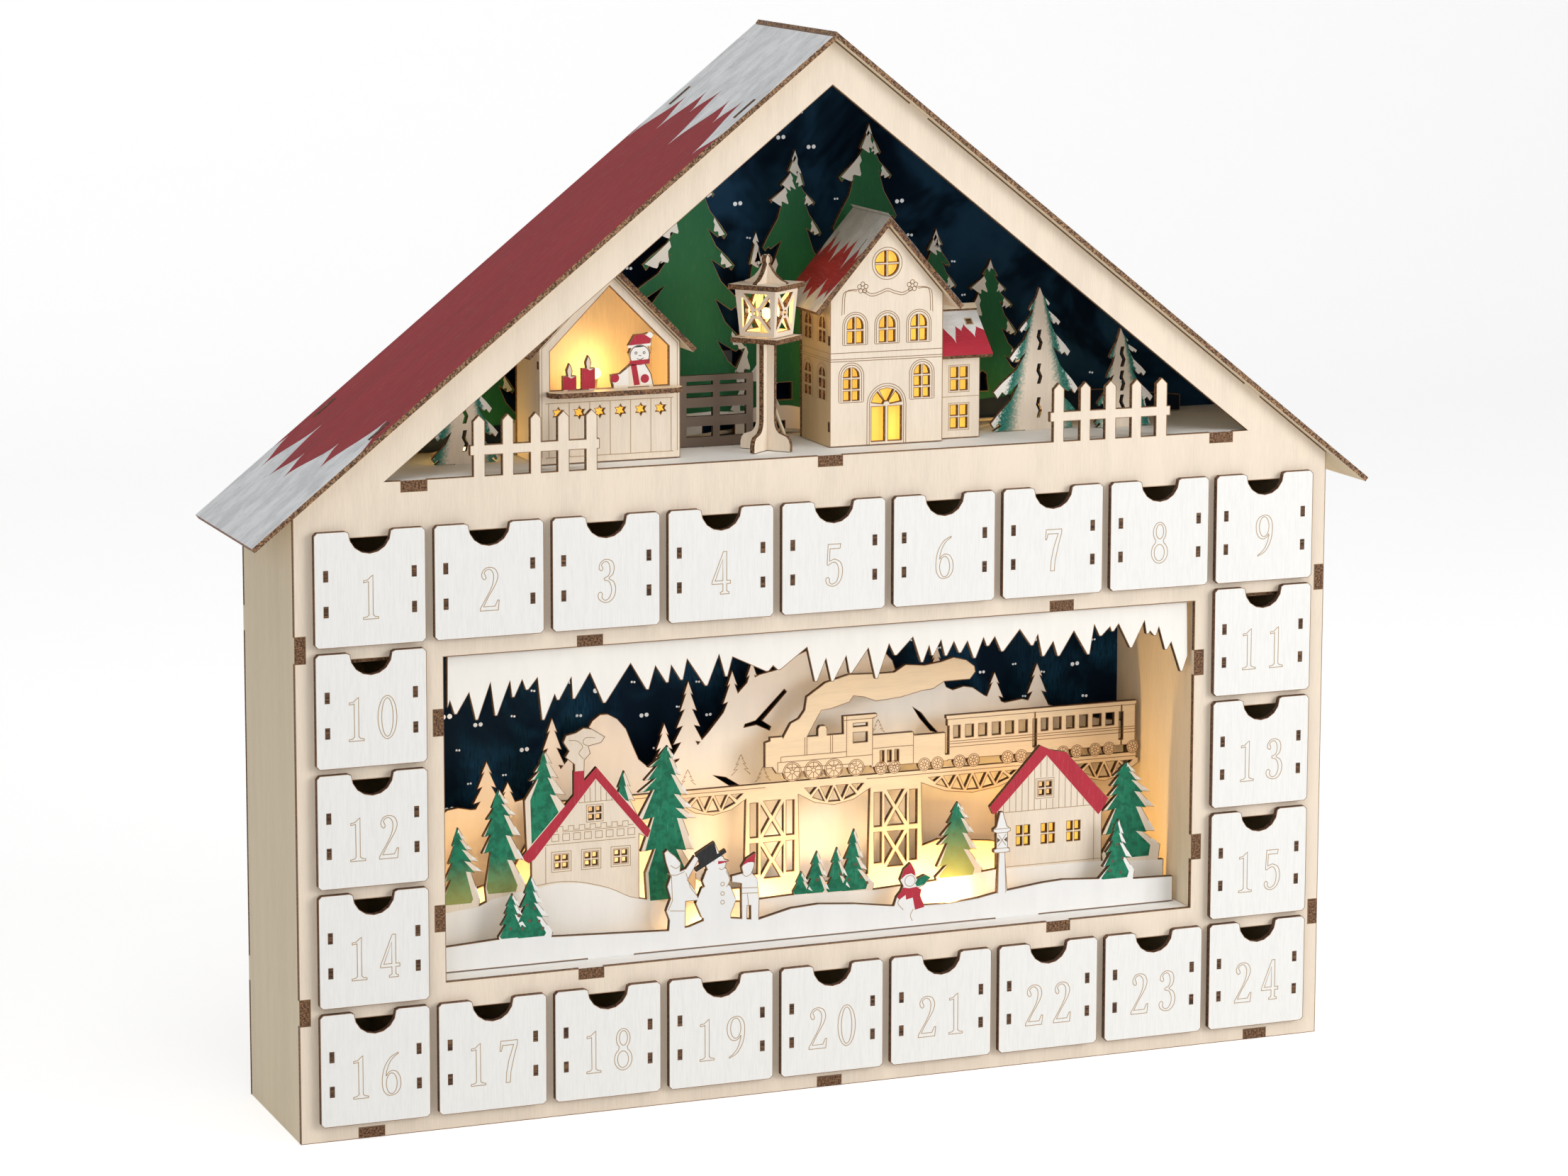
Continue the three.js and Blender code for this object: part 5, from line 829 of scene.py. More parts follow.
def cut_by(points, start, end):
    """The part of an outline to the left of the line from start to end."""
    (u0, v0), (u1, v1) = start, end
    left = [(u1 - u0) * (v - v0) - (v1 - v0) * (u - u0) for u, v in points]
    kept = []
    for index, (u, v) in enumerate(points):
        if left[index] * left[index - 1] < 0:
            share = left[index] / (left[index] - left[index - 1])
            before = points[index - 1]
            kept.append((u + (before[0] - u) * share, v + (before[1] - v) * share))
        if left[index] >= 0:
            kept.append((u, v))
    return kept


def joined(*parts):
    return np.concatenate([np.asarray(part, float) for part in parts])


burnt_line = plain_finish("burnt_line", ENGRAVED, 0.7)
dark_line = plain_finish("dark_line", (0.13, 0.07, 0.04), 0.7)
scorched = plain_finish("scorched", (0.30, 0.165, 0.075), 0.7)


def paint_finish(name, colour, wear=0.12):
    finish = Finish(name)
    coat, dashes = painted_wood(finish, colour, Z, wear=wear)
    return finish.done(coat, bump=dashes)


def end_grain_finish():
    """Ends of tabs: dark brown plies with paler streaks between them."""
    finish = Finish("end_grain")
    plies = noise(finish.place, (0.12, 1.0, 1.1), 4, 0.7)
    return finish.done(mixed((0.035, 0.016, 0.009), (0.22, 0.11, 0.05), ramp(plies, 0.40, 0.66)), 0.7)


def scene_green_finish():
    """Mottled green, with an olive glow painted on the feet of the firs where the lamps behind the hill would
    shine: painted lamp light.
    """
    finish = Finish("scene_green")
    x, y, z = finish.place
    coat, dashes = painted_wood(finish, SCENE_GREEN, Z, wear=0.22)
    mottle = noise(finish.place, (0.35, 0.35, 0.35), 4, 0.6)
    coat = mixed(tinted(SCENE_GREEN, 0.62), coat, ramp(mottle, 0.36, 0.60))
    # Painted lamp light: olive on the feet of the firs near the lamps behind the hill
    lit = x.within(-170, -118).either(x.within(50, 80)) * ramp(z * -1, -104, -80) * y.over(HILL_FRONT - 1)
    return finish.done(mixed(coat, (0.46, 0.42, 0.10), lit * 0.75), bump=dashes)


bright_red = paint_finish("bright_red", BRIGHT_RED, wear=0.16)
figure_white = paint_finish("figure_white", (0.90, 0.86, 0.80), wear=0.05)
hat_black = paint_finish("hat_black", HAT_BLACK)
scene_green = scene_green_finish()
snow_dab = paint_finish("snow_dab", (0.88, 0.87, 0.83), wear=0.05)
end_grain = end_grain_finish()
# Painted glow for the films behind the windows
window_glow = glowing("window_glow", WINDOW_YELLOW, 0.95)

# The numbers: strokes of engraved outlines in a box 8 wide and 17 high

DIGIT_WIDTH = 8.0
DIGIT_PITCH = 12.6
DIGIT_HEIGHT = 17.0
NUMBER_DROP = 3.6

SIX = smooth([(6.8, 17), (3.6, 15.2), (1.2, 11.4), (0.3, 7), (0.5, 3), (2, 0.5), (4.1, 0), (6.4, 0.9),
              (7.7, 3.4), (7.6, 6.8), (6.3, 9.2), (4.4, 9.9), (2.8, 9.2), (1.9, 8), (2.3, 10.5), (3.6, 13.6),
              (5.4, 15.6), (6.8, 16.5), (6.8, 17)])
SIX_EYE = arc(4.1, 4.8, 2.2, squash=1.9)
DIGITS = {
    "0": [arc(4, 8.5, 3.8, squash=2.24), arc(4, 8.5, 2.3, squash=3.3)],
    "1": [[(1.4, 14.3), (3.3, 14.6), (3.4, 1.6), (2.6, 0.9), (1.2, 0.7), (1.2, 0), (7.2, 0), (7.2, 0.7),
           (5.9, 0.9), (5.1, 1.6), (5.1, 17), (4.4, 16.6), (3, 15.3), (1.4, 15.1), (1.4, 14.3)]],
    "2": [joined(smooth([(1.0, 13.0), (0.9, 14.6), (2.0, 16.4), (4.0, 17), (6.3, 16.2), (7.4, 13.8),
                         (6.9, 11.2), (5.4, 8.4), (3.4, 5.2), (1.5, 1.6)]),
                 [(6.2, 1.6), (7.3, 3.9), (7.9, 3.9), (7.5, 0), (0.2, 0), (0.2, 0.9)],
                 smooth([(1.8, 3.6), (3.9, 7.2), (5.3, 10.4), (5.7, 13.4), (5.2, 15.2), (4.0, 16.2),
                         (2.7, 15.9), (1.9, 14.9), (2.3, 13.9), (2.6, 12.9), (1.9, 12.2), (1.0, 13.0)]))],
    "3": [smooth([(0.9, 13.4), (1.2, 15.2), (2.6, 16.7), (4.4, 17), (6.5, 16), (7.2, 13.6), (6.6, 11),
                  (5.0, 9.4), (6.9, 8.1), (7.8, 5.4), (7.2, 2.2), (5.2, 0.2), (2.8, 0.1), (0.9, 1.4),
                  (0.5, 3.2), (1.4, 4.2), (2.3, 3.4), (2.1, 2.1), (3.2, 0.9), (4.7, 1.3), (5.9, 3.4),
                  (6.0, 6), (5.0, 8.2), (3.2, 8.9), (3.2, 9.7), (4.8, 10.5), (5.5, 12.6), (5.1, 15.1),
                  (4.0, 16.2), (2.7, 15.8), (2.0, 14.8), (2.5, 13.5), (1.9, 12.6), (0.9, 13.4)])],
    "4": [[(4.9, 17), (6.3, 17), (6.3, 5.4), (7.9, 5.4), (7.9, 4.1), (6.3, 4.1), (6.3, 1.2), (7.3, 0.7),
           (7.3, 0), (3.6, 0), (3.6, 0.7), (4.7, 1.2), (4.7, 4.1), (0.1, 4.1), (0.1, 5.0), (4.9, 17)],
          [(4.7, 5.4), (1.4, 5.4), (4.7, 14), (4.7, 5.4)]],
    "5": [joined([(1.5, 17), (6.9, 17), (6.6, 15.2), (2.3, 15.2), (2.1, 10.2)],
                 smooth([(4.2, 11), (6.6, 9.8), (7.7, 7), (7.4, 3.6), (5.9, 1), (3.6, 0), (1.3, 0.8),
                         (0.5, 2.6), (1.2, 3.7), (2.1, 3.1), (2.2, 1.6), (3.4, 0.9), (5.2, 2), (6, 4.6),
                         (5.9, 7.6), (4.8, 9.5), (3.3, 9.6), (1.6, 8.6), (1.1, 8.8)]), [(1.5, 17)])],
    "6": [SIX, SIX_EYE],
    "7": [[(0.6, 12.9), (1.1, 12.9), (1.7, 15.2), (6.2, 15.2), (4.2, 9), (3.2, 4), (3, 0), (4.7, 0), (5, 4.2),
           (6.2, 9.6), (7.8, 15.6), (7.8, 17), (0.9, 17), (0.6, 12.9)]],
    "8": [joined(arc(4, 12.9, 2.9, -55, 235, 16, 1.41), arc(4, 4.5, 3.7, 122, 418, 20, 1.22), [(5.66, 9.55)]),
          arc(4.1, 13.1, 1.7, squash=1.76), arc(3.9, 4.4, 2.3, squash=1.48)],
    "9": [(DIGIT_WIDTH, DIGIT_HEIGHT) - SIX, (DIGIT_WIDTH, DIGIT_HEIGHT) - SIX_EYE],
}


def drawer_spots():
    """Middle and top edge of each drawer's face: nine on top, three pairs at the sides, nine below."""
    spots = [((column - 4) * COLUMN_PITCH, 0) for column in range(9)]
    spots += [(side * 4 * COLUMN_PITCH, row) for row in (1, 2, 3) for side in (-1, 1)]
    spots += [((column - 4) * COLUMN_PITCH, 4) for column in range(9)]
    return [(x, TOP_ROW_TOP - row * ROW_PITCH) for x, row in spots]


def number_marks():
    """Engraved numbers and the ends of the trays' tenons on the 24 drawer faces."""
    for number, (x, top) in enumerate(drawer_spots(), 1):
        body = f"drawer_{number:02d}"
        middle = top - FACE_HEIGHT / 2 - NUMBER_DROP - DIGIT_HEIGHT / 2
        face = Face((x, FACE_FRONT, middle))
        text = str(number)
        strokes = []
        for index, digit in enumerate(text):
            shift = (index - (len(text) - 1) / 2) * DIGIT_PITCH - DIGIT_WIDTH / 2
            strokes += [np.asarray(stroke, float) + (shift, 0) for stroke in DIGITS[digit]]
        engraved(f"number_{number:02d}", face, strokes, body, width=0.30)
        face = Face((x, FACE_FRONT, top))
        tenons = [box(centre - TENON_HALF_WIDTH, -low, centre + TENON_HALF_WIDTH, -high)
                  for centre in (-TENON_OUT, TENON_OUT) for low, high in TENON_SPANS]
        painted(f"tenon_ends_{number:02d}", face, tenons, end_grain, "dark_ply", body)
        rims = [frame_line(left, low, right, high) for (left, low), _, (right, high), _ in tenons]
        engraved(f"tenon_rims_{number:02d}", face, rims, body, 0.24, dark_line, PAINT * 1.5)
        burnt_rim(f"drawer_rim_{number:02d}", body, FACE_FRONT, body, DRAWER_RIM_WIDTH)


# Snow on the roofs

def fringe(points, steps=7):
    """A border that swings between the points: even steps along u, smooth steps along v, so tips are slim."""
    points = np.asarray(points, float)
    t = np.linspace(0, 1, steps, endpoint=False)
    swing = 3 * t ** 2 - 2 * t ** 3
    start, step = points[:-1], np.diff(points, axis=0)
    u = start[:, :1] + step[:, :1] * t
    v = start[:, 1:] + step[:, 1:] * swing
    return np.concatenate([np.stack([u.ravel(), v.ravel()], 1), points[-1:]])


def roof_snow_finish(name, colour, side_place, contrast=0.42):
    """White paint over open grain: short dark dashes down the slope."""
    finish = Finish(name)
    place = side_place(finish)
    dashes = grained(place, X, 2.3, 0.22)
    clouds = grained(place, X, 0.12, 0.05)
    coat = mixed(tinted(colour, 0.88), tinted(colour, 1.12), ramp(clouds, 0.35, 0.65))
    return finish.done(mixed(coat, tinted(colour, contrast), ramp(dashes, 0.56, 0.72)), bump=dashes)


RIDGE_SNOW = [(47, ROOF_BACK), (57.3, 77.4), (35.8, 66.1), (51.8, 59.5), (32.4, 52.0), (42.5, 46.3),
              (30.7, 39.5), (56.9, 32.6), (34.3, 22.1), (44.8, 14.9), (33.1, 9.5), (58.2, 1.9),
              (48, ROOF_FRONT)]
EAVE_SNOW = [(208.1, ROOF_BACK), (201.6, 76.3), (214.9, 69.3), (193.2, 57.5), (216.8, 52.7), (204.1, 43.9),
             (214.6, 38.5), (196.2, 23.5), (206.7, 16.3), (182.5, 4.2), (197, ROOF_FRONT)]


def slope_face(side, x, apex, pitch, thickness):
    """The top of a gable roof on one side; u runs level from the ridge, v along it."""
    lift = (SEAT + thickness) / math.cos(pitch)
    return Face((x, 0, apex + lift), (side, 0, -math.tan(pitch)), (0, 1, 0), (0, 0, 1))


def snow_bands(ridge, eave, start, end, back, front):
    """Snow along the ridge and along the eave, each with a fringed border."""
    return [joined([(u, back)], fringe(border), [(u, front)]) for u, border in ((start, ridge), (end, eave))]


def main_roof_snow():
    for side, mark, start in ((-1, "left", 1.95), (1, "right", -0.3)):
        face = slope_face(side, 0, APEX_HEIGHT, ROOF_PITCH, SHEET)
        white = roof_snow_finish(f"roof_snow_{mark}", ROOF_SNOW, slope_place(side))
        shapes = snow_bands(RIDGE_SNOW, EAVE_SNOW, start, ROOF_HALF_SPAN - 0.1, ROOF_BACK, ROOF_FRONT)
        painted(f"roof_snow_{mark}", face, shapes, white, "snow_paint")
        slots = [box(low - 0.3, y - 0.2, high + 0.3, y + SHEET + 0.2)
                 for low, high in ROOF_TABS for y in (0, BACK_PANEL_FRONT)]
        marks(f"roof_tab_ends_{mark}", face, slots, end_grain)


HOUSE_RIDGE_SNOW = [(12, 52.5), (16.5, 50.5), (8.5, 47), (15, 43.5), (9.5, 40.5), (17.5, 36.5), (9, 32.5),
                    (14, 29.5), (8, 26), (18.5, 22), (10, 18.5), (15, 15.5), (12, 13.5)]
HOUSE_EAVE_SNOW = [(27, 52.5), (25, 50), (30.5, 46), (23, 41.5), (29, 37.5), (25.5, 34), (30.5, 30.5),
                   (22, 26), (29.5, 22), (24.5, 18.5), (28.5, 16), (20.5, 13.5)]


def small_roof_snow():
    white = roof_snow_finish("small_roof_snow", (0.55, 0.53, 0.49), lambda finish: [
        finish.place[Z], finish.place[Y], finish.place[X]], 0.5)
    for side, mark in ((-1, "left"), (1, "right")):
        face = slope_face(side, HOUSE_X, HOUSE_APEX, HOUSE_PITCH, HOUSE_ROOF_THICKNESS)
        start = 0.1 if side < 0 else -1.2
        shapes = snow_bands(HOUSE_RIDGE_SNOW, HOUSE_EAVE_SNOW, start, HOUSE_ROOF_HALF_SPAN,
                            HOUSE_ROOF_BACK, HOUSE_ROOF_FRONT)
        painted(f"house_roof_snow_{mark}", face, shapes, white, "snow_paint")
        # Painted shade: dark strips for the narrow slits in the house roof
        slits = [box(s, y, s + 3.4, y + 0.5) for s in (8, 15.5, 23) for y in (18.3, 47.5)]
        marks(f"house_roof_slits_{mark}", face, slits, dark_line)
    up = (0, math.cos(ANNEX_PITCH), math.sin(ANNEX_PITCH))
    out = np.array([0, -math.sin(ANNEX_PITCH), math.cos(ANNEX_PITCH)])
    origin = np.array([0, ANNEX_FRONT, ANNEX_EAVE + SEAT / math.cos(ANNEX_PITCH)]) + out * SHEET
    face = Face(origin, (1, 0, 0), up, out)
    drips = [(10.5, 55.7), (7.5, 58), (12.8, 60), (2.4, 63.8), (11.8, 66), (8.5, 68), (12.6, 70), (5, 73),
             (11, 75), (8.5, 78)]
    border = fringe(drips)[:, ::-1]
    painted("annex_roof_snow", face, [joined([(55.75, 19.2)], border, [(78.05, 19.2)])],
            roof_snow_finish("annex_roof_snow", (0.80, 0.80, 0.78), lambda finish: finish.place, 0.8),
            "snow_paint")
    marks("annex_roof_mark", face, [box(71.6, 12.2, 74, 14.8)], end_grain)
    engraved("annex_roof_mark_rim", face, [frame_line(71.4, 12, 74.2, 15)], width=0.5, high=PAINT * 3)


# Firs: the source's formula for notched branches, for the paint that lies on them

def branch_ends(ends, tip, notch=0.5):
    """Each branch as (where it leaves the notch above, its end)."""
    start = tip
    pairs = []
    for x, z in ends:
        pairs.append((start, (x, z)))
        start = (tip[0] + (x - tip[0]) * notch, z + 0.8)
    return pairs


def fir_outline(tip, left, right, foot):
    def side(ends):
        points = []
        for (x, z) in ends:
            points += [(x, z), (tip[0] + (x - tip[0]) * 0.5, z + 0.8)]
        return points[:-1]
    return [tip, *side(right), (right[-1][0] - 1, foot), (left[-1][0] + 1, foot), *side(left)[::-1]]


def narrowed(points, x0, share, shift=0.0):
    """The outline drawn towards the trunk, so that a pale rim stays along its flanks."""
    return [(x0 + (x - x0) * share + shift, z) for x, z in points]


HILL_FIRS = [
    ((-149.8, 115.3), [(-152.3, 108), (-154.2, 101), (-156, 94), (-157.2, 86)],
     [(-146.6, 110), (-144.1, 105.8), (-141.6, 101), (-139.9, 96.7), (-141, 86)], 84.5),
    ((-132.7, 129.3), [(-136, 122), (-138.3, 117.5), (-139.8, 110.8), (-140.3, 104), (-139, 90)],
     [(-128.6, 123), (-125.8, 118.3), (-124, 110), (-122.6, 100), (-122, 90)], 87.5),
    ((-113.4, 143.3), [(-116, 139), (-118.4, 135), (-120.3, 131.7), (-122.4, 124)],
     [(-110.6, 138), (-108, 132), (-105, 125), (-102.4, 117)], 100),
    ((-80.2, 132.7), [(-83, 126), (-85, 120)], [(-77.6, 126), (-75.6, 120), (-74, 113)], 100),
    ((-61.6, 141.5), [(-66, 137), (-70.3, 133.3), (-72, 128), (-74.5, 123.3), (-75, 112), (-73.4, 99),
                      (-71.6, 90)],
     [(-58.4, 136), (-56, 129), (-52.8, 120.8), (-51, 115), (-49.5, 110.8), (-50.4, 98), (-49.6, 88)], 78.5),
    ((-3.5, 84.6), [(-6, 80), (-7.5, 76.5)], [(-1, 80), (1, 76)], 75.3),
    ((3.3, 92.5), [(0.6, 87), (-1.4, 81), (-2.6, 76)], [(5.6, 87), (7.4, 81.6), (8.4, 76)], 75.2),
    ((12.1, 93.3), [(9.6, 87), (8, 81), (6.6, 76)], [(14.6, 87), (16.4, 81), (17.6, 76)], 75),
    ((19.6, 100.3), [(17, 94), (15, 88), (13.6, 81), (12.6, 76)],
     [(22, 94), (23.4, 88), (25, 82.8), (28.3, 77)], 74.8),
    ((65.6, 107.8), [(62.6, 103.4), (60.7, 99.1), (57.6, 94), (56.3, 90.3), (56, 81.2), (55.5, 77)],
     [(68.4, 104), (70.8, 100.3), (73, 94), (74.6, 87), (76.7, 79.1)], 76.5),
    ((142.7, 118.3), [(138.8, 115.4), (135.8, 112.8), (134.6, 108.6), (133.8, 104.5), (131.3, 98.3),
                      (131, 88), (131, 80)],
     [(146.4, 113.8), (149.6, 109.9), (153.3, 104.9), (155.4, 98.3), (155.8, 87.8), (158.3, 82)], 77.5),
]
BANK_FIRS = [
    ((-130.3, 89), [(-133, 84), (-133.9, 81), (-135.5, 76.5), (-136.6, 72)],
     [(-127.5, 84), (-126.5, 80), (-125, 75)], 71.2),
    ((-122.4, 95.5), [(-125.6, 88.6), (-127.5, 83), (-129, 77), (-130, 72)],
     [(-119.3, 88.6), (-118.2, 84), (-115.3, 78.3), (-113.7, 72)], 70.8),
    ((134.6, 96.5), [(132.2, 91.9), (130.6, 87.3), (128.6, 82.8), (127.3, 76.9), (125.4, 72)],
     [(136.7, 90.3), (137.9, 86.1), (140.8, 79.8), (142.1, 74)], 71.6),
]


CHALET_SLOPES = {-113.4: ((-124.1, 101.2), (-101.6, 125.0)), -80.2: ((-92.0, 135.7), (-69.1, 107.9))}


def snow_tips(tip, right, reach=0.55):
    """Small dabs of snow at the ends of the branches on the right, and one on the tip."""
    dabs = [[tip, (tip[0] + 0.5, tip[1] - 2.2), (tip[0], tip[1] - 1.5), (tip[0] - 0.5, tip[1] - 2.2)]]
    for (x0, z0), (x, z) in branch_ends(right, tip):
        far = (x0 + (x - x0) * reach, z0 + (z - z0) * reach)
        dabs.append([(x, z), far, (far[0] - 0.5, far[1] - 1.1), (x - 0.9, z + 0.5)])
    return dabs


def scene_firs():
    for name, firs, depth in (("hill_fir_paint", HILL_FIRS, HILL_FRONT),
                              ("bank_fir_paint", BANK_FIRS, BANK_FRONT)):
        for number, fir in enumerate(firs):
            x = fir[0][0]
            flat = narrowed(fir_outline(*fir), x, 0.62 if x in CHALET_SLOPES else 0.76, -0.9)
            if x in CHALET_SLOPES:
                flat = cut_by(flat, *CHALET_SLOPES[x])
            height = PAINT * (1 + 0.4 * (number % 2))
            painted(f"{name}_{number}", front_of(depth), [flat], scene_green, "green_paint", high=height)
    dabs = [dab for fir in HILL_FIRS if fir[0][0] not in CHALET_SLOPES for dab in snow_tips(fir[0], fir[2])]
    painted("hill_fir_snow", front_of(HILL_FRONT), dabs, snow_dab, "snow_paint", high=PAINT * 2)
    dabs = [dab for fir in BANK_FIRS for dab in snow_tips(fir[0], fir[2])]
    # Painted shade: dark discs for the small holes in the bank's firs
    holes = [disc(x, z, 0.65, 8) for x, z in (
        (-128, 80), (-124.6, 84), (-121.5, 82.5), (-119.6, 77), (-123.5, 77.5), (-118, 74), (-126.5, 74.5),
        (-131.5, 75), (134, 86), (136.4, 80), (132, 79), (135.6, 74), (130.6, 75))]
    painted("bank_fir_snow", front_of(BANK_FRONT), dabs, snow_dab, "snow_paint", high=PAINT * 2)
    marks("bank_fir_holes", front_of(BANK_FRONT), holes, dark_line)
    # Painted shade: dark discs for the small holes among the hill's small firs
    hole_shades = [disc(x, z, 0.7, 8) for x, z in ((13.4, 82), (17, 79.4), (20, 85.5), (22.5, 80), (3, 80.6),
                                              (25, 77.4))]
    marks("hill_fir_holes", front_of(HILL_FRONT), hole_shades, dark_line)


def even_ends(x, tip, foot, half, tiers):
    """Branch ends of the even fir: they widen with the power 0.85 of the share of height."""
    share = (np.arange(tiers) + 1) / tiers
    z = tip - (tip - foot) * (share - 0.12 / tiers)
    return [list(zip(x + side * half * share ** 0.85, z)) for side in (-1, 1)]


WOOD_FIRS = [
    ((-36, 372), [(-41, 363), (-47, 354), (-52, 343), (-58, 331), (-64, 318), (-70, 304), (-74, 288)],
     [(-31, 364), (-26.7, 358.3), (-21.3, 341.7), (-18, 329), (-14, 312), (-12, 295), (-10, 280)]),
    ((8.3, 375.4), [(5, 366.7), (1.7, 361.2), (-2.9, 355), (-5.8, 335.8), (-9, 318), (-12, 300), (-14, 282)],
     [(12.5, 360.8), (17.1, 353.3), (20, 340.8), (24, 322), (27, 304), (29, 284)]),
    ((40.8, 385), [(36.7, 375), (27.5, 363.3), (25, 342.5), (22, 325), (19, 305), (17, 285)],
     [(46, 373), (51, 363.3), (53.3, 346.7), (60.8, 333.3), (64, 315), (67, 298), (69, 282)]),
    ((71, 340.8), [(67, 332), (63, 322), (60, 308), (58, 290)],
     [(74, 334), (77.5, 325.4), (80.4, 316.7), (83, 303), (85, 288)]),
    ((95.7, 327.1), [(92, 321), (86.3, 315.4), (84, 303), (82, 290), (80, 278)],
     [(99, 320), (102.9, 314.2), (105.8, 307.5), (108, 296), (111, 284), (113, 276)]),
    *(((x, tip), *even_ends(x, tip, 268, half, tiers)) for x, tip, half, tiers in (
        (-152, 300, 11, 3), (-124, 321, 15, 4), (-92, 346, 22, 5), (-8.8, 342.5, 12, 5))),
]


def snow_patch(start, end, depth, reach):
    """Snow along the upper edge of a branch: its lower border swings in two scallops back to the trunk."""
    (x0, z0), (x1, z1) = start, end
    share = np.linspace(reach, 0.97, 15)
    top = np.stack([x0 + (x1 - x0) * share, z0 + (z1 - z0) * (share * 1.18 - 0.16 * share ** 2)], 1)
    inner = math.copysign(1.0, x0 - x1)
    along = (share - reach) / (0.97 - reach)
    sag = depth * np.sin(np.pi * along) ** 0.6 * (1 + 0.30 * np.cos(2 * np.pi * along * 2.5))
    top[:, 0] += inner * 0.7
    under = top + np.stack([inner * sag * 0.8, -sag], 1)
    return joined(top, under[-2:0:-1])


def wood_firs_snow():
    dabs = []
    for index, (tip, left, right) in enumerate(WOOD_FIRS):
        x, z = tip
        dabs.append([(x, z - 0.6), (x + 1.3, z - 4.5), (x + 0.3, z - 3.8), (x - 0.6, z - 5.4),
                     (x - 1.4, z - 4)])
        for ends, share, depth in ((left, 0.25, 3.8), (right, 0.55, 2.0)):
            for place, (start, end) in enumerate(branch_ends(ends, tip, 0.44)):
                if (place + index) % 5 != 4:
                    dabs.append(snow_patch(start, end, depth, share))
    painted("fir_wood_snow", front_of(BACKDROP_FRONT), dabs, snow_dab, "snow_paint")


# The scene behind the window

def window_lines(x, z, half_width, half_height, frame_gap=1.5):
    outer = frame_line(x - half_width - frame_gap, z - half_height - frame_gap,
                       x + half_width + frame_gap, z + half_height + frame_gap)
    inner = frame_line(x - half_width - 0.6, z - half_height - 0.6, x + half_width + 0.6,
                       z + half_height + 0.6)
    return [outer, inner]


HILL_GROUND = [(-159.6, 80.8), (-149.9, 81.9), (-142.4, 82.5), (-136.2, 85.2), (-124.1, 87.1), (-108.7, 89.2),
               (-98.7, 88.4), (-87, 85.2), (-78.7, 81.2), (-62, 77.3), (-54.5, 76.1), (-30, 74.4),
               (-7.8, 75.2), (27.9, 74.1), (50, 75.1), (61.7, 75.8), (82.1, 77.8), (131, 77.2),
               (141.7, 76.1), (159.6, 75.3)]


def chalet():
    face = front_of(HILL_FRONT)
    roof = [(-124.0, 100.7), (-101.5, 124.6), (-101.5, 134.2), (-97.3, 134.2), (-97.3, 130.0), (-92, 135.2),
            (-69.2, 107.5), (-70.3, 104.8), (-71.2, 105.2), (-92.4, 130.6), (-118.2, 100.0), (-120.4, 98.6)]
    painted("chalet_roof_paint", face, [roof], bright_red, "red_paint", high=PAINT * 1.7)
    lines = [[(-119.4, 99), (-119.4, 81)], [(-74.2, 106), (-74.2, 80)], [(-113.6, 104.4), (-113.6, 89.5)],
             [(-78.5, 110), (-106.5, 110)], [(-115.2, 105.2), (-75.6, 105.2)]]
    lines += [[(x, 121.3), (x, 130.0 - abs(x + 92.4) * 1.18)] for x in np.arange(-99.4, -85.4, 2.3)]
    lines += [[(-99.6, 121.3), (-85.2, 121.3)]]
    crenels = [(-110, 110.4)]
    for step in range(14):
        x = -108.6 + step * 2.3
        z = 112.3 if step % 2 == 0 else 110.6
        crenels += [(x, crenels[-1][1]), (x, z)]
    lines.append(crenels + [(-76.4, 110.6)])
    lines += [frame_line(x, 106.4, x + 2.9, 109.2) for x in np.arange(-111, -78, 4.6)]
    for x in (-107, -94.4, -81.9):
        lines += window_lines(x, 98, 2.6, 2.6)
    lines += window_lines(-92.8, 116.6, 2.6, 2.6, 0.9)[:1]
    lines.append(smooth([(-119.5, 88.8), (-108.7, 89.8), (-98.7, 88.8), (-87, 85.4), (-78.7, 81.3),
                         (-74, 79.9)]))
    engraved("chalet_lines", face, lines)
    smoke = [smooth([(-97.5, 139), (-99.4, 141.5), (-97.8, 144), (-100.2, 146.5), (-103.6, 147)]),
             smooth([(-95.3, 144), (-97.6, 145.4), (-96.5, 147.5), (-92.6, 147.2)])]
    engraved("chalet_smoke_lines", face, smoke)
    painted("hill_snow_paint", face, [[*HILL_GROUND, (159.6, 60), (-159.6, 60)]], figure_white, "snow_paint",
            high=PAINT * 0.5)


def hill_house():
    face = front_of(HILL_FRONT)
    roof = [(79.9, 104.5), (102.5, 128.6), (107.5, 126.2), (114.2, 124.8), (133.7, 103.7), (132.3, 100.8),
            (129.4, 97.2), (105.4, 124.3), (82.3, 101.3), (81.4, 101.4)]
    painted("house_roof_paint", face, [roof], bright_red, "red_paint", high=PAINT * 1.7)
    lines = []
    for x in np.arange(86.0, 126.0, 2.8):
        top = 124.0 - abs(x - 105.3) * (0.98 if x < 105.3 else 1.12)
        for low, high in ((101.5, 105.7), (115.1, top)) if 100.2 < x < 109.3 else ((101.5, top),):
            if high > low + 0.5:
                lines.append([(x, low), (x, high)])
    lines += [[(83.2, 101.5), (125.6, 101.5)], frame_line(100.6, 106.2, 108.9, 114.6),
              frame_line(101.4, 107, 108.1, 113.8), [(127.3, 99.5), (127.3, 78)], [(83.2, 78.4), (131, 78.4)]]
    engraved("hill_house_lines", face, lines)
    lit_film("hill_house_film", front_of(HILL_FRONT + SHEET + 0.3), box(88.6, 85.6, 124.4, 96.8))


def spoked_wheel(x, z, radius, spokes=8):
    """Rim lines, hub and spokes of a wheel."""
    lines = [arc(x, z, radius - 0.15, steps=20), arc(x, z, radius - 0.8, steps=20),
             arc(x, z, radius * 0.22, steps=8)]
    for angle in np.arange(spokes) * 2 * math.pi / spokes:
        cos, sin = math.cos(angle), math.sin(angle)
        lines.append([(x + cos * radius * 0.22, z + sin * radius * 0.22),
                      (x + cos * (radius - 0.8), z + sin * (radius - 0.8))])
    return lines


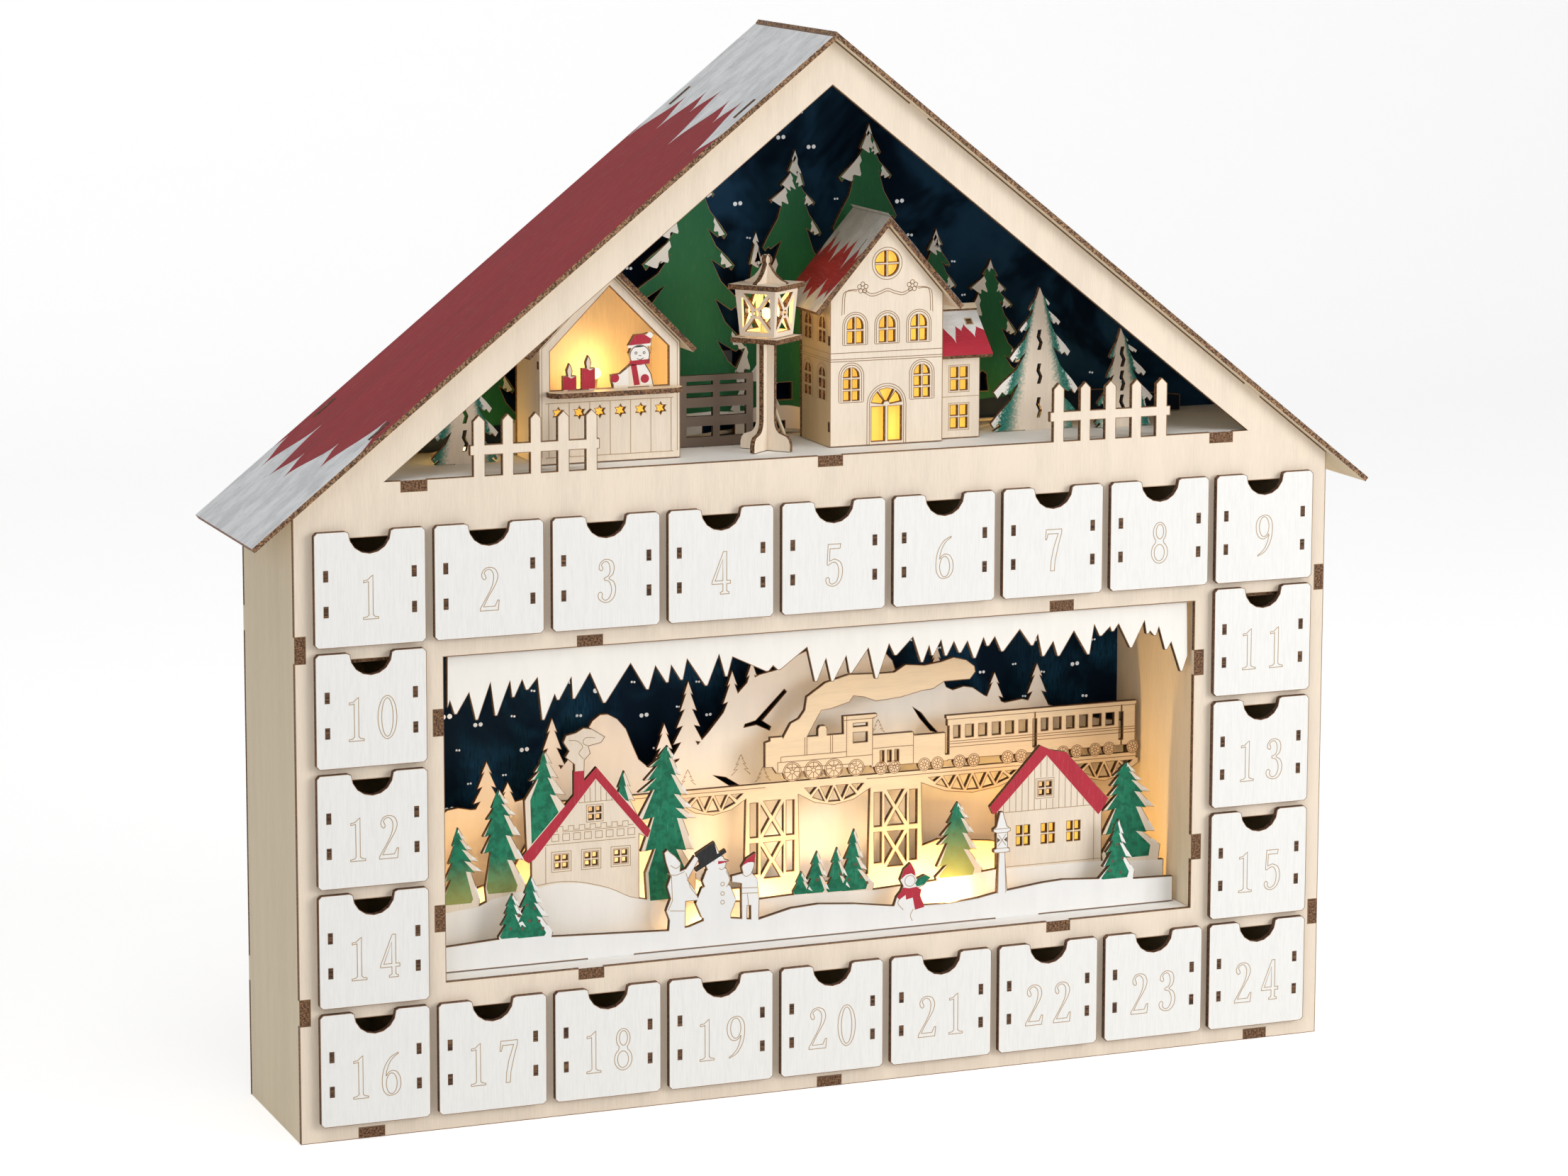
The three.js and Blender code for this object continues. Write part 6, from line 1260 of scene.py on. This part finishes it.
DRIVERS = ((2.8, 119.8, 4.2), (12.3, 119.8, 4.2), (21.3, 119.8, 4.2), (31.3, 119.3, 3.7))
SMALL_WHEELS = (42.5, 48.5, 62, 68, 78, 84.5, 100, 106.3, 125.5, 132, 140.5, 147, 158)


def train_lines():
    lines = []
    for wheel in (*DRIVERS, *((x, 118.2, 2.9) for x in SMALL_WHEELS)):
        lines += spoked_wheel(*wheel)
    lines += [[(-3.6, 124.2), (38.6, 124.2)], [(-3.6, 124.2), (-3.6, 119.6)], [(-2.2, 126.4), (27, 126.4)],
              [(-2.2, 124.2), (-2.2, 126.4)], [(8.4, 126.4), (8.4, 134)], [(9.3, 126.4), (9.3, 134)],
              [(19.8, 126.4), (19.8, 134)], [(20.7, 126.4), (20.7, 134)], [(27, 124.2), (27, 141.4)],
              [(38.6, 119.6), (38.6, 139.4)], [(25.4, 139.6), (39.6, 139.6)], [(0.5, 121.6), (31, 121.0)],
              [(38.8, 126.8), (57, 126.8)], [(57, 119), (57, 132)], [(38.8, 119), (57, 119)]]
    for left, right in ((72.6, 112.2), (112.8, 152.4), (153, 159.2)):
        lines += [[(left, z), (right, z)] for z in (124.6, 126.0, 127.0, 136.4)]
    lines += [[(-104, 114.2), (-9, 114.2)], [(36, 114.2), (159.6, 114.2)]]
    engraved("train_lines", front_of(TRAIN_FRONT), lines, width=0.30, material=scorched)


def small_fir_lines(x, foot, height, half):
    """The outline of a small fir as one engraved line with notched flanks."""
    tiers = 4
    points = [(x, foot + height)]
    for tier in range(1, tiers + 1):
        z = foot + height * (1 - tier / tiers)
        points += [(x + half * tier / tiers, z + 0.5), (x + half * tier / tiers * 0.5, z + 0.7)]
    right = points[1:-1]
    left = [(2 * x - u, v) for u, v in right]
    return left[::-1] + points[:1] + right


def mountain_lines():
    firs = [small_fir_lines(-38.6, 114.5, 7, 3.4), small_fir_lines(-15.2, 117, 9, 4.2),
            small_fir_lines(-5.4, 113.5, 6.5, 3.4), small_fir_lines(46.1, 130, 6, 3)]
    engraved("mountain_lines", front_of(MOUNTAIN_FRONT), firs, width=0.35)


def bank_figures():
    face = front_of(BANK_FRONT)
    hat = [[(-52.9, 91.0), (-40.1, 97.9), (-40.6, 99.2), (-44.0, 97.6), (-45.3, 102.7), (-53.1, 98.3),
            (-51.2, 93.6), (-53.3, 92.2)]]
    painted("snowman_hat_paint", face, hat, hat_black, "dark_ply")
    painted("snowman_nose_paint", face, [[(-43.6, 94.6), (-38.9, 94.4), (-41.2, 93.7), (-43.6, 93.3)]],
            bright_red, "red_paint")
    reds = [[(-33.2, 91.8), (-31.9, 93.9), (-29.2, 95.6), (-27.6, 96.6), (-28.1, 92.6), (-29.0, 93.0),
             (-31.0, 92.9)],
            [(36.2, 79.8), (37.7, 83.9), (40.6, 86.3), (42.3, 83.2), (42.6, 80.8), (40.8, 82.0),
             (38.4, 81.6)],
            [(37.3, 76.4), (36.4, 74.9), (34.5, 72.8), (35.6, 71.4), (38.4, 73.2), (38.6, 71.2), (41.6, 71.8),
             (42.6, 66.6), (46.8, 67.4), (44.8, 72.4), (45.4, 74.8), (43.2, 76.2), (40.0, 75.8)]]
    painted("children_red_paint", face, reds, bright_red, "red_paint")
    painted("scarf_green_paint", face, [[(43.4, 76.3), (46.4, 76.8), (49.3, 79.6), (47.0, 80.8), (43.6, 79.4),
                                         (42.6, 77.6)]], scene_green, "green_paint")
    lines = [arc(-41.7, z, 0.8, steps=10) for z in (85, 81.1, 77.5)]
    lines += [smooth(curve) for curve in (
        [(-50, 84), (-51.2, 88), (-49.6, 91.2)], [(-40.2, 90.3), (-38.6, 86.5), (-40, 83.6)],
        [(-46.6, 94.4), (-46, 95.1), (-45.2, 94.6)], [(-43.2, 91.6), (-42, 91), (-40.8, 91.8)],
        [(-64, 94.6), (-61.6, 93.2), (-60, 94.2)], [(-65.4, 91.4), (-62, 90.4), (-58, 91.6)],
        [(-33.2, 88.4), (-31.4, 87.2), (-29.2, 88.2)], [(36.4, 72.6), (35, 70), (37.4, 67)],
        [(41.8, 67), (40.6, 64.4), (41.4, 62)])]
    lines += [[(-63.6, 90.4), (-63.2, 80), (-65, 76.2)], [(-57.4, 91), (-55.6, 85), (-52.6, 81)],
              [(-64.2, 76), (-58, 75.4)], [(-33.4, 82.6), (-26.2, 82.2)], [(-33.4, 80.4), (-26, 80)],
              [(-31, 80), (-30.4, 75)], arc(40.3, 78.9, 2.3, steps=14)]
    lines += [[(78.8, 89), (84, 89)], [(78.8, 95.5), (84, 95.5)], [(77.7, 87.2), (84.9, 87.2)],
              [(77.6, 97.2), (85.1, 97.2)], [(79.6, 90), (83.2, 94.8)], [(83.2, 90), (79.6, 94.8)],
              [(80, 87), (79.7, 70)], [(82.7, 87), (83.3, 70)]]
    engraved("figure_lines", face, lines)
    # Painted shade: dark triangles for the holes in the lamp post
    holes = [[(79.2, 91.4), (80.6, 92.5), (79.2, 93.6)], [(83.6, 91.4), (82.2, 92.5), (83.6, 93.6)]]
    painted("lamp_post_holes", face, holes, dark_line, "dark_ply")


# The village in the attic

def stall_marks():
    face = front_of(STALL_FRONT)
    candles = [[(left + 0.1, 288.4), (left + 5.4, 288.4), (left + 5.4, top - 0.1), (left + 3.4, top - 1.0),
                (left + 2.0, top - 0.2), (left + 0.1, top - 0.3)] for left,
               top in ((-107.3, 293.8), (-99.5, 296.6))]
    hat = [[(-80.0, 304.7), (-71.2, 305.2), (-70.9, 307.2), (-73.6, 308.9), (-77.4, 308.7)]]
    scarf = [[(-79.8, 296.6), (-71.4, 297.2), (-71.2, 299.0), (-79.6, 298.6)],
             [(-79.2, 297.2), (-76.8, 297.0), (-75.4, 289.0), (-77.8, 288.8)]]
    mittens = [disc(-85.8, 292.1, 1.8, 12), disc(-73.3, 291.3, 1.8, 12)]
    painted("stall_red_paint", face, candles + hat + scarf + mittens, bright_red, "red_paint",
            high=PAINT * 1.2)
    whites = [[(-80.2, 303.6), (-70.8, 304.2), (-70.8, 305.5), (-80.2, 304.9)], disc(-71.2, 308.4, 1.3, 12),
              disc(-75.4, 300.6, 3.9, 20), [(-86, 289), (-80, 289), (-80.4, 296.4), (-83.4, 293.6),
                                            (-87, 293)],
              [(-74.6, 289), (-70, 289), (-71, 293), (-73.4, 297), (-77, 296.8)]]
    painted("stall_white_paint", face, whites, figure_white, "snow_paint")
    lines = [smooth([(-86.4, 289), (-87.2, 291.4), (-86.8, 293.2), (-83.6, 293.9), (-78.6, 297.4)]),
             smooth([(-70, 289), (-70.8, 293), (-73.2, 297)]), arc(-75.4, 300.6, 4.1, -60, 200, 18),
             arc(-77, 301.6, 0.45, steps=8), arc(-73.6, 301.6, 0.45, steps=8),
             smooth([(-76.6, 299.4), (-75.2, 298.9), (-73.8, 299.6)]), [(-75.8, 300.6), (-74.8, 300.4)]]
    for left, top in ((-107.3, 293.8), (-99.5, 296.6)):
        lines.append(joined(smooth([(left + 2.0, top), (left + 1.7, top + 2.2), (left + 2.7, top + 4.6),
                                    (left + 3.7, top + 2.2), (left + 3.4, top)])))
    engraved("stall_figure_lines", face, lines, material=dark_line, high=PAINT * 2)
    left, right = STALL_X - STALL_HALF_WIDTH, STALL_X + STALL_HALF_WIDTH
    planks = [[(x, 261.9), (x, 283.3)] for x in np.arange(-113.3, -61.0, 8.5)]
    planks += [[(-114.6, 283.3), (-61.4, 283.3)], [(-114.6, 261.9), (-61.4, 261.9)],
               [(left + 1.2, 305), (STALL_X, 333.4), (right - 1.2, 305), (right - 1.2, 262)],
               [(left + 1.2, 305), (left + 1.2, 262)]]
    engraved("stall_planks", face, planks)
    lit_film("stall_stars_glow", front_of(STALL_FRONT + SHEET + FILM_GAP), box(-113.5, 275.6, -62.6, 282.8))


def garland():
    """A rope between two bows, with hanging ends, drawn as double lines."""
    swag = smooth([(20.6, 321.8), (24, 320), (27.5, 320.6), (31, 321.8), (34.5, 320.6), (38, 320),
                   (41.6, 321.8)])
    lines = [swag + (0, 0.5), swag - (0, 0.5)]
    for side, x in ((-1, 20.3), (1, 41.9)):
        for petal in range(5):
            angle = math.radians(90 + petal * 72)
            lines.append(arc(x + 1.5 * math.cos(angle), 323 + 1.5 * math.sin(angle), 0.9, steps=8))
        drop = smooth([(x + side * 1.6, 322.2), (x + side * 4.4, 322.4), (x + side * 7.4, 321.0),
                       (x + side * 8.0, 312.6)])
        lines += [drop, drop + (side * 1.0, -0.4)]
    return lines


def house_marks():
    face = front_of(HOUSE_FRONT)
    left, right = HOUSE_LEFT, HOUSE_RIGHT
    lines = garland()
    lines += [arc(HOUSE_X, 332.4, 6.5, steps=32), arc(HOUSE_X, 332.4, 5.3, steps=32),
              [(left + 0.3, 297.0), (right - 0.3, 297.0)], [(left + 0.3, 294.5), (right - 0.3, 294.5)],
              [(left + 0.3, 293.6), (right - 0.3, 293.6)]]
    for x in (17.1, 31, 44.8):
        for grow in (1.2, 2.0):
            lines.append(arched(x, 3.4 + grow, 300.8 - grow * 0.3, 307.9))
        lines.append([(x - 5.2, 300.1), (x + 5.2, 300.1)])
    for x in (15.5, 46.3):
        for grow in (1.1, 2.0):
            lines.append(arched(x, 3.4 + grow, 277.7 - grow * 0.3, 287.5))
        lines.append([(x - 5.2, 276.9), (x + 5.2, 276.9)])
    lines += [arched(30.9, 7.5, 259.4, 275.4), arched(30.9, 8.5, 259.4, 275.4)]
    engraved("house_lines", face, lines, material=scorched)
    gable = [(left + 2.4, 259.6), (right - 2.4, 259.6), (right - 2.4, 318.2), (HOUSE_X, 343.4),
             (left + 2.4, 318.2)]
    lit_film("house_window_film", front_of(HOUSE_FRONT + SHEET + FILM_GAP), gable)
    side = left_of(left)
    side_lines = [arched(-y, 3.4 + grow, low - grow * 0.3, spring)
                  for y in (25.5, 40.5)
                  for low, spring in ((300.8, 307.9), (277.7, 287.5))
                  for grow in (1.1, 1.9)]
    side_lines += [[(-48.6, z), (-17.4, z)] for z in (297.0, 294.5, 293.6)]
    engraved("house_side_lines", side, side_lines)
    lit_film("house_side_film", left_of(left + SHEET + FILM_GAP), box(-46.6, 260, -20.2, 317))
    marks("house_tab_ends", side, [box(-19.0, low, -17.0, high) for low, high in HOUSE_TABS], end_grain)
    lit_film("annex_window_film", front_of(ANNEX_FRONT + SHEET + FILM_GAP), box(56.3, 259.6, 71.6, 293))
    annex = front_of(ANNEX_FRONT)
    middle = (HOUSE_RIGHT + SEAT + ANNEX_RIGHT) / 2
    annex_lines = [frame_line(middle - 4.5, z - 5.5, middle + 4.5, z + 5.5) for z in (283.5, 268)]
    annex_lines += [[(56, 276.2), (73.8, 276.2)]]
    engraved("annex_lines", annex, annex_lines)


def stall_tabs():
    ends = [box(-STALL_FRONT - SHEET, low, -STALL_FRONT, high) for low, high in STALL_TABS]
    marks("stall_tab_ends", left_of(STALL_X - STALL_HALF_WIDTH), ends, end_grain)


# The night sky


def star_pairs():
    """Pairs of soft dots on the back panel, in four sizes, scattered by steps of two irrational shares."""
    index = np.arange(STAR_PLACES)
    x = -STAR_HALF_SPAN + 2 * STAR_HALF_SPAN * np.mod(index * STAR_STEP_X, 1)
    z = STAR_BOTTOM + STAR_RISE * np.mod(index * STAR_STEP_Z, 1)
    gable = APEX_HEIGHT - 22 - np.abs(x) * math.tan(ROOF_PITCH)
    attic = (z > 262) & (z < gable) & ~((x > -86) & (x < -12) & (z < 300))
    window = (z < 186) & (np.abs(x) < 158)
    keep = attic | window
    x, z, size = x[keep], z[keep], (0.46 + 0.44 * (index % 3 == 0) + 0.18 * (index % 4 == 0))[keep]
    lean = np.sin(index[keep] * 2.1) * 0.25
    centres = np.stack([np.concatenate([x - size * 1.25, x + size * 1.25]),
                        np.concatenate([z - lean * 0.4, z + lean * 0.4])], 1)
    dots = [filled([disc(*centre, radius, 8)], PAINT) for centre, radius in zip(centres, np.tile(size, 2))]
    gathered("sky_stars", front_of(BACK_PANEL_FRONT), dots, star_dot, "night_sky")


# The stars are paint on the back panel, yet they glow a little: painted glow
star_dot = glowing("star_dot", STAR_WHITE, 0.35)

# Lamps: a lead along the source's points, with a glass bead at each lamp

LEAD_WEST = (
    (-19, 68, 270), (-16, 68, 270), (-13, 67.8, 268.4), (-12, 67.2, 264), (-16, 65.6, 261), (-25, 61, 260.6),
    (-45, 51, 260.6), (-70, 48.5, 260.6), (-84, 46, 262), (-87, 39, 274), (-87.4, 33, 289), (-88, 31.6, 292),
    (-89, 32.6, 289), (-91, 37, 276), (-95, 46, 262), (-106, 52, 260.6), (-125, 47, 260.6), (-140, 39, 262),
    (-152, 45, 260.6), (-142, 54, 260.6), (-110, 56.5, 260.6), (-70, 56, 260.6), (-40, 49, 260.6),
    (-14, 46, 260.6), (-6, 37, 260.8), (-9, 28.5, 264), (-13.4, 26.8, 274), (-17.5, 26.8, 290),
    (-18.2, 26.8, 301), (-19.5, 25.4, 308), (-19.5, 21.6, 314),
)
LEAD_EAST = (
    (-12.6, 67.5, 266), (-12, 67.2, 264), (-8.5, 65.4, 261), (-2, 60.8, 260.6),
    (8, 55, 260.6), (18, 52, 260.6), (23, 46, 261.4), (25, 38, 269), (29.4, 34.4, 289.4), (31, 34, 291.4),
    (32.6, 34, 289.4), (37, 33.6, 273), (45, 33, 262), (56, 33, 260.6), (61, 32, 264), (63.8, 31, 274),
    (65, 31, 275.4), (66.2, 31, 274), (69, 32, 264), (73, 33, 260.6), (84, 40, 260.6), (104, 40, 262),
    (112, 46, 260.6), (104, 54, 260.6), (80, 56, 260.6), (60, 57, 260.6), (52, 61, 260.8), (48.6, 66.6, 260),
    (48, 68, 256), (48, 68, 240), (48, 68, 200), (48, 68, 180), (48, 67, 120), (48, 67, 78), (49, 67, 66),
    (53, 65.6, 62), (58, 61.4, 61.4), (63, 55, 61.4), (66, 49, 61.4), (71, 44, 61.4), (82, 41, 61.4),
    (98, 41, 61.8), (105, 38.4, 63), (102, 35.4, 63.8), (96, 35, 64), (60, 35, 64), (24, 35, 64),
    (-14, 35, 64), (-52, 35, 64), (-90, 35, 64), (-128, 35, 64),
)
LAMPS = ((-88, 31.6, 292), (-140, 39, 262), (-19.5, 21.6, 314), (31, 34, 291.4), (65, 31, 275.4),
         (104, 40, 262), (96, 35, 64), (60, 35, 64), (24, 35, 64), (-14, 35, 64), (-52, 35, 64),
         (-90, 35, 64), (-128, 35, 64))
LAMP_POWERS = (0.055, 0.035, 0.06, 0.03, 0.04, 0.025, 0.20, 0.16, 0.13, 0.14, 0.15, 0.15, 0.18)
# Light that comes forward under the hill and glows behind the bank
BANK_GLOWS = ((-46, 16.8, 64), (61, 16.8, 68))
BANK_GLOW_POWERS = (0.008, 0.022)
LEAD_RADIUS = 1.0
LAMP_RADIUS = 2.5


def centripetal(points, steps=6):
    """A centripetal Catmull-Rom curve through the points, whose knots lie at the roots of their distances."""
    points = np.asarray(points, float)
    ends = np.concatenate([[2 * points[0] - points[1]], points, [2 * points[-1] - points[-2]]])
    knot = np.concatenate([[0], np.cumsum(np.sqrt(np.linalg.norm(np.diff(ends, axis=0), axis=1)))])
    count = len(points) - 1
    t0, t1, t2, t3 = (knot[i:i + count, None, None] for i in range(4))
    p0, p1, p2, p3 = (ends[i:i + count, None] for i in range(4))
    t = t1 + (t2 - t1) * (np.arange(steps) / steps)[None, :, None]

    def between(low, high, first, second):
        return (first * (high - t) + second * (t - low)) / (high - low)

    a1, a2, a3 = between(t0, t1, p0, p1), between(t1, t2, p1, p2), between(t2, t3, p2, p3)
    curve = between(t1, t2, between(t0, t2, a1, a2), between(t1, t3, a2, a3))
    return np.concatenate([curve.reshape(-1, 3), points[-1:]])


def tube(path, radius, sides=10):
    """A round profile carried along the path, across its tangents, with a flat cap at each end."""
    tangent = unit(np.gradient(path, axis=0))
    aside = unit(np.cross(tangent, (0.43, -0.36, 0.83)))
    above = np.cross(tangent, aside)
    angle = np.arange(sides) * 2 * math.pi / sides
    cos, sin = np.cos(angle)[:, None], np.sin(angle)[:, None]
    rings = path[:, None] + radius * (aside[:, None] * cos + above[:, None] * sin)
    count = len(path)
    row = np.arange(count - 1)[:, None] * sides
    here, there = np.arange(sides), np.roll(np.arange(sides), -1)
    walls = np.stack([row + here, row + there, row + sides + there, row + sides + here], 2).reshape(-1, 4)
    faces = walls.tolist() + [here[::-1].tolist(), (here + (count - 1) * sides).tolist()]
    return rings.reshape(-1, 3), faces


def bead(centre, radius, around=12, rings=7):
    """A glass bead: latitude and longitude on a sphere."""
    polar = np.linspace(0, math.pi, rings + 2)[1:-1, None]
    turn = np.arange(around) * 2 * math.pi / around
    shell = np.stack([np.sin(polar) * np.cos(turn), np.sin(polar) * np.sin(turn),
                      np.cos(polar) * np.ones(around)], 2).reshape(-1, 3)
    verts = np.concatenate([shell, [(0, 0, 1), (0, 0, -1)]]) * radius + centre
    row = np.arange(rings - 1)[:, None] * around
    here, there = np.arange(around), np.roll(np.arange(around), -1)
    walls = np.stack([row + here, row + around + here, row + around + there, row + there], 2).reshape(-1, 4)
    top, bottom, last = rings * around, rings * around + 1, (rings - 1) * around
    faces = walls.tolist() + [[top, a, b] for a, b in zip(here, there)]
    faces += [[bottom, last + b, last + a] for a, b in zip(here, there)]
    return verts, faces


def lamp_piece(name, parts, material):
    """Closed meshes in millimetres, joined in one smooth piece."""
    verts, faces = merged(parts)
    return make_piece(name, (verts + (0, FRONT, 0)) * MM, faces, material, "lamp_lead", smooth=True)


def lamps():
    sheath = plain_finish("lead_sheath", (0.62, 0.52, 0.36), 0.5)
    glass = glowing("lamp_glass", (1.0, 0.72, 0.32), 2.6, 0.95)
    paths = [centripetal(points) for points in (LEAD_WEST, LEAD_EAST)]
    lead = lamp_piece("lamp_lead", [tube(path, LEAD_RADIUS * 0.8) for path in paths], sheath)
    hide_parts("led_string")
    lamp_piece("lamp_beads", [bead(np.array(place, float), LAMP_RADIUS * 0.92) for place in LAMPS], glass)
    lights = zip(LAMPS + BANK_GLOWS, LAMP_POWERS + BANK_GLOW_POWERS)
    for number, ((x, y, z), power) in enumerate(lights, 1):
        light = bpy.data.lights.new(f"lamp_{number:02d}", "POINT")
        light.energy = power
        light.color = AMBER_LIGHT if z > ATTIC_FLOOR or x > 90 else WARM_LIGHT
        light.shadow_soft_size = LAMP_RADIUS * 1.1 * MM
        placed(light.name, light).location = (x * MM, (y + FRONT) * MM, z * MM)


for node, depth in (("train_and_bridge", TRAIN_FRONT), ("mountains", MOUNTAIN_FRONT),
                    ("snow_bank", BANK_FRONT), ("hill_with_houses", HILL_FRONT),
                    ("icicle_valance", VALANCE_FRONT), ("stall_walls", STALL_FRONT),
                    ("house_walls", HOUSE_FRONT), ("annex_walls", ANNEX_FRONT),
                    ("fir_backdrop", BACKDROP_FRONT), ("front_panel", 0)):
    burnt_rim(f"{node}_rim", node, depth)
number_marks()
main_roof_snow()
small_roof_snow()
scene_firs()
wood_firs_snow()
chalet()
hill_house()
train_lines()
mountain_lines()
bank_figures()
stall_marks()
stall_tabs()
house_marks()
star_pairs()
lamps()


# Floor, light and camera

def floor():
    """A wide pale floor that turns up behind the object in one sweep: a profile carried along X."""
    bend = np.linspace(0, math.pi / 2, 9)
    radius, reach, height, half = 0.6, 1.6, 3.0, 6.0
    y = np.concatenate([[-5.0], reach + radius * np.sin(bend), [reach + radius]])
    z = np.concatenate([[0.0], radius - radius * np.cos(bend), [height]])
    verts = np.stack([np.repeat([-half, half], len(y)), np.tile(y, 2), np.tile(z, 2)], 1)
    here = np.arange(len(y) - 1)
    faces = np.stack([here, here + len(y), here + len(y) + 1, here + 1], 1).tolist()
    thing = surface("floor", verts, faces, floor_paper(), True)


def floor_paper():
    """Pale paper that takes light and shadow; the rays of the camera and of gloss see it whiter."""
    material = bpy.data.materials.new("floor_paper")
    material.use_nodes = True
    tree = material.node_tree
    shader = tree.nodes["Principled BSDF"]
    shader.inputs["Base Color"].default_value = (0.80, 0.80, 0.80, 1)
    shader.inputs["Roughness"].default_value = 0.9
    rays = tree.nodes.new("ShaderNodeLightPath")
    seen = Field(tree, rays.outputs["Is Camera Ray"]).either(Field(tree, rays.outputs["Is Glossy Ray"]))
    plug(tree, seen * FLOOR_LIFT, shader.inputs["Emission Strength"])
    shader.inputs["Emission Color"].default_value = (1, 1, 1, 1)
    return material


def area_light(name, place, size, power):
    light = bpy.data.lights.new(name, "AREA")
    light.energy = power
    light.size = size
    thing = placed(name, light)
    thing.location = place
    thing.rotation_euler = (Vector(LIGHT_TARGET) - Vector(place)).to_track_quat("-Z", "Y").to_euler()


def camera():
    """The photograph's view: from the left and above, with a long lens."""
    lens = bpy.data.cameras.new("camera")
    lens.lens = CAMERA_FOCAL
    lens.sensor_width = 36
    lens.shift_x, lens.shift_y = CAMERA_SHIFT
    thing = placed("camera", lens)
    x, y, z = CAMERA_PLACE
    thing.location = (x * MM, (y + FRONT) * MM, z * MM)
    thing.rotation_euler = (math.pi / 2 - CAMERA_PITCH, 0, -CAMERA_YAW)
    bpy.context.scene.camera = thing


floor()
camera()
for light_settings in AREA_LIGHTS:
    area_light(*light_settings)
world = bpy.data.worlds.new("studio")
world.use_nodes = True
world.node_tree.nodes["Background"].inputs["Color"].default_value = (1, 1, 1, 1)
world.node_tree.nodes["Background"].inputs["Strength"].default_value = WORLD_STRENGTH
bpy.context.scene.world = world
bpy.context.scene.view_settings.view_transform = "Standard"
